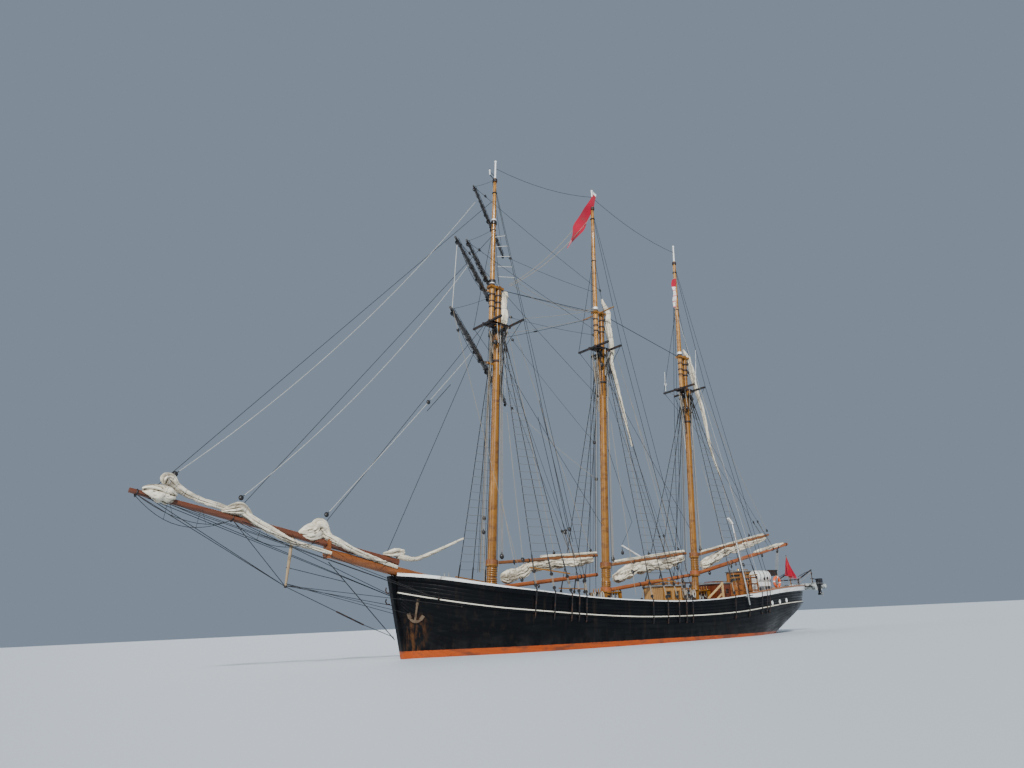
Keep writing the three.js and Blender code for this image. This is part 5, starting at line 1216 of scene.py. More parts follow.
def bundle_rings(rows, ties, seed, tight=0.3, droop=0.22, wild=1.0):
    """Rings of a lashed bundle through rows of [centre, half across, half up], with the painted shade of each
    point; ties are shares.
    """
    count = max(12, int(sum((b[0] - a[0]).length for a, b in zip(rows, rows[1:])) * RINGS_PER_METRE))
    last = len(rows) - 1
    centres = []
    for i in range(count + 1):
        place = i / count * last
        k = min(int(place), last - 1)
        near = [rows[min(max(j, 0), last)] for j in (k - 1, k, k + 1, k + 2)]
        t = place - k
        centres.append(Bundle(
            catmull(*[row[0] for row in near], t),
            max(0.012, catmull(*[row[1] for row in near], t)),
            max(0.012, catmull(*[row[2] for row in near], t)),
        ))
    path = [row.centre for row in centres]
    total = sum((b - a).length for a, b in zip(path, path[1:]))
    chance = random.Random(int(seed * 10))
    grips = [(tie, tight * chance.uniform(0.25, 1.0)) for tie in ties]
    rings = []
    soil_and_shade = []
    along = 0.0
    for i, row in enumerate(centres):
        tangent = (path[min(i + 1, count)] - path[max(i - 1, 0)]).normalized()
        side = (Vector(TO_PORT) - tangent * tangent.y).normalized()
        up = tangent.cross(side) * -1
        along += (row.centre - path[i - 1]).length if i else 0
        pinch = max([grip * math.exp(-((along - tie * total) / TIE_WIDTH) ** 2)
                     for tie, grip in grips] or [0])
        gaps = [abs(along - tie * total) for tie in ties] or [0]
        slack = droop * clamp(min(gaps) / 0.3)
        ring = []
        for j in range(BUNDLE_SIDES):
            angle = 2 * math.pi * j / BUNDLE_SIDES
            c, s = math.cos(angle), math.sin(angle)
            fold = fold_depth(angle, along, seed, wild)
            size = max(0.3, 1 + fold) * (1 - pinch * (1.0 if s < 0 else 0.35))
            sag = 1 + (slack * -s if s < 0 else 0)
            ring.append(row.centre + side * (c * size * row.across) + up * (s * size * sag * row.up))
            # Painted shade for each point: darker in the fold valleys and on the bundle's underside.
            below = 0.45 * clamp((-s - 0.55) / 0.45)
            soil_and_shade.append((FOLD_MARK + clamp((-fold - 0.04) / 0.26) + below, 0.0, 0.0))
        rings.append(ring)
    return rings, soil_and_shade


def furl(name, rows, ties, seed, node_name=None, body=SHIP, look="canvas", tight=0.3, droop=0.22,
         wild=1.0):
    """A furled sail with its lashings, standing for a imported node."""
    rings, soil_and_shade = bundle_rings(rows, ties, seed, tight, droop, wild)
    shape = Shape(look)
    for at in (0, -1):
        middle = sum(rings[at], Vector()) / BUNDLE_SIDES
        close = [middle.lerp(p, 0.35) for p in rings[at]]
        rings = [close] + rings if at == 0 else rings + [close]
    # The lay of the cloth's points carries their painted shade.
    shape.loft(rings, lay=soil_and_shade[:BUNDLE_SIDES] + soil_and_shade + soil_and_shade[-BUNDLE_SIDES:])
    for tie in ties:
        ring = rings[1 + min(int(tie * (len(rings) - 3)), len(rings) - 3)]
        middle = sum(ring, Vector()) / BUNDLE_SIDES
        grown = [p + (p - middle).normalized() * 0.004 for p in ring]
        shape.tube(grown + grown[:2], 0.0065, 5, "white_rope")
    made = shape.piece(name, body, "canvas", [node_name] if node_name else (), angle=60)
    return made


SPANKER_COLUMNS = ("boom", "boom_length", "boom_radius", "gaff", "gaff_length", "gaff_radius")
Spanker = namedtuple("Spanker", SPANKER_COLUMNS)
SPANKERS = {
    "fore": Spanker((1.543, 2.123), 3.560, 0.054, (2.155, 2.640), 3.560, 0.046),
    "main": Spanker((1.440, 2.080), 3.440, 0.056, (2.109, 2.714), 3.300, 0.046),
    "mizzen": Spanker((1.878, 3.189), 4.704, 0.062, (2.418, 3.398), 3.730, 0.048),
}
SPAR_START = 0.0226
FurlRow = namedtuple("FurlRow", "along drop half_across half_up")
FURLS = {
    "fore": [FurlRow(*row) for row in (
        (0.045, 0.33, 0.060, 0.085), (0.11, 0.34, 0.125, 0.150), (0.21, 0.27, 0.135, 0.150),
        (0.34, 0.06, 0.125, 0.125), (0.60, 0.00, 0.120, 0.115), (0.82, 0.00, 0.110, 0.105),
        (0.95, 0.0, 0.06, 0.06),
    )],
    "main": [FurlRow(*row) for row in (
        (0.045, 0.33, 0.060, 0.085), (0.11, 0.32, 0.120, 0.150), (0.22, 0.24, 0.130, 0.160),
        (0.38, 0.10, 0.135, 0.165), (0.62, 0.06, 0.130, 0.160), (0.86, 0.03, 0.120, 0.140),
        (0.96, 0.0, 0.06, 0.075),
    )],
    "mizzen": [FurlRow(*row) for row in (
        (0.045, 0.30, 0.055, 0.080), (0.11, 0.30, 0.110, 0.135), (0.22, 0.20, 0.120, 0.135),
        (0.38, 0.02, 0.115, 0.115), (0.62, 0.00, 0.100, 0.100), (0.84, 0.00, 0.075, 0.075),
        (0.95, 0.0, 0.04, 0.036),
    )],
}
FURL_TIES = (0.16, 0.3, 0.44, 0.57, 0.7, 0.82, 0.92)
FURL_HUG = 0.014
GAFF_ROLLS = {"fore": (0.42, 0.99, 0.034), "main": (0.06, 0.97, 0.040), "mizzen": (0.05, 0.92, 0.030)}
SPANKER_BODY = "{}_boom_and_gaff"


def spar_height(name, spar, distance):
    """The height along the mast of a boom's or gaff's centre, at a distance abaft the mast."""
    heights, reach = getattr(SPANKERS[name], spar), getattr(SPANKERS[name], spar + "_length")
    start = MASTS[name].radius + SPAR_START
    return lerp(*heights, (distance - start) / (reach - start))


def on_spar(name, spar, share, lift=0.0, y=0.0):
    """A point over a boom or gaff at a share of its length from the mast."""
    reach = getattr(SPANKERS[name], spar + "_length")
    distance = lerp(MASTS[name].radius + SPAR_START, reach, share)
    return aloft(name, -distance, spar_height(name, spar, distance) + lift, y)


def build_spanker_sails():
    for seed, (name, rows) in enumerate(FURLS.items()):
        spanker = SPANKERS[name]
        near = MASTS[name].radius + 0.045
        table = []
        for row in rows:
            distance = lerp(near, spanker.gaff_length, row.along)
            under = spar_height(name, "gaff", distance) - spanker.gaff_radius + FURL_HUG
            over = spar_height(name, "boom", distance) + spanker.boom_radius + 0.008
            half = min(row.half_up, (under - over) / 2)
            height = max(under - max(row.drop, half), over + half)
            table.append((aloft(name, -distance, height), row.half_across, half))
        furl(f"{name}_sail_furled", table, FURL_TIES, seed * 7.3, f"{name}_sail", SPANKER_BODY.format(name),
             wild=1.5)

        start, end, half = GAFF_ROLLS[name]
        shares = [lerp(start, end, i / 6) for i in range(7)]
        lift = spanker.gaff_radius + half * 0.72
        table = [(on_spar(name, "gaff", t, lift), half * 1.15, half) for t in shares]
        ties = [i / 11 for i in range(1, 11)]
        furl(f"{name}_head_roll", table, ties, seed * 3.1 + 40, None, SPANKER_BODY.format(name), tight=0.2)


def build_boom_roll():
    """The foot of the mizzen sail, left lying along the outer half of its boom."""
    lift = SPANKERS["mizzen"].boom_radius + 0.012
    halves = (0.02, 0.05, 0.042, 0.055, 0.045, 0.05, 0.02)
    table = [(on_spar("mizzen", "boom", lerp(0.60, 0.95, i / 6), lift, 0.02), half * 1.2, half)
             for i, half in enumerate(halves)]
    furl("mizzen_foot_roll", table, (0.3, 0.6), 71.0, None, SPANKER_BODY.format("mizzen"), tight=0.2,
         wild=1.4)


def jib_boom_top(x):
    radii = (0.084, 0.082, 0.077, 0.066, 0.052)
    place = clamp((x - 7.33) / (13.255 - 7.33)) * 4
    k = min(int(place), 3)
    return 2.165 + (x - 7.5) * 0.229 + lerp(radii[k], radii[k + 1], place - k)


STAYS = {
    "flying_jib": {"foot": 12.91, "head": (0.22, 12.35), "short": 0.105},
    "outer_jib": {"foot": 11.22, "head": (0.22, 11.23), "short": 0.12},
    "inner_jib": {"foot": 9.42, "head": (0.38, 8.515), "short": 0.014},
    "forestaysail": {"foot": 7.66, "head": (0.38, 8.46), "short": 0.014},
}
# Rows of a headsail: place along the ship, side, height over the jib-boom, half widths
HEADSAILS = {
    "flying_jib": (
        ((13.02, 0.03, 0.02, 0.05, 0.05), (12.90, 0.06, 0.05, 0.12, 0.12), (12.74, 0.07, 0.06, 0.16, 0.17),
         (12.56, 0.07, 0.04, 0.15, 0.19), (12.40, 0.06, 0.02, 0.08, 0.09)),
        ((12.60, 0.01, 0.24, 0.06, 0.05), (12.58, 0.01, 0.33, 0.135, 0.125), (12.50, 0.01, 0.35, 0.13, 0.12),
         (12.38, 0.02, 0.26, 0.10, 0.09), (12.15, 0.03, 0.16, 0.075, 0.075),
         (11.8, 0.03, 0.10, 0.062, 0.062),
         (11.3, 0.03, 0.085, 0.055, 0.055)),
    ),
    "outer_jib": (
        ((11.46, 0.03, 0.0, 0.03, 0.03), (11.34, 0.04, 0.05, 0.08, 0.08), (11.20, 0.05, 0.10, 0.12, 0.13),
         (11.08, 0.05, 0.15, 0.12, 0.15), (10.95, 0.05, 0.12, 0.10, 0.12), (10.84, 0.05, 0.08, 0.05, 0.05)),
        ((11.0, 0.05, 0.08, 0.08, 0.08), (10.72, 0.09, -0.05, 0.08, 0.08), (10.35, 0.13, -0.16, 0.07, 0.07),
         (9.98, 0.13, -0.26, 0.06, 0.06), (9.50, 0.12, -0.28, 0.05, 0.05), (9.05, 0.11, -0.29, 0.04, 0.04)),
    ),
    "inner_jib": (
        ((9.78, 0.03, -0.02, 0.03, 0.03), (9.62, 0.04, 0.03, 0.10, 0.12), (9.42, 0.04, 0.11, 0.13, 0.17),
         (9.28, 0.04, 0.23, 0.08, 0.20), (9.14, 0.04, 0.11, 0.09, 0.12), (9.02, 0.05, 0.04, 0.05, 0.06)),
        ((9.15, 0.06, 0.06, 0.08, 0.08), (8.9, 0.09, 0.0, 0.09, 0.085), (8.5, 0.11, -0.10, 0.075, 0.07),
         (8.05, 0.11, -0.16, 0.06, 0.055), (7.70, 0.11, -0.19, 0.05, 0.045),
         (7.40, 0.10, -0.21, 0.04, 0.04)),
    ),
    "forestaysail": (
        ((7.70, 0.0, 0.03, 0.04, 0.03), (7.56, 0.02, 0.062, 0.085, 0.07), (7.40, 0.02, 0.12, 0.10, 0.11),
         (7.26, 0.02, 0.16, 0.07, 0.09), (7.16, 0.01, 0.21, 0.03, 0.05)),
        ((7.35, 0.02, 0.07, 0.08, 0.07), (7.1, 0.02, 0.07, 0.065, 0.06), (6.85, 0.01, 0.12, 0.05, 0.05),
         (6.5, 0.0, 0.30, 0.045, 0.045), (6.0, 0.0, 0.60, 0.036, 0.036), (5.49, 0.0, 0.93, 0.024, 0.024)),
    ),
}
HEADSAIL_TIES = {"flying_jib": (0.68,), "outer_jib": (0.75,), "inner_jib": (0.72,), "forestaysail": (0.5,)}
TAIL_TIES = (0.22, 0.36, 0.5, 0.64, 0.78, 0.92)


def build_headsails():
    for seed, (name, (lump, tail)) in enumerate(HEADSAILS.items()):
        table = [[(Vector((x, y, jib_boom_top(x) + z)), a, b) for x, y, z, a, b in rows]
                 for rows in (lump, tail)]
        furl(f"{name}_bunt", table[0], HEADSAIL_TIES[name], seed * 5.7 + 11, name, tight=0.22, droop=0.1,
             wild=1.5)
        furl(f"{name}_tail", table[1], TAIL_TIES, seed * 2.9 + 23, None, tight=0.25, droop=0.1)


TopsailRow = namedtuple("TopsailRow", "height clear half_length half_width")
TOPSAIL_ASIDE = {"fore": 0.0, "main": 0.104, "mizzen": 0.0}
TOPSAILS = {
    "fore": [TopsailRow(*row) for row in (
        (8.56, 0.10, 0.06, 0.07), (8.66, 0.086, 0.11, 0.11), (8.85, 0.086, 0.13, 0.12),
        (9.05, 0.0848, 0.10, 0.11),
        (9.25, 0.084, 0.10, 0.11), (9.45, 0.084, 0.12, 0.12), (9.56, 0.10, 0.09, 0.09),
    )],
    "main": [TopsailRow(*row) for row in (
        (5.62, 1.03, 0.018, 0.022), (6.4, 0.771, 0.034, 0.038), (7.3, 0.47, 0.052, 0.056),
        (8.01, 0.24, 0.065, 0.064),
        (8.35, 0.2306, 0.075, 0.074), (8.6, 0.2306, 0.072, 0.074), (9.1, 0.1107, 0.09, 0.092),
        (9.45, 0.1107, 0.07, 0.07), (9.65, 0.1107, 0.075, 0.08), (9.9, -0.06, 0.055, 0.055),
        (10.05, -0.09, 0.022, 0.022),
    )],
    "mizzen": [TopsailRow(*row) for row in (
        (5.052, 1.417, 0.018, 0.020), (5.855, 1.04, 0.035, 0.038), (7.015, 0.75, 0.056, 0.06),
        (7.744, 0.45, 0.07, 0.07), (8.4, 0.24, 0.08, 0.08), (8.69, 0.1107, 0.075, 0.076),
        (8.79, 0.1107, 0.07, 0.07), (8.919, -0.004, 0.05, 0.053), (9.05, -0.066, 0.022, 0.022),
    )],
}
TOPSAIL_TIES = {"fore": (0.2, 0.5, 0.8), "main": (0.1, 0.22, 0.34, 0.46, 0.56, 0.66, 0.8, 0.88),
                "mizzen": (0.12, 0.24, 0.36, 0.48, 0.6, 0.72, 0.86)}


def build_topsails():
    for seed, (name, rows) in enumerate(TOPSAILS.items()):
        aside = TOPSAIL_ASIDE[name]
        table = [(aloft(name, -row.clear - row.half_length, row.height, aside), row.half_width,
                  row.half_length)
                 for row in rows]
        furl(f"{name}_topsail_furled", table, TOPSAIL_TIES[name], seed * 4.1 + 61, f"{name}_topsail",
             droop=0.0,
             look="upright_canvas")


# Standing rigging

SHROUD_FEET = {"fore": (4.625, 4.12, 3.635), "main": (0.975, 0.435, 0.015), "mizzen": (-2.36, -3.03, -3.70)}
BACKSTAY_FEET = {"fore": (3.42, 3.20), "main": (-0.27, -0.52), "mizzen": (-3.98, -4.15)}
DEADEYES = {"lower": 0.10, "upper": 0.42}
DEADEYE = ((0.012, -0.02), (0.042, -0.012), (0.03864, 0), (0.042, 0.012), (0.012, 0.02))
SHEER_POLE = 0.50
LADDER_TOP = 0.55
RAIL_STAND_OFF = 0.035


def shroud_foot(x, side, above=0.0):
    """Where a shroud comes down to the outer edge of the rail."""
    s = station(x)
    return skin(x, s.rail, side, RAIL_STAND_OFF) + rises(above)


def at_height(start, end, z):
    return start.lerp(end, (z - start.z) / (end.z - start.z))


def deadeye_pair(shape, lower, upper, axis):
    """Two deadeyes with the three turns of lanyard between them."""
    for centre in (lower, upper):
        shape.turned(DEADEYE, centre, axis, 14, "spar_black")
    along = (upper - lower).normalized()
    across = axis.cross(along).normalized()
    for i in (-1, 0, 1):
        offset = across * (i * 0.018)
        shape.tube([lower + offset, upper + offset], 0.0045, 5, "hemp_rope")


def build_shrouds():
    thick = sizes().shroud
    for name, feet in SHROUD_FEET.items():
        mast = MASTS[name]
        shape = Shape("tarred_rope")
        iron = Shape("iron_black")
        for side in SIDES.values():
            ladder = []
            for i, x in enumerate(feet):
                top = aloft(name, 0.02 - 0.03 * i, mast.trestle - 0.07 + 0.015 * i,
                            side * (mast.radius + 0.015))
                foot = shroud_foot(x, side)
                lower = at_height(foot, top, foot.z + DEADEYES["lower"])
                upper = at_height(foot, top, foot.z + DEADEYES["upper"])
                served = at_height(foot, top, mast.trestle - 1.0)
                shape.tube([upper, served], thick, 6)
                shape.tube([served, top], thick * 1.7, 6)
                shape.tube([upper, upper.lerp(top, 0.06)], thick * 1.8, 6)
                deadeye_pair(shape, lower, upper, skin_normal(x, foot.z, side))
                chainplate(iron, x, side, lower)
                ladder.append((upper, top))
            pole = [at_height(*line, line[0].z + SHEER_POLE - DEADEYES["upper"]) for line in ladder]
            ends = [pole[0] + (pole[0] - pole[-1]).normalized() * 0.1,
                    pole[-1] + (pole[-1] - pole[0]).normalized() * 0.1]
            shape.beam(*ends, 0.022, 0.03, look="long_varnish")
            ratlines(shape, ladder)
            top_collar = [aloft(name, 0, mast.trestle - 0.03 - 0.022 * k) for k in range(9)]
            for k, centre in enumerate(top_collar if side > 0 else ()):
                shape.hoop(centre, MAST_AXIS, mast.radius + 0.012, 0.015)
        for x in BACKSTAY_FEET[name]:
            for side in SIDES.values():
                foot = shroud_foot(x, side)
                lower = foot + rises(DEADEYES["lower"])
                upper = foot + Vector((0, -side * 0.02, DEADEYES["upper"] - 0.06))
                deadeye_pair(shape, lower, upper, skin_normal(x, foot.z, side))
                chainplate(iron, x, side, lower)
        shape.piece(f"{name}_shrouds",
                    slot="black_paint", angle=50)
        iron.piece(f"{name}_chainplates", slot="iron")


def chainplate(shape, x, side, deadeye):
    """An iron strap from a deadeye down over the outside of the rail and the rub rail."""
    s = station(x)
    places = [
        deadeye - rises(0.04), skin(x, s.rail + 0.015, side, 0.056),
        skin(x, s.rail - cap_depth(x), side, 0.054),
        skin(x, s.rub + 0.05, side, 0.040), skin(x, s.rub - 0.01, side, 0.042),
        skin(x, s.rub - 0.16, side, 0.010),
    ]
    for a, b in zip(places, places[1:]):
        shape.beam(a, b, 0.03, 0.012, up=skin_normal(x, s.rub, side))
    normal = skin_normal(x, s.rub, side)
    for z in (s.rub + 0.12, s.rub - 0.13):
        at = skin(x, z, side, 0.02)
        shape.turned([[0.011, 0], [0.011, 0.018], [0.006, 0.026]], at, normal, 8)


def ratlines(shape, ladder):
    """Rungs of thin rope across the shrouds, sagging a little in each bay."""
    step = sizes().ratline_step
    z = ladder[0][0].z + SHEER_POLE - DEADEYES["upper"] + step
    top = min(line[1].z for line in ladder) - LADDER_TOP
    while z < top:
        hooks = [at_height(*line, z) for line in ladder]
        for a, b in zip(hooks, hooks[1:]):
            shape.rope(a, b, 0.012 + 0.006 * noise.noise(a * 3), sizes().ratline, "ratline_rope", steps=4)
        for hook in hooks:
            shape.ball(hook, sizes().shroud * 1.7, "ratline_rope", 4, 6)
        z += step


# How high each topmast's outer and inner shrouds are made fast, and where the crosstrees' tips are:
# how far aft, half the span of the after tips and of the fore ones
TOPMAST_HEADS = {"fore": (12.55, 11.35), "main": (12.75, 11.3), "mizzen": (11.75, 10.4)}
CROSSTREES = {"fore": (-0.28, 0.79, 0.64), "main": (-0.17, 0.66, 0.65), "mizzen": (-0.17, 0.66, 0.65)}
RUNGS = {"top": 11.12, "step": 0.335, "count": 5}


def build_topmast_rigging():
    stay = sizes().stay
    for name, mast in MASTS.items():
        upper, middle = TOPMAST_HEADS[name]
        aft_x, aft_tip, fore_tip = CROSSTREES[name]
        height = mast.trestle + 0.075
        shape = Shape("tarred_rope")
        for side in SIDES.values():
            head = on_topmast(name, upper, side * 0.05)
            tip = aloft(name, aft_x, height, side * aft_tip)
            foot = shroud_foot(BACKSTAY_FEET[name][0], side, DEADEYES["upper"] - 0.06)
            shape.tube([head, tip, foot], stay, 6)
            second = on_topmast(name, middle, side * 0.055)
            inner = aloft(name, mast.offset + 0.13, height, side * fore_tip)
            shape.tube([second, inner], stay * 0.9, 6)
            foot = shroud_foot(BACKSTAY_FEET[name][1], side, DEADEYES["upper"] - 0.06)
            third = on_topmast(name, upper, side * 0.045) + MAST_AXIS * 0.12
            shape.tube([third, foot], stay * 0.85, 6)
            futtock = aloft(name, 0.0, mast.trestle - 0.85, side * (mast.radius + 0.01))
            shape.tube([tip, futtock], stay * 0.9, 6)
            shape.tube([inner, aloft(name, 0.05, mast.trestle - 0.8, side * (mast.radius + 0.01))],
                       stay * 0.9, 6)
            if name == "fore":
                for i in range(RUNGS["count"]):
                    z = aloft(name, 0, RUNGS["top"] - i * RUNGS["step"]).z
                    shape.tube([at_height(second, inner, z), at_height(head, tip, z)], 0.0085, 6,
                               look="white_rope")
        for z in (upper, middle):
            shape.hoop(on_topmast(name, z), MAST_AXIS, 0.062, 0.014)
        shape.piece(f"{name}_topmast_rigging", slot="black_paint", angle=50)


def build_stays():
    """Headstays, the stays between the masts and the light lines from truck to truck."""
    thick = sizes().stay
    shape = Shape("tarred_rope")
    for name, stay in STAYS.items():
        foot = Vector((stay["foot"], 0, jib_boom_top(stay["foot"]) - 0.03))
        head = aloft("fore", *stay["head"])
        shape.tube([foot, head + (foot - head).normalized() * stay["short"]], thick, 6)
    cap = aloft("fore", -0.12, MASTS["fore"].cap - 0.03)
    spread = aloft("main", 0.18, 9.55)
    shape.rope(aloft("fore", -0.28, 8.55, 0.78), aloft("main", 0.125, 9.60, 0.66), 0.05, 0.005, "hemp_rope")
    shape.rope(aloft("fore", -0.28, 8.55, -0.78), aloft("main", 0.125, 9.60, -0.66), 0.05, 0.005,
               "hemp_rope")
    spindle = hang(aloft("fore", -0.3, 8.25), aloft("main", 0.2, 9.45), 0.02, 10)
    shape.tube(spindle, 0.006, 5)
    shape.turned([[0.004, -0.10], [0.022, -0.02], [0.024, 0.05], [0.004, 0.12]], spindle[3],
                 (spindle[4] - spindle[2]), 8)
    trucks = {name: on_topmast(name, mast.truck - 0.25) for name, mast in MASTS.items()}
    shape.rope(trucks["fore"], trucks["main"], 0.18, 0.006)
    shape.rope(trucks["main"], trucks["mizzen"], 0.18, 0.006)
    shape.rope(on_topmast("main", 12.9), aloft("fore", -0.25, 9.7, 0.2), 0.25, 0.008, "hemp_rope")
    shape.rope(on_topmast("main", 9.75), aloft("fore", -0.25, 9.75, 0.25), 0.35, 0.006, "hemp_rope")
    for name, ahead in (("main", "fore"), ("mizzen", "main")):
        shape.rope(aloft(ahead, -0.15, 7.6), aloft(name, 0.12, 3.2), 0.02, 0.006)
    shape.tube([cap, spread], 0.004, 5)
    shape.piece("stays", slot="black_paint", angle=50)


STRIKER_FOOT = Vector((10.03, 0, 1.62))
BOW_RIG = {"guy_foot": 6.69, "back_foot": 6.25, "stem_x": 7.42, "stem_z": 0.42, "cap_x": 9.06}


GUYS, MARTINGALES, BANDS_AT = (13.1, 12.7, 11.15), (13.12, 12.9, 11.22), (13.12, 11.22, 9.42)
HULL_EYE = ((0.02, -0.01), (0.026, 0.01), (0.014, 0.03))
BOW_EYE = (7.1, 0.95)
STEM_EYES = {"x": 7.62, "heights": (1.45, 1.2)}
# Footropes under the jib-boom: start, end and sag, and how far they spread from the middle
FOOTROPES = ((13.15, 11.2, 0.33), (11.2, 9.3, 0.26), (9.2, 7.5, 0.16))
FOOTROPE_SPREAD = 0.28
BOOM_SLOPE = 0.229


def on_jib_boom(x, drop=0.06, y=0.0):
    """A point under the top of the jib-boom."""
    return Vector((x, y, jib_boom_top(x) - drop))


def side_guys(shape, side, thick):
    """The guys, the backrope and their eyes on the hull at one side."""
    foot, back = BOW_RIG["guy_foot"], BOW_RIG["back_foot"]
    s = station(foot)
    rub = skin(foot, s.rub + 0.035, side, 0.04)
    for x in GUYS:
        shape.tube([on_jib_boom(x, 0.08, side * 0.04), rub], thick * 0.9, 6)
    low = skin(back, station(back).rub - 0.06, side, 0.015)
    shape.tube([STRIKER_FOOT + Vector((0, side * 0.02, 0.02)), low], thick * 0.9, 6)
    bow_eye = skin(*BOW_EYE, side, 0.01)
    shape.tube([STRIKER_FOOT + Vector((0, side * 0.02, 0.06)), bow_eye], thick * 0.8, 6)
    for place, normal in ((rub, skin_normal(foot, s.rub, side)), (low, skin_normal(back, s.rub, side))):
        shape.turned(HULL_EYE, place, normal, 8, "iron_black")


def boom_footropes(shape, side):
    """Footropes under the jib-boom at one side, with the short lines that hold them up."""
    for start, end, sag in FOOTROPES:
        path = hang(on_jib_boom(start, 0.1, side * 0.05), on_jib_boom(end, 0.1, side * 0.06), sag, 12)
        spread = [Vector((0, side * FOOTROPE_SPREAD * math.sin(math.pi * i / 12), 0)) for i in range(13)]
        shape.tube([p + out for p, out in zip(path, spread)], 0.0065, 5)
        for k in (4, 8):
            held = on_jib_boom(lerp(start, end, k / 12), 0.05, side * 0.04)
            shape.tube([path[k] + spread[k], held], THREAD, 5)


def bobstays(shape, thick):
    """The bobstay from the bowsprit's cap and the chain from the dolphin striker to the stem."""
    stem = Vector((BOW_RIG["stem_x"], 0, BOW_RIG["stem_z"]))
    cap_under = on_jib_boom(BOW_RIG["cap_x"], 0.47)
    shape.tube([cap_under, stem], thick * 1.3, 6)
    shape.tube([STRIKER_FOOT + rises(0.4), cap_under.lerp(stem, 0.25)], thick, 6)
    middle, lower = (STRIKER_FOOT.lerp(stem, share) for share in (0.45, 0.7))
    shape.tube([STRIKER_FOOT, middle], thick, 6)
    shape.tube([middle, lower], thick * 2.4, 8, "iron_black")
    shape.tube([lower, stem + Vector((0.02, 0, 0.06))], thick, 6)
    for z in STEM_EYES["heights"]:
        at = Vector((STEM_EYES["x"], 0, z))
        hook = [at + Vector((x, 0, rise)) for x, rise in ((-0.08, 0), (0, 0), (0.03, 0.06), (0.01, 0.12))]
        shape.tube(hook, 0.016, 6, "iron_black")


def build_bow_rigging():
    """Guys, martingales, backropes, bobstays and the footropes under the jib-boom."""
    thick = sizes().stay
    shape = Shape("tarred_rope")
    for side in SIDES.values():
        side_guys(shape, side, thick)
        boom_footropes(shape, side)
    for x in MARTINGALES:
        shape.tube([on_jib_boom(x, 0.1), STRIKER_FOOT], thick, 6)
    bobstays(shape, thick)
    shape.ball(STRIKER_FOOT, (0.035, 0.035, 0.03), "iron_black")
    for x in BANDS_AT:
        shape.hoop(on_jib_boom(x, 0.075), (1, 0, BOOM_SLOPE), 0.075, 0.014, look="iron_black")
    shape.piece("bow_rigging", slot="black_paint", angle=50)


def hoops_and_bands():
    """Wooden hoops stacked on the masts, and the iron bands that the gear hooks to."""
    shape = Shape("iron_black")
    for name, mast in MASTS.items():
        spanker = SPANKERS[name]
        stacked = [spanker.gaff[0] - 0.11 - 0.055 * i for i in range(5)]
        stacked += [spanker.boom[0] + 0.10 + 0.05 * i for i in range(3)]
        for z in stacked:
            shape.hoop(aloft(name, -0.012, z), MAST_AXIS, mast.radius + 0.016, 0.011, height=1.5,
                       look="upright_varnish")
        for z in (1.25, mast.trestle - 1.0):
            shape.hoop(aloft(name, 0, z), MAST_AXIS, mast.radius - 0.001, 0.012, height=2.5, steps=24)
        for z in (mast.cap - 0.62, mast.cap - 0.45, mast.cap - 0.25):
            shape.hoop(aloft(name, 0, z), MAST_AXIS, 0.083, 0.012, height=2.2)
            shape.hoop(on_topmast(name, z), MAST_AXIS, 0.071, 0.010, height=2.0)
    shape.piece("mast_hoops_and_bands", slot="black_paint", angle=50)


# Running rigging

def pulley(shape, at, along, size, look="spar_black", strop="tarred_rope"):
    """A wooden block with its sheave and rope strop, hanging along a direction."""
    at, along = Vector(at), Vector(along).normalized()
    side, up = frames_along([at, at + along])[0]
    shape.ball(at, (size * 0.5, size * 0.78, size), look, 6, 8, (side, up, along))
    shape.hoop(at, side, size * 0.86, size * 0.14, 5, 12, strop)
    shape.tube([at + along * size * 0.9, at + along * size * 1.6], size * 0.16, 5, strop)


def falls(shape, start, end, parts, radius, spread=0.03):
    """The parts of a tackle between two blocks."""
    across = (Vector(end) - Vector(start)).cross(Vector((1, 0.3, 0))).normalized()
    for i in range(parts):
        offset = across * ((i - (parts - 1) / 2) * spread)
        shape.rope(Vector(start) + offset, Vector(end) + offset, 0.0, radius, steps=6)


def between_bodies(name, shape):
    """Gear that is fast to the ship at one end and to a moving spar at the other."""
    made = shape.piece(name, body=None, slot="steel_wire", angle=50)
    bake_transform(made)


# Shares of the gaff where the peak halyard's legs are fast, and of the boom for its lifts
PEAK_LEGS = {"fore": (0.55, 0.93), "main": (0.5, 0.9), "mizzen": (0.72, 0.985)}
LIFT_SHARE = 0.82
SHEETS = {"fore": (0.86, (1.42, 0, 0.72)), "main": (0.9, (-2.46, 0, 0.72)),
          "mizzen": (0.88, (-6.72, 0, 0.95))}


BOOM_BANDS = (LIFT_SHARE, 0.35, 0.985)
GAFF_BANDS = (0.3, 0.62, 0.96)
BOOM_BLOCKS = ((0.12, 0.06), (0.4, 0.045), (0.7, 0.05))


def throat_halyard(name, mast, gaff_radius, thick):
    shape = Shape("hemp_rope")
    top = aloft(name, -mast.radius - 0.03, mast.trestle - 0.35)
    low = on_spar(name, "gaff", 0.05, gaff_radius + 0.10)
    falls(shape, low, top, 3, thick)
    pulley(shape, low, top - low, 0.07)
    pulley(shape, top, low - top, 0.07)
    between_bodies(f"{name}_throat_halyard", shape)


def peak_halyards(name, mast, gaff_radius, thick):
    for i, share in enumerate(PEAK_LEGS[name]):
        shape = Shape("hemp_rope")
        top = aloft(name, -mast.radius - 0.02, mast.cap - 0.42 + 0.3 * i)
        low = on_spar(name, "gaff", share, gaff_radius + 0.10)
        shape.rope(top, low, 0.03, thick, steps=14, sides=6)
        pulley(shape, top + Vector((-0.03, 0, -0.05)), low - top, 0.06)
        pulley(shape, low, top - low, 0.05)
        between_bodies(f"{name}_peak_halyard_{i + 1}", shape)


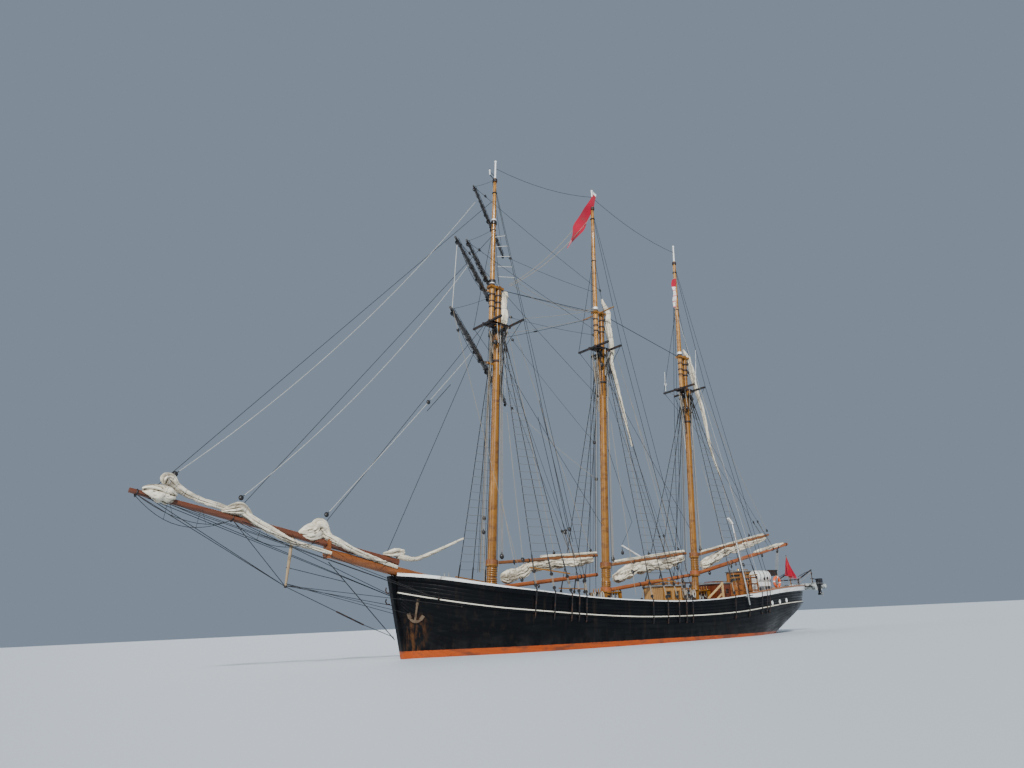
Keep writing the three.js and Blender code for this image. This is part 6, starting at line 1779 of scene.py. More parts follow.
def topping_lifts(name, mast, boom_radius, thick):
    for side_name, side in SIDES.items():
        shape = Shape("hemp_rope")
        top = aloft(name, -0.03, mast.trestle - 0.62, side * (mast.radius + 0.03))
        low = on_spar(name, "boom", LIFT_SHARE, 0.0, side * (boom_radius + 0.01))
        shape.rope(top, low, 0.02, thick * 0.85, "tarred_rope", steps=14, sides=6)
        joint = top.lerp(low, 0.80)
        pulley(shape, joint, low - top, 0.045)
        falls(shape, joint, top.lerp(low, 0.95), 2, thick * 0.7)
        between_bodies(f"{name}_topping_lift_{side_name}", shape)


def boom_sheet(name, boom_radius, thick):
    share, foot = SHEETS[name]
    shape = Shape("hemp_rope")
    low = Vector(foot)
    low.z = deck_height(low.x) + 0.05
    block = low + rises(0.08)
    high = on_spar(name, "boom", share, -boom_radius - 0.07)
    falls(shape, block, high, 3, thick, 0.035)
    pulley(shape, high, UP, 0.065)
    pulley(shape, block, (0, 0, -1), 0.065)
    between_bodies(f"{name}_sheet", shape)


def spar_bands(shape, name, spar, shares, radius, end_share, thick):
    """Iron bands round a boom or gaff, smaller near its thin end."""
    axis = on_spar(name, spar, 1) - on_spar(name, spar, 0)
    for at in shares:
        girth = radius * (0.99 if at < 0.9 else end_share)
        shape.hoop(on_spar(name, spar, at), axis, girth, thick, 6, 18, "iron_black", 2.6)


def build_spanker_gear():
    """Halyards, topping lifts and sheets of the booms and gaffs."""
    thick = sizes().running
    for name, mast in MASTS.items():
        spanker = SPANKERS[name]
        boom, gaff = spanker.boom_radius, spanker.gaff_radius
        throat_halyard(name, mast, gaff, thick)
        peak_halyards(name, mast, gaff, thick)
        topping_lifts(name, mast, boom, thick)
        boom_sheet(name, boom, thick)
        shape = Shape("hemp_rope")
        spar_bands(shape, name, "boom", (SHEETS[name][0], *BOOM_BANDS), boom, 0.86, 0.008)
        spar_bands(shape, name, "gaff", GAFF_BANDS, gaff, 0.84, 0.007)
        for at, size in BOOM_BLOCKS:
            pulley(shape, on_spar(name, "boom", at, -boom - 0.05), UP, size)
        shape.piece(f"{name}_boom_irons", SPANKER_BODY.format(name), "iron", angle=50)


Yard = namedtuple("Yard", "height pivot reach half radius brace")
YARDS = {
    "lower_yard": Yard(7.365, 0.300, 0.140, 3.725, 0.066, 46.5),
    "lower_topsail_yard": Yard(9.450, 0.350, 0.110, 3.135, 0.056, 48.2),
    "upper_topsail_yard": Yard(9.770, 0.220, 0.142, 2.465, 0.050, 47.7),
    "topgallant_yard": Yard(11.580, 0.220, 0.125, 2.035, 0.042, 47.7),
}
# For each yard: the height on the mast where its lifts are fast, and where its braces lead
YARD_LEADS = {
    "lower_yard": (9.28, {"port": (4.99, 1.62, 1.62), "starboard": (0.55, -0.35, 4.55)}),
    "lower_topsail_yard": (None, {"port": (0.70, 0.12, 6.9), "starboard": (0.62, -0.25, 5.6)}),
    "upper_topsail_yard": (11.35, {"port": (0.45, 0.12, 8.9), "starboard": (0.45, -0.12, 8.9)}),
    "topgallant_yard": (12.95, {"port": (0.25, 0.10, 10.3), "starboard": (0.25, -0.10, 10.3)}),
}
FOOTROPE = {"tip": 0.95, "middle": 0.06, "sag": 0.23, "under": 0.03}


def on_yard(name, along, up=0.0, ahead=0.0):
    """A point of a yard: along it to port from its middle, above it and ahead of it."""
    yard = YARDS[name]
    turn = math.radians(yard.brace)
    reach = yard.reach + ahead
    x = yard.pivot + reach * math.cos(turn) + along * math.sin(turn)
    return aloft("fore", x, yard.height + up, along * math.cos(turn) - reach * math.sin(turn))


def yard_girth(yard, share):
    """A yard's radius at a share of its length from the middle."""
    return yard.radius * (lerp(1, 0.92, share * 2) if share < 0.5 else lerp(0.92, 0.55, share * 2 - 1))


YARD_BANDS = (0.1, 0.5, 0.93)
YARD_BLOCKS = ((0.955, 0.05), (0.30, 0.042), (0.12, 0.05))
STOWED_ROLL = {"from": 0.07, "to": 0.95, "points": 35, "thick": 0.034, "uneven": 0.030, "least": 0.012}


def yard_arm(shape, name, yard, number, side):
    """Jackstay, roll of canvas, gaskets, bands, footrope and blocks of one yard's arm."""
    along = on_yard(name, 1) - on_yard(name, 0)

    def at(share, up=0.0, ahead=0.0):
        return on_yard(name, side * yard.half * share, up, ahead)

    shares = spaced(STOWED_ROLL["from"], STOWED_ROLL["to"], STOWED_ROLL["points"])
    roll = [max(STOWED_ROLL["least"], STOWED_ROLL["thick"] + STOWED_ROLL["uneven"]
                * noise.noise(Vector((share * 9, side * 5, number * 9)))) for share in shares]
    shape.tube([at(t, yard_girth(yard, t) * 0.95 + 0.012, 0.02) for t in shares], roll, 7, "tarred_rope")
    jackstay = [at(t, yard_girth(yard, t) + 0.022, -0.035) for t in shares[::2]]
    shape.tube(jackstay, LINE, 5, "iron_black")
    for t in shares[1::5]:
        t += 0.05 * noise.noise(Vector((t * 50, number, side)))
        shape.hoop(at(t), along, yard_girth(yard, t) + 0.003, 0.006, 5, 14, "tarred_rope")
    for t in YARD_BANDS:
        shape.hoop(at(t), along, yard_girth(yard, t), 0.009, 6, 16, "iron_black", 2.2)
    path = hang(at(FOOTROPE["tip"], -0.03, -FOOTROPE["under"]), at(FOOTROPE["middle"], -0.1, -0.05),
                FOOTROPE["sag"] * min(1, yard.half / 3), 14)
    shape.tube(path, 0.0065, 5, "tarred_rope")
    for k in (4, 8, 11):
        t = lerp(FOOTROPE["tip"], FOOTROPE["middle"], k / 14)
        shape.tube([path[k], at(t, 0, -yard_girth(yard, t))], 0.0045, 5, "tarred_rope")
    for t, size in YARD_BLOCKS:
        pulley(shape, at(t, -yard_girth(yard, t) - 0.045), UP, size)


def yard_braces(name, yard, number, thick):
    """A brace to each side and, where the yard has them, its lifts."""
    height, leads = YARD_LEADS[name]
    look = "tarred_rope" if number else "hemp_rope"
    for side_name, lead in leads.items():
        side = SIDES[side_name]
        tip = on_yard(name, side * yard.half * 0.96, -0.02, -0.03)
        brace = Shape("hemp_rope")
        lead = Vector(lead)
        slack = 0.12 if side_name == "port" and name == "lower_yard" else 0.05
        brace.rope(lead, tip, slack, thick * 0.9, look, steps=16, sides=6)
        pulley(brace, tip.lerp(lead, 0.07), lead - tip, 0.045)
        pulley(brace, lead, tip - lead, 0.05)
        between_bodies(f"{name}_brace_{side_name}", brace)
        if height:
            lift = Shape("hemp_rope")
            top = on_topmast("fore", height, side * 0.05, 0.06)
            end = on_yard(name, side * yard.half * 0.955, yard_girth(yard, 0.95))
            lift.rope(top, end, 0.03, thick * 0.8, "tarred_rope", steps=14, sides=6)
            between_bodies(f"{name}_lift_{side_name}", lift)


def build_yard_gear():
    """Jackstays, gaskets, footropes and bands of the yards, and their lifts and braces."""
    thick = sizes().running
    for number, (name, yard) in enumerate(YARDS.items()):
        shape = Shape("hemp_rope")
        for side in SIDES.values():
            yard_arm(shape, name, yard, number, side)
        shape.piece(f"{name}_gear", name, "black_paint", angle=50)
        yard_braces(name, yard, number, thick)
    sheets = Shape("hemp_rope")
    lower, upper = YARDS["lower_yard"].half, YARDS["lower_topsail_yard"].half
    for side in SIDES.values():
        corner = on_yard("lower_topsail_yard", side * upper * 0.94, -0.06)
        end = on_yard("lower_yard", side * lower * 0.955, 0.06)
        sheets.rope(corner, end, 0.0, 0.008, "white_rope", steps=6, sides=6)
    sheets.piece("topsail_sheets", "lower_topsail_yard", "canvas", angle=50)


# Ropes that stay with the ship: start, end, sag, radius, look, and shares that carry a block
SHIP_ROPES = (
    ((12.41, 0.0, 3.85), (4.795, 0.05, 12.01), 0.50, 0.0065, "white_rope", (0.0,)),
    ((11.05, 0.0, 3.44), (5.00, 0.06, 10.18), 0.42, 0.0065, "white_rope", (0.0,)),
    ((9.118, 0.0, 3.163), (5.10, 0.05, 7.53), 0.03, 0.0065, "white_rope", (0.0, 0.68)),
    ((6.463, 0.0, 5.827), (5.755, 0.02, 6.60), 0.0, 0.009, "tarred_rope", ()),
    ((4.04, 0.10, 6.05), (4.853, 1.55, 1.75), 0.05, 0.0055, None, (0.93,)),
    ((4.38, 0.12, 3.89), (5.012, 1.50, 1.60), 0.03, 0.0055, None, (0.78,)),
    ((3.397, 0.60, 5.88), (3.60, 1.74, 2.30), 0.0, 0.0075, "tarred_rope", (0.86,)),
    ((3.445, 0.75, 6.29), (3.45, 1.72, 2.50), 0.0, 0.0075, "tarred_rope", (0.9,)),
    ((3.70, 0.10, 10.0), (0.475, 0.0, 9.625), 0.28, 0.006, None, ()),
    ((1.107, 0.0, 12.144), (3.69, 0.0, 9.783), 0.16, 0.0075, None, ()),
    ((-0.70, 0.10, 6.9), (-0.30, 1.75, 1.45), 0.04, 0.0055, None, (0.9,)),
    ((0.25, 0.12, 6.2), (1.30, 1.60, 1.20), 0.04, 0.0055, None, (0.88,)),
    ((-4.20, 0.12, 6.0), (-3.30, 1.60, 1.45), 0.04, 0.0055, None, (0.86,)),
    ((-3.60, 0.13, 5.2), (-2.75, 1.62, 1.35), 0.04, 0.0055, None, (0.84,)),
)
# Blocks that hang about the masts: mast, place ahead of it, height, side, size
LOOSE_BLOCKS = (
    ("fore", 0.17, 7.95, 0.16, 0.075), ("fore", -0.18, 7.8, 0.18, 0.07), ("fore", -0.2, 8.2, -0.16, 0.07),
    ("fore", 0.34, 3.2, 0.10, 0.055), ("fore", 0.36, 2.85, 0.12, 0.055), ("main", 0.15, 7.9, 0.16, 0.07),
    ("main", -0.18, 7.75, 0.17, 0.07), ("mizzen", -0.16, 7.1, 0.15, 0.065),
    ("mizzen", 0.15, 7.0, 0.15, 0.06),
)


FALL_TURNS = (-1.5, -1.2, -0.9, -0.6, -0.25, 0.02, 1.42, 1.5)


def build_ship_gear():
    """Headsail halyards, the falls that come down to the rail, and the cordage about the mastheads."""
    shape = Shape("hemp_rope")
    for start, end, sag, radius, look, blocks in SHIP_ROPES:
        start, end = Vector(start), Vector(end)
        path = hang(start, end, sag, 24)
        shape.tube(path, radius, 5, look)
        for share in blocks:
            k = max(0, min(23, round(share * 24)))
            pulley(shape, path[k], path[k + 1] - path[k], 0.058)
    for name, forward, height, side, size in LOOSE_BLOCKS:
        mast = MASTS[name]
        block = aloft(name, forward, height, side)
        pulley(shape, block, UP, size)
        if mast.trestle - height > 0.9:
            shape.tube([block, aloft(name, forward * 0.7, mast.trestle - 0.2, side * 0.8)], 0.0055, 5)
            shape.tube([block, aloft(name, forward * 0.8, 1.45, side)], 0.0055, 5)
    chance = random.Random(11)
    for name, mast in MASTS.items():
        for i in range(22):
            turn = chance.uniform(0, 2 * math.pi)
            reach = mast.radius + chance.uniform(0.05, 0.2)
            top = aloft(name, reach * math.cos(turn), mast.trestle + chance.uniform(-0.12, 0.03),
                        reach * math.sin(turn))
            length_down = chance.choice((0.5, 0.8, 1.4, 1.9))
            low = aloft(name, (mast.radius + 0.02) * math.cos(turn + 0.3), mast.trestle - length_down,
                        (mast.radius + 0.02) * math.sin(turn + 0.3))
            shape.rope(top, low, -0.04, chance.uniform(0.006, 0.012),
                       chance.choice(("hemp_rope", "tarred_rope", "tarred_rope", "white_rope")), steps=6)
        for i, turn in enumerate(FALL_TURNS):
            reach = mast.radius + 0.06 + 0.03 * (i % 3)
            top = aloft(name, reach * math.cos(turn), mast.trestle - 0.3, reach * math.sin(turn))
            low = aloft(name, (reach + 0.12) * math.cos(turn), 1.9, (reach + 0.12) * math.sin(turn))
            shape.rope(top, low, 0.0, 0.005, "hemp_rope" if i % 2 else "tarred_rope", steps=10)
        for i in range(6):
            turn = i * 1.05 + 0.4
            pulley(shape, aloft(name, 0.2 * math.cos(turn), mast.trestle - 0.12 - 0.05 * (i % 3),
                                0.2 * math.sin(turn)),
                   UP, 0.06)
    shape.piece("running_rigging", SHIP, "steel_wire", angle=50)


def coil(shape, at, normal, size, look=None, turns=4):
    """A coil of rope hung on a pin."""
    at, normal = Vector(at), Vector(normal).normalized()
    across = normal.cross(Vector(UP)).normalized()
    for k in range(turns):
        path = []
        for i in range(15):
            angle = 2 * math.pi * i / 14
            path.append(at + normal * (0.012 * (k - turns / 2))
                        + across * (size * 0.42 * math.cos(angle + k))
                        + rises(size * (math.sin(angle + k) - 0.9) + 0.01 * k))
        shape.tube(path, 0.0075, 5, look)


BELAYING_PIN = ((0.008, -0.10), (0.009, 0.02), (0.016, 0.05), (0.017, 0.10), (0.006, 0.125))
PIN_RAIL = {"under": 0.17, "inside": 0.085, "deep": 0.03, "pins": 10}
FIFE_RAIL = {"height": 1.35, "clear": 0.16, "half": 0.3, "posts": 0.27, "pins": 5, "apart": 0.1}
COIL_LOOKS = ("hemp_rope", "white_rope", "tarred_rope")


def bulwark_pins(shape, side, fore, aft):
    """A rail of pins inside the bulwark, a coil on every other one."""
    points = []
    for x in spaced(fore, aft, 9):
        points.append(skin(x, station(x).rail - PIN_RAIL["under"], side, -BULWARK - PIN_RAIL["inside"]))
    for a, b in zip(points, points[1:]):
        shape.beam(a, b, PIN_RAIL["inside"], PIN_RAIL["deep"], "long_varnish")
    for k in range(PIN_RAIL["pins"]):
        at = points[0].lerp(points[-1], (k + 0.5) / PIN_RAIL["pins"])
        near = skin(at.x, at.z, side, -BULWARK - 0.09)
        shape.turned(BELAYING_PIN, near, UP, 7, "long_varnish")
        if k % 2 == 0:
            coil(shape, near + Vector((0, -side * 0.045, -0.01)), TO_PORT, 0.1, COIL_LOOKS[0 if k % 4 else 1])


def fife_rail(shape, middle, way, reach):
    """A short rail of pins on two posts, before or abaft a mast."""
    middle = middle + Vector((way * reach, 0, 0))
    half = Vector((0, FIFE_RAIL["half"], 0))
    shape.beam(middle - half, middle + half, 0.06, 0.04, "long_varnish")
    for y in (-FIFE_RAIL["posts"], FIFE_RAIL["posts"]):
        head = middle + Vector((0, y, 0))
        shape.beam((head.x, head.y, deck_height(head.x, y)), head, 0.06, 0.06, "long_varnish", up=AHEAD)
    for k in range(FIFE_RAIL["pins"]):
        at = middle + Vector((0, (k - 2) * FIFE_RAIL["apart"], 0))
        shape.turned(BELAYING_PIN, at, UP, 7, "long_varnish")
        coil(shape, at + Vector((way * 0.045, 0, -0.01)), AHEAD, 0.11, COIL_LOOKS[k % 3])


def build_pin_rails():
    """Belaying pins with their coils inside the bulwarks and round the masts."""
    shape = Shape("hemp_rope")
    for name, feet in SHROUD_FEET.items():
        for side in SIDES.values():
            bulwark_pins(shape, side, feet[0] + 0.15, feet[-1] - 0.2)
        reach = MASTS[name].radius + FIFE_RAIL["clear"]
        for way in (-1, 1):
            fife_rail(shape, aloft(name, 0, FIFE_RAIL["height"]), way, reach)
    shape.piece("pin_rails", SHIP, "varnished_wood", angle=50)


# Deckhouses and deck gear

House = namedtuple("House", "x0 x1 half floor height apart wide high rise across roof eave")
HOUSES = {
    "midship_house": House(-1.80, -1.05, 0.375, 0.684, 0.79, (-0.17, 0.17), 0.18, 0.17, 0.56, 0, 0.06, 0.04),
    "companion_house": House(-3.85, -3.25, 0.50, 0.794, 0.72, (-0.13, 0.13), 0.13, 0.13, 0.50, 0, 0.06,
                             0.045),
    "wheel_shelter": House(-5.15, -4.76, 0.32, 0.884, 1.0, (0.0,), 0.20, 0.18, 0.83, 0.38, 0.05, 0.04),
}
ROOFS = {"midship_house": "midship_roof", "companion_house": "companion_roof",
         "wheel_shelter": "shelter_roof"}
HOUSE_LOOKS = {"midship_house": "house_planks", "companion_house": "mahogany",
               "wheel_shelter": "shelter_planks"}
TRIM = 0.024


def framed_window(shape, centre, out, wide, high):
    """A window frame proud of a wall, with its pane set in the wall's thickness."""
    centre, out = Vector(centre), Vector(out)
    across = Vector(UP).cross(out)

    def slab(low, top, near, far, look=None):
        a, b = (centre + across * corner[0] + rises(corner[1]) for corner in (low, top))
        shape.box(a + out * near, b + out * far, look)

    w, h = wide / 2, high / 2
    for low, top in (((-w - TRIM, h), (w + TRIM, h + TRIM)), ((-w - TRIM, -h - TRIM), (w + TRIM, -h)),
                     ((-w - TRIM, -h), (-w, h)), ((w, -h), (w + TRIM, h))):
        slab(low, top, -0.002, 0.011)
    slab((-w - TRIM * 1.4, -h - TRIM * 1.5), (w + TRIM * 1.4, -h - TRIM), -0.002, 0.018)
    slab((-w, -h), (w, h), -0.019, -0.013, "window_glass")
    slab((-w, -0.005), (w, 0.005), -0.013, -0.008)


ROOF_PIPE = ((0.035, -0.03), (0.035, 0.12), (0.055, 0.14), (0.055, 0.16), (0.01, 0.18))
ROOF_DOME = ((0.05, -0.02), (0.05, 0.01), (0.035, 0.05), (0.01, 0.07))
RAIL_FOOT = ((0.014, -0.028), (0.008, 0), (0.010, 0.016))
DOOR_KNOB = ((0.012, 0), (0.012, 0.004), (0.005, 0.006), (0.005, 0.016), (0.012, 0.022), (0.004, 0.030))
CORNER_BOARD = {"out": 0.009, "back": 0.024}
BOARD_OUT = 0.007


def house_windows(shape, house, middle):
    z = house.floor + house.rise
    for side in SIDES.values():
        for apart in house.apart:
            at = (middle + apart, side * house.half, z)
            framed_window(shape, at, (0, side, 0), house.wide, house.high)
    if house.across:
        for x, way in ((house.x1, 1), (house.x0, -1)):
            framed_window(shape, (x, 0, z), (way, 0, 0), house.across, house.high)


def house_boards(shape, house, middle, top):
    """Corner boards, and along each side a plinth and a frieze."""
    out, back = CORNER_BOARD["out"], CORNER_BOARD["back"]
    for x, way in ((house.x0, -1), (house.x1, 1)):
        for side in SIDES.values():
            y = side * house.half
            shape.box((x + way * out, y + side * out, deck_height(x, house.half) - 0.004),
                      (x - way * back, y - side * back, top - 0.002))
    plinth = (deck_height(middle, house.half) - 0.004, house.floor + 0.05)
    for side in SIDES.values():
        y = side * house.half
        for low, high in (plinth, (top - 0.045, top - 0.002)):
            shape.box((house.x0, y, low), (house.x1, y + side * BOARD_OUT, high))


def roof_rails(shape, house, roof):
    """A hand rail on its feet along each side of a roof."""
    z = roof + 0.015
    for side in SIDES.values():
        y = side * (house.half - 0.08)
        shape.tube([(house.x0 + 0.03, y, z), (house.x1 - 0.03, y, z)], 0.009, 8, "long_varnish")
        for x in spaced(house.x0 + 0.06, house.x1 - 0.06, 4):
            shape.turned(RAIL_FOOT, (x, y, z - 0.014), UP, 8, "long_varnish")


def companion_door_trim():
    """Two raised panels and a knob, which swing with the door."""
    face, middle = -3.8775, 1.144
    door = Shape("mahogany")
    for low, high in ((-0.27, -0.03), (0.03, 0.27)):
        corners = ((-0.15, low), (0.15, low), (0.15, high), (-0.15, high))
        for a, b in ((0, 1), (3, 2), (0, 3), (1, 2)):
            ends = [(face - 0.001, y, middle + z) for y, z in (corners[a], corners[b])]
            door.beam(*ends, 0.014, 0.008, up=AHEAD)
    door.turned(DOOR_KNOB, (face, -0.175, middle), (-1, 0, 0), 12, "brass")
    dress("companion_door", "mahogany", 0.003)
    door.piece("companion_door_trim", "companion_door", "dark_wood", bevel=0.001)


def build_houses():
    """Frames, panes, corner boards and roof gear of the deckhouses."""
    for name, house in HOUSES.items():
        dress(name, HOUSE_LOOKS[name], 0.004)
        dress(ROOFS[name], "grey_roof", 0.010)
        shape = Shape("mahogany" if name == "companion_house" else "upright_varnish")
        middle = (house.x0 + house.x1) / 2
        top = house.floor + house.height
        roof = top + house.roof
        house_windows(shape, house, middle)
        house_boards(shape, house, middle, top)
        roof_rails(shape, house, roof)
        if name == "midship_house":
            shape.turned(ROOF_PIPE, (middle - 0.2, 0.08, roof), UP, 14, "grey_roof")
            shape.box((middle + 0.02, -0.15, roof - 0.02), (middle + 0.32, 0.15, roof + 0.035),
                      "long_varnish")
        elif name == "companion_house":
            shape.box((house.x0 - 0.03, -0.19, roof - 0.02), (middle + 0.05, 0.19, roof + 0.035))
            shape.ball((house.x0 - 0.02, 0, roof + 0.045), 0.012, "brass")
        else:
            shape.turned(ROOF_DOME, (middle, 0, roof), UP, 14, "brass")
        shape.piece(f"{name}_trim", SHIP, "varnished_wood", bevel=0.0015)
    companion_door_trim()


WHEEL_HUB = (-5.2148, 0, 1.384)
WHEEL_RIMS = ((0.236, 0.011), (0.264, 0.011), (0.25, 0.016))
SPOKE = ((0.012, 0.04), (0.008, 0.07), (0.012, 0.12), (0.008, 0.18), (0.011, 0.225), (0.011, 0.272),
         (0.006, 0.278), (0.011, 0.30), (0.0105, 0.318), (0.004, 0.329))


def build_wheel():
    """The wheel with turned spokes and a two-part rim."""
    shape = Shape("long_varnish")
    hub = Vector(WHEEL_HUB)
    shape.turned(((0.02, -0.024), (0.048, -0.022), (0.048, 0.022), (0.02, 0.024)), hub, AHEAD, 20)
    shape.turned(((0.03, -0.0245), (0.028, 0.0245)), hub, AHEAD, 20, "brass")
    for radius, thick in WHEEL_RIMS:
        shape.hoop(hub, AHEAD, radius, thick, 8, 48)
    for c, s in circle(8):
        shape.turned(SPOKE, hub, (0, s, c), 8)
    shape.piece("steering_wheel_turned", "steering_wheel", "varnished_wood", ["steering_wheel"], angle=35)


def chain(shape, path, size):
    """Links of chain along points, each turned against the last."""
    total = sum((b - a).length for a, b in zip(path, path[1:]))
    count = max(2, int(total / (size * 1.5)))
    done, k = 0.0, 0
    for i in range(count):
        want = total * (i + 0.5) / count
        while k < len(path) - 2 and done + (path[k + 1] - path[k]).length < want:
            done += (path[k + 1] - path[k]).length
            k += 1
        along = (path[k + 1] - path[k]).normalized()
        at = path[k] + along * (want - done)
        side, up = frames_along([at, at + along])[0]
        flat = side if i % 2 else up
        path_link = [at + along * (size * math.cos(a)) + flat * (size * 0.55 * math.sin(a))
                     for a in (2 * math.pi * j / 8 for j in range(9))]
        shape.tube(path_link, size * 0.2, 5, "rusty_iron")


DECK_NODES = (
    ("windlass", "iron_black", 0.006), ("fore_hatch", "house_planks", 0.008),
    ("skylight", "mahogany", 0.006),
    ("bowsprit_bitts", "upright_varnish", 0.010), ("life_raft", "white_shell", 0.012),
    ("anchor_port", "rusty_iron", 0.006), ("anchor_starboard", "rusty_iron", 0.006),
)
AXLE = Vector((5.75, 0, 1.385))
WILDCAT = ((0.10, -0.03), (0.15, -0.025), (0.15, 0.025), (0.10, 0.03))
CHAIN_PIPE = ((0.03, -0.02), (0.055, 0), (0.04, 0.03))
BOLLARD = ((0.018, 0), (0.015, 0.03), (0.024, 0.06), (0.008, 0.075))
FAIRLEADS = (6.6, 2.2, -1.0, -6.3)
RIDGE, EAVE = 1.135, 0.935
ANCHOR_X = 7.05


def windlass_parts(shape):
    """Wildcats with their whelps, the two chains and the turns of rope on the bitts."""
    for y in (-0.12, 0.12):
        centre = AXLE + Vector((0, y, 0))
        shape.turned(WILDCAT, centre, TO_PORT, 24)
        for c, s in circle(16):
            shape.ball(centre + Vector((c, 0, s)) * 0.15, (0.012, 0.028, 0.012), rows=4, sides=6)
    for side in SIDES.values():
        start = AXLE + Vector((0.10, side * 0.24, 0.06))
        chain(shape, hang(start, (6.72, side * 0.52, 1.36), 0.03, 12), 0.03)
        shape.turned(CHAIN_PIPE, (6.74, side * 0.53, 1.36), (0.6, side, 0), 12)
        for z in (1.42, 1.49, 1.56):
            shape.hoop((6.06, side * 0.19, z), UP, 0.083, 0.012, 5, 16, "hemp_rope")


def hatch_battens(shape):
    for x in spaced(2.72, 3.38, 6):
        shape.box((x - 0.012, -0.385, 1.035), (x + 0.012, 0.385, 1.056), "long_varnish")
    for x, y in ((2.69, -0.2), (2.69, 0.2), (3.41, -0.2), (3.41, 0.2)):
        shape.hoop((x, y, 1.05), AHEAD, 0.025, 0.005, 5, 12)


def skylight_lights(shape):
    """Panes on both slopes with their frames and brass guards, and the ridge."""
    for side in SIDES.values():
        outer = Vector((0, side * 0.31, lerp(EAVE, RIDGE, 0.121)))
        inner = Vector((0, side * 0.05, lerp(EAVE, RIDGE, 0.863)))
        lift = Vector((0, side * 0.003, 0.005))
        for k in range(4):
            x0 = -0.42 + 0.165 * k
            x1 = x0 + 0.14
            corners = ((x0, outer), (x1, outer), (x1, inner), (x0, inner))
            quad = [Vector((x, p.y, p.z)) + lift for x, p in corners]
            shape.add(quad, [(0, 1, 2, 3) if side < 0 else (3, 2, 1, 0)], "window_glass")
            for x in spaced(x0, x1, 6)[1:-1]:
                shape.tube([(x, p.y, p.z + 0.014) for p in (outer, inner)], 0.003, 6, "brass")
            for a, b in zip(quad, quad[1:] + quad[:1]):
                shape.beam(a, b, 0.018, 0.012, "mahogany", up=(0, side * 0.5, 0.86))
    shape.tube([(-0.46, 0, RIDGE), (0.26, 0, RIDGE)], 0.014, 8, "mahogany")


def raft_straps(shape):
    for y in (0.895, 1.155):
        for x in (-4.93, -4.64):
            shape.box((x, y - 0.004, 0.92), (x + 0.27, y + 0.004, 1.40), "galvanised")
    for x in (-4.86, -4.65, -4.44):
        shape.hoop((x, 1.02, 1.676), AHEAD, 0.190, 0.004, 5, 28, "galvanised", 3)


def hawse_pipes(shape):
    """The holes of the bows with the short chain and the ring that carry each anchor."""
    for side in SIDES.values():
        normal = skin_normal(ANCHOR_X, 1.2, side)
        hawse = skin(ANCHOR_X, 1.30, side, 0.004)
        shape.hoop(hawse, normal, 0.045, 0.016, 8)
        shape.turned(((0.04, 0.0), (0.002, 0.002)), hawse, normal, 16)
        chain(shape, [skin(ANCHOR_X, 1.22, side, 0.03), skin(ANCHOR_X, 1.30, side, 0.02)], 0.026)
        shape.hoop(skin(ANCHOR_X, 1.19, side, 0.03), AHEAD, 0.03, 0.009, 6, 14, "rusty_iron")


def rail_bollards(shape):
    for side in SIDES.values():
        for x in FAIRLEADS:
            rail = station(x).rail
            at = skin(x, rail + 0.012, side, -0.045)
            shape.box((at.x - 0.09, at.y - 0.025, rail), (at.x + 0.09, at.y + 0.025, rail + 0.02),
                      "galvanised")
            for end in (-0.06, 0.06):
                shape.turned(BOLLARD, (at.x + end, at.y, rail + 0.015), UP, 10, "galvanised")


def build_deck_gear():
    """Windlass, hatch, skylight, bitts, raft cabinet and anchors with their small parts."""
    for name, finish, bevel in DECK_NODES:
        dress(name, finish, bevel)
    shape = Shape("iron_black")
    for fit in (windlass_parts, hatch_battens, skylight_lights, raft_straps, hawse_pipes, rail_bollards):
        fit(shape)
    shape.piece("deck_fittings", SHIP, "iron", angle=45)


# Stern and the fittings aft

CHAFE_TUBE = ((-3.06, 1.45, 3.17), (-2.87, 1.83, 1.45), (-2.957, 1.83, 0.855))
PORTS = ((-4.35, 0.89), (-4.85, 0.92), (-5.30, 0.955))
PORT_RINGS = ((1.0, 0.0), (1.0, 0.012), (0.62, 0.014), (0.6, 0.006))
PORT_SIDES = 20
FENCE = {"posts": (-2.95, -3.25, -3.55, -3.85, -4.15), "half": 1.28, "top": 1.66,
         "rails": (1.645, 1.46, 1.28)}
FENCE_KNOB = ((0.024, 0), (0.026, 0.012), (0.01, 0.03))
# Loose spars abaft the midship house: two ends, width, height and the way that is up
GANGWAY_SPARS = (
    ((-1.83, 1.30, 1.08), (-2.52, 1.30, 1.49), 0.05, 0.035, UP),
    ((-2.50, 1.30, 0.74), (-2.50, 1.30, 1.52), 0.045, 0.045, AHEAD),
    ((-1.85, 1.24, 0.80), (-2.55, 1.24, 1.22), 0.04, 0.03, UP),
)
LIFEBUOY = {"centre": (-5.07, 1.30, 1.50), "radius": 0.142, "line": 0.184, "band": 0.22, "bare": 1.35}
DAVIT_HEAD = (-8.235, 0.42, 1.90)


def guard_rail(shape, side):
    """Stanchions round the quarter with two wires between them."""
    posts = []
    for k in range(7):
        x = -4.9 - 0.36 * k
        foot = skin(x, station(x).rail, side, -0.05)
        posts.append((foot, foot + rises(0.30)))
        shape.tube(posts[-1], 0.0075, 6)
        shape.ball(posts[-1][1], 0.012, rows=4, sides=6)
    for share in (1.0, 0.55):
        line = [low.lerp(high, share) for low, high in posts]
        for a, b in zip(line, line[1:]):
            shape.rope(a, b, THREAD, THREAD, steps=4)


def quarter_ports(shape, side):
    for x, z in PORTS:
        at, normal = skin(x, z, side, 0.002), skin_normal(x, z, side)
        along = normal.cross(Vector(UP)).normalized()
        rings = [[
            at + (along * 0.052 * c + rises(0.066 * s)) * share + normal * lift
            for c, s in circle(PORT_SIDES)
        ] for share, lift in PORT_RINGS]
        shape.loft(rings, "white_shell", caps=False)
        lid = tuple(range(PORT_SIDES))
        shape.add(rings[-1], [lid if side < 0 else lid[::-1]], "white_shell")


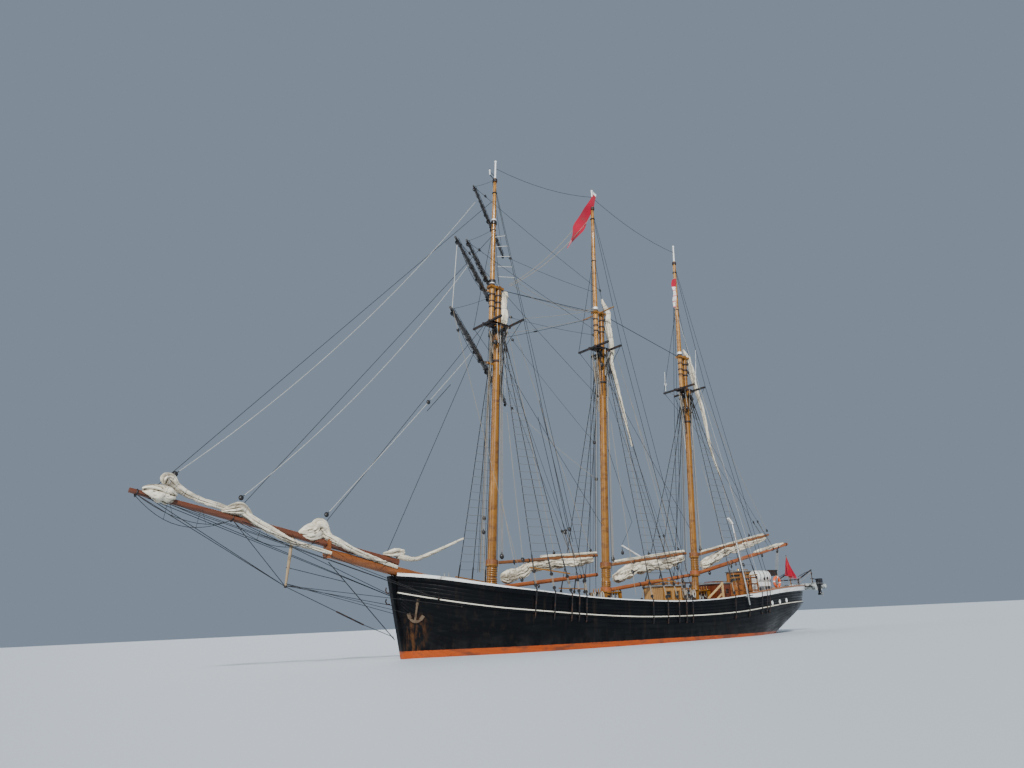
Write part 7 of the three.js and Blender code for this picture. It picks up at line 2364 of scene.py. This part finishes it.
def deck_fence(shape, side):
    """Posts and rails abreast of the mizzen mast."""
    y, top = side * FENCE["half"], FENCE["top"]
    for x in FENCE["posts"]:
        shape.beam((x, y, deck_height(x, y)), (x, y, top), 0.035, 0.035, "gaff_paint", up=AHEAD)
        shape.turned(FENCE_KNOB, (x, y, top), UP, 8, "gaff_paint")
    for z in FENCE["rails"]:
        shape.beam((FENCE["posts"][0], y, z), (FENCE["posts"][-1], y, z), 0.028, 0.04, "gaff_paint")


def lifebuoy(shape):
    """A ring in four orange parts with white bands between them, and its grab line."""
    buoy = Vector(LIFEBUOY["centre"])

    def on_ring(turn, radius):
        return buoy + Vector((radius * math.cos(turn), 0, radius * math.sin(turn)))

    for k in range(8):
        orange = k % 2
        start = k // 2 * math.pi / 2 + (LIFEBUOY["band"] if orange else 0)
        path = [on_ring(start + (LIFEBUOY["bare"] if orange else LIFEBUOY["band"]) * i / 5,
                        LIFEBUOY["radius"])
                for i in range(6)]
        look = "buoy_orange" if orange else "white_shell"
        shape.tube(path, 0.038 if orange else 0.0388, 12, look, caps=False)
    turns = [2 * math.pi * i / 32 for i in range(33)]
    shape.tube([on_ring(a, LIFEBUOY["line"] * (1 + 0.06 * math.cos(4 * a))) for a in turns], LINE, 5,
               "hemp_rope")


def chart_box(shape):
    """The black box on legs beside the wheel, and the ensign's staff."""
    shape.box((-5.38, 0.86, 1.70), (-4.98, 1.13, 1.86), "iron_black")
    shape.box((-5.395, 0.845, 1.845), (-4.965, 1.145, 1.875), "iron_black")
    for x in (-5.34, -5.02):
        for y in (0.89, 1.10):
            shape.tube([(x, y, deck_height(x, y)), (x, y, 1.71)], 0.012, 6)
    shape.tube([(-7.645, 0, 1.37), (-7.56, 0, 2.41)], 0.013, 10, "long_varnish")
    shape.ball((-7.558, 0, 2.425), 0.016, "iron_black")


def davit_falls(shape):
    """Tackles from the davits' heads to the tender, and the guys that hold the heads."""
    for side in SIDES.values():
        x, y = DAVIT_HEAD[0], side * DAVIT_HEAD[1]
        head = Vector((x, y, DAVIT_HEAD[2]))
        for at, way in ((head - rises(0.09), 1), (Vector((x, y, 1.52)), -1)):
            pulley(shape, at, (0, 0, way), 0.05, "iron_black", "hemp_rope")
        for offset in (-0.022, 0.022):
            shape.tube([head + Vector((offset, 0, -0.1)), (x + offset, y, 1.54)], CORD, 5, "hemp_rope")
        shape.tube([(-7.46, y, 1.70), (-7.9, y, 1.84), head], 0.009, 6, "iron_black")
        shape.rope(head, (-7.47, y, 1.52), 0.05, CORD, "hemp_rope")


TENDER = {"x": -8.25, "apart": 0.28, "handles": (-0.35, 0.55)}


def tender_fittings():
    """Grab lines, rubbing strakes, bands, floor boards and thwarts of the tender."""
    boat = Shape("tube_fabric")
    for side in SIDES.values():
        x = TENDER["x"] + side * TENDER["apart"]
        ys = spaced(*TENDER["handles"], 6)
        for y in ys:
            boat.ball((x + side * 0.09, y, 1.43), (0.016, 0.03, 0.022), "motor_black", 4, 8)
        points = [(x + side * 0.108, y, 1.43) for y in ys]
        for a, b in zip(points, points[1:]):
            boat.rope(a, b, 0.03, LINE, "hemp_rope", steps=6)
        strake = x + side * 0.101
        boat.tube([(strake, -0.5, 1.385), (strake, 0.68, 1.385)], 0.014, 6, "motor_black")
        for y in (-0.42, -0.05, 0.32, 0.6):
            boat.hoop((x, y, 1.39), TO_PORT, 0.099, 0.004, 5, 24, "motor_black", 3)
    for y in spaced(-0.5, 0.48, 7):
        boat.box((-8.46, y - 0.045, 1.381), (-8.04, y + 0.045, 1.389), "old_canvas")
    for y in (-0.2, 0.25):
        boat.box((-8.44, y - 0.07, 1.465), (-8.06, y + 0.07, 1.49), "old_canvas")
    boat.piece("tender_fittings", SHIP, "tube_fabric", angle=45)


def outboard_fittings():
    """The motor's plate, tiller, clamp and screw."""
    motor = Shape("motor_black")
    motor.box((-8.318, 0.572, 1.47), (-8.182, 0.763, 1.485), "galvanised")
    motor.tube([(-8.25, 0.60, 1.60), (-8.25, 0.42, 1.64), (-8.25, 0.36, 1.64)], 0.014, 8)
    motor.box((-8.31, 0.53, 1.43), (-8.19, 0.59, 1.52), "galvanised")
    boss = Vector((-8.25, 0.735, 1.13))
    for c, s in circle(3):
        blade = Vector((c, 0, s))
        motor.beam(boss + blade * 0.01, boss + blade * 0.075, 0.04, 0.006, "galvanised", up=(0.3, 1, 0))
    motor.turned(((0.022, -0.02), (0.022, 0.02), (0.006, 0.035)), (-8.25, 0.73, 1.13), TO_PORT, 10,
                 "galvanised")
    motor.piece("outboard_fittings", SHIP, "motor_cover", angle=45)


def build_stern():
    """Guard rails, lifebuoy, fence, gangway spars, ports and the gear of the davits."""
    dress("davits", "iron_black")
    dress("tender", "tube_fabric")
    dress("outboard", "motor_black", 0.018)
    shape = Shape("galvanised")
    for side in SIDES.values():
        guard_rail(shape, side)
        quarter_ports(shape, side)
        deck_fence(shape, side)
    for start, end, wide, high, up in GANGWAY_SPARS:
        shape.beam(start, end, wide, high, "pale_spar", up)
    shape.tube(CHAFE_TUBE, 0.022, 8)
    head = Vector(CHAFE_TUBE[0])
    shape.beam(head, head + Vector((0.16, 0, 0.16)), 0.07, 0.05, "white_shell")
    lifebuoy(shape)
    chart_box(shape)
    davit_falls(shape)
    shape.piece("stern_fittings", SHIP, "iron", angle=45)
    tender_fittings()
    outboard_fittings()


# Aloft: trucks, bands, aerials, derrick and flags

POLE_TOP = 0.62
LAMP = ((0.012, 0), (0.02, 0.02), (0.02, 0.12), (0.024, 0.125), (0.024, 0.16), (0.006, 0.175))
LAMP_OFF = Vector((0.26, 0.14, 0.0))
BAND = 0.008
# The whip aerial, the short one and its ring, all on the mizzen spreader
WHIP = ((-3.679, 0.30, 8.969), (-3.60, 0.30, 8.40), (-3.49, 0.30, 7.756))
STUB = ((-3.096, -0.60, 8.372), (-3.069, -0.60, 7.72))
STUB_RING = (-3.08, -0.60, 7.95)
SPREADER_AFT, SPREADER_HEIGHT = -0.17, 7.66
DERRICK = ((0.077, 0.0, 2.633), (-0.609, 0.0, 2.336))


def pole_top(shape, name, mast):
    """White paint, the truck and the painted bands of one topmast."""
    low = mast.truck - POLE_TOP
    shape.tube([on_topmast(name, z) for z in (low, mast.truck - 0.02)], (0.030, 0.025), 12)
    shape.ball(on_topmast(name, mast.truck) - MAST_AXIS * 0.035, 0.042, "cap_white", 6, 12)
    for z, look, high in ((mast.truck - 0.66, "iron_black", 0.05), (mast.cap + 0.10, None, 0.045),
                          (mast.cap + 0.05, "iron_black", 0.03)):
        radius = 0.062 if z > mast.cap + 1 else 0.071
        shape.hoop(on_topmast(name, z), MAST_AXIS, radius, BAND, 6, 20, look, high / BAND)


def masthead_light(shape):
    """The small white light on two arms off the fore topmast's head."""
    top = aloft("fore", 0.24, 12.98)
    lamp = top + LAMP_OFF
    shape.turned(LAMP, lamp + rises(0.02), UP, 12, "white_shell")
    shape.ball(lamp + rises(0.19), (0.026, 0.026, 0.02), "iron_black", 4, 10)
    shape.tube([top, lamp + rises(0.02)], 0.011, 6, "iron_black")
    shape.tube([top + rises(0.14), lamp + rises(0.12)], 0.008, 6, "iron_black")


def aerials(shape):
    shape.tube(WHIP, (0.004, 0.007, 0.009), 6, "white_shell")
    shape.tube([WHIP[-1], aloft("mizzen", SPREADER_AFT, SPREADER_HEIGHT, 0.30)], 0.007, 6, "galvanised")
    shape.tube(STUB, (0.006, 0.010), 6, "white_shell")
    shape.hoop(STUB_RING, TO_PORT, 0.05, 0.007, 6, 18, "white_shell")
    shape.tube([STUB[-1], aloft("mizzen", SPREADER_AFT, SPREADER_HEIGHT, -0.60)], 0.008, 6, "galvanised")


def derrick_spar():
    """The white spar abaft the mainmast with its topping lift and block."""
    spar = Shape("cap_white")
    high, low = (Vector(end) for end in DERRICK)
    spar.tube([high, low], 0.026, 10)
    spar.tube([high + rises(0.02), (-0.40, 0, 3.31), aloft("main", -0.14, 5.4, 0.05)], 0.006, 5,
              "tarred_rope")
    spar.tube([high, high - rises(0.14)], 0.006, 5, "tarred_rope")
    pulley(spar, high - rises(0.20), UP, 0.06)
    spar.tube([low, low - Vector((0.03, 0, 0.06))], 0.014, 8, "spar_black")
    spar.piece("main_preventer_spar", SHIP, "white_wood", angle=45)


def build_mast_tops():
    """White pole tops, painted bands, the masthead light, aerials and the small derrick."""
    shape = Shape("cap_white")
    for name, mast in MASTS.items():
        pole_top(shape, name, mast)
    for z, look in ((11.68, None), (11.64, "iron_black")):
        shape.hoop(aloft("fore", 0.22, z), MAST_AXIS, 0.064, BAND, 6, 20, look, 3.2)
    masthead_light(shape)
    aerials(shape)
    shape.piece("mast_tops", SHIP, "white_wood", angle=45)
    derrick_spar()


def cloth_sheet(name, spot, across, along, look_of=None):
    """A flag: spot gives the place of each share across and along the cloth, cut to its own area."""
    shape = Shape("flag_red")
    rings = [[spot(i / across, j / along) for i in range(across + 1)] for j in range(along + 1)]
    shape.loft(rings, caps=False, loop=False, look_of=look_of)
    made = shape.piece(name, SHIP, "red_paint", angle=80)


PENNANT = {"head": (0.05, 0, 13.70), "tip": (1.335, 0, 11.46), "wide": 0.34}
ENSIGN = {"peak": (-7.56, 0, 2.36), "foot": ((-7.36, 0, 1.80), (-7.86, 0, 1.66)), "fold": 0.12,
          "long": 0.66}
MIZZEN_FLAG = {"top": (-2.976, 0.30, 11.30), "long": 1.0, "wide": 0.16}


def build_flags():
    """The long pennant at the main truck, the ensign on its staff and the limp flag on the mizzen."""
    head, tip = Vector(PENNANT["head"]), Vector(PENNANT["tip"])
    down = (tip - head).normalized()
    square = Vector((down.z, 0, -down.x)).normalized()

    def pennant(u, v):
        wide = PENNANT["wide"] * (0.45 + 0.55 * eased(v / 0.4)) * (1 - eased((v - 0.6) / 0.4) * 0.85)
        wave = 0.055 * math.sin(v * 9 + u * 1.4) + 0.03 * math.sin(v * 17 - u * 2)
        spot = head + down * ((tip - head).length * v)
        across = square * ((u - 0.5) * wide + 0.05 * math.sin(v * 5))
        return spot + across + Vector((0, wave * min(1, v * 4), 0))

    cloth_sheet("main_pennant", pennant, 10, 56,
                lambda i, j: "flag_white" if i < 2 else ("flag_pink" if i > 49 else "flag_red"))
    peak, foot = Vector(ENSIGN["peak"]), ENSIGN["foot"]

    def ensign(u, v):
        """u crosses the limp cloth from its near edge to its far one, v runs down from the peak."""
        gathered = 0.12 + 0.88 * v ** 0.8
        edge = Vector(foot[0]).lerp(Vector(foot[1]), u)
        fold = ENSIGN["fold"] * math.sin(4 * math.pi * u + 1.5 * v) * gathered
        return peak.lerp(edge, v) + Vector((0.03 * math.sin(7 * u + 3 * v) * v, fold, 0))

    cloth_sheet("ensign", ensign, 30, 22)
    start = Vector(MIZZEN_FLAG["top"])

    def limp(u, v):
        return start + Vector((0.10 * v + MIZZEN_FLAG["wide"] * (u - 0.5) * (0.5 + 0.3 * math.sin(7 * v)),
                               0.03 * math.sin(11 * v + 3 * u) + 0.05 * math.sin(4 * u),
                               -MIZZEN_FLAG["long"] * v))

    cloth_sheet("mizzen_flag", limp, 8, 26,
                lambda i, j: "flag_red" if i < 7 else ("flag_white" if i % 5 else "flag_pink"))
    lines = Shape("white_rope")
    lines.rope(on_topmast("mizzen", 12.1, 0.03), start, 0.0, 0.0035, steps=4)
    lines.rope(start - Vector((-0.1, 0, 1.0)), (-3.6, 1.72, 1.75), 0.02, 0.0035, steps=14)
    lines.rope(on_topmast("main", 13.7, 0.03), head, 0.0, 0.0035, steps=3)
    lines.piece("flag_halyards", SHIP, "steel_wire", angle=50)


# Operators

class SCHOONER_OT_stage(bpy.types.Operator):
    """Lays the pale floor at the waterline and sets the lights and the camera"""
    bl_idname = "schooner.stage"
    bl_label = "Stage"

    def execute(self, context):
        build_stage()
        return {"FINISHED"}


class SCHOONER_OT_hull(bpy.types.Operator):
    """Planks the hull, bulwarks and deck, and finishes keel, rails, rudder and screw"""
    bl_idname = "schooner.hull"
    bl_label = "Hull and deck"

    def execute(self, context):
        build_hull()
        return {"FINISHED"}


class SCHOONER_OT_spars(bpy.types.Operator):
    """Finishes masts, booms, gaffs, yards and bowsprit"""
    bl_idname = "schooner.spars"
    bl_label = "Spars"

    def execute(self, context):
        build_spars()
        return {"FINISHED"}


class SCHOONER_OT_sails(bpy.types.Operator):
    """Furls the gaff sails, headsails and topsails as lashed bundles of canvas"""
    bl_idname = "schooner.sails"
    bl_label = "Furled sails"

    def execute(self, context):
        build_spanker_sails()
        build_boom_roll()
        build_headsails()
        build_topsails()
        return {"FINISHED"}


class SCHOONER_OT_standing_rigging(bpy.types.Operator):
    """Sets up shrouds, ratlines, chainplates, backstays, stays and the bow rigging"""
    bl_idname = "schooner.standing_rigging"
    bl_label = "Standing rigging"

    def execute(self, context):
        build_shrouds()
        build_topmast_rigging()
        build_stays()
        build_bow_rigging()
        hoops_and_bands()
        return {"FINISHED"}


class SCHOONER_OT_running_rigging(bpy.types.Operator):
    """Reeves halyards, lifts, sheets and braces, and belays their falls"""
    bl_idname = "schooner.running_rigging"
    bl_label = "Running rigging"

    def execute(self, context):
        build_spanker_gear()
        build_yard_gear()
        build_ship_gear()
        build_pin_rails()
        return {"FINISHED"}


class SCHOONER_OT_deck(bpy.types.Operator):
    """Fits out the deckhouses, the wheel and the deck gear"""
    bl_idname = "schooner.deck"
    bl_label = "Houses and deck gear"

    def execute(self, context):
        build_houses()
        build_wheel()
        build_deck_gear()
        return {"FINISHED"}


class SCHOONER_OT_stern(bpy.types.Operator):
    """Fits out the stern, the davits and the tender"""
    bl_idname = "schooner.stern"
    bl_label = "Stern and tender"

    def execute(self, context):
        build_stern()
        return {"FINISHED"}


class SCHOONER_OT_mast_tops(bpy.types.Operator):
    """Paints and fits the mastheads and hangs the flags"""
    bl_idname = "schooner.mast_tops"
    bl_label = "Mastheads and flags"

    def execute(self, context):
        build_mast_tops()
        build_flags()
        return {"FINISHED"}


OPERATORS = (
    SCHOONER_OT_stage, SCHOONER_OT_hull, SCHOONER_OT_spars, SCHOONER_OT_sails, SCHOONER_OT_standing_rigging,
    SCHOONER_OT_running_rigging, SCHOONER_OT_deck, SCHOONER_OT_stern, SCHOONER_OT_mast_tops,
)


class SCHOONER_PT_panel(bpy.types.Panel):
    """Lists the schooner's pieces in the order they are built"""
    bl_idname = "SCHOONER_PT_panel"
    bl_label = "Topsail schooner"
    bl_space_type = "VIEW_3D"
    bl_region_type = "UI"
    bl_category = "Schooner"

    def draw(self, context):
        for operator in OPERATORS:
            self.layout.operator(operator.bl_idname)
        for group in (context.scene.schooner_colours, context.scene.schooner_sizes):
            box = self.layout.box()
            for key in group.bl_rna.properties.keys():
                if key not in ("rna_type", "name"):
                    box.prop(group, key)


CLASSES = (SchoonerColours, SchoonerSizes, *OPERATORS, SCHOONER_PT_panel)


def register():
    for made in CLASSES:
        bpy.utils.register_class(made)
    bpy.types.Scene.schooner_colours = bpy.props.PointerProperty(type=SchoonerColours)
    bpy.types.Scene.schooner_sizes = bpy.props.PointerProperty(type=SchoonerSizes)


def unregister():
    del bpy.types.Scene.schooner_colours
    del bpy.types.Scene.schooner_sizes
    for made in reversed(CLASSES):
        bpy.utils.unregister_class(made)


def main():
    register()
    for operator in OPERATORS:
        group, name = operator.bl_idname.split(".")
        getattr(getattr(bpy.ops, group), name)()


if __name__ == "__main__":
    main()
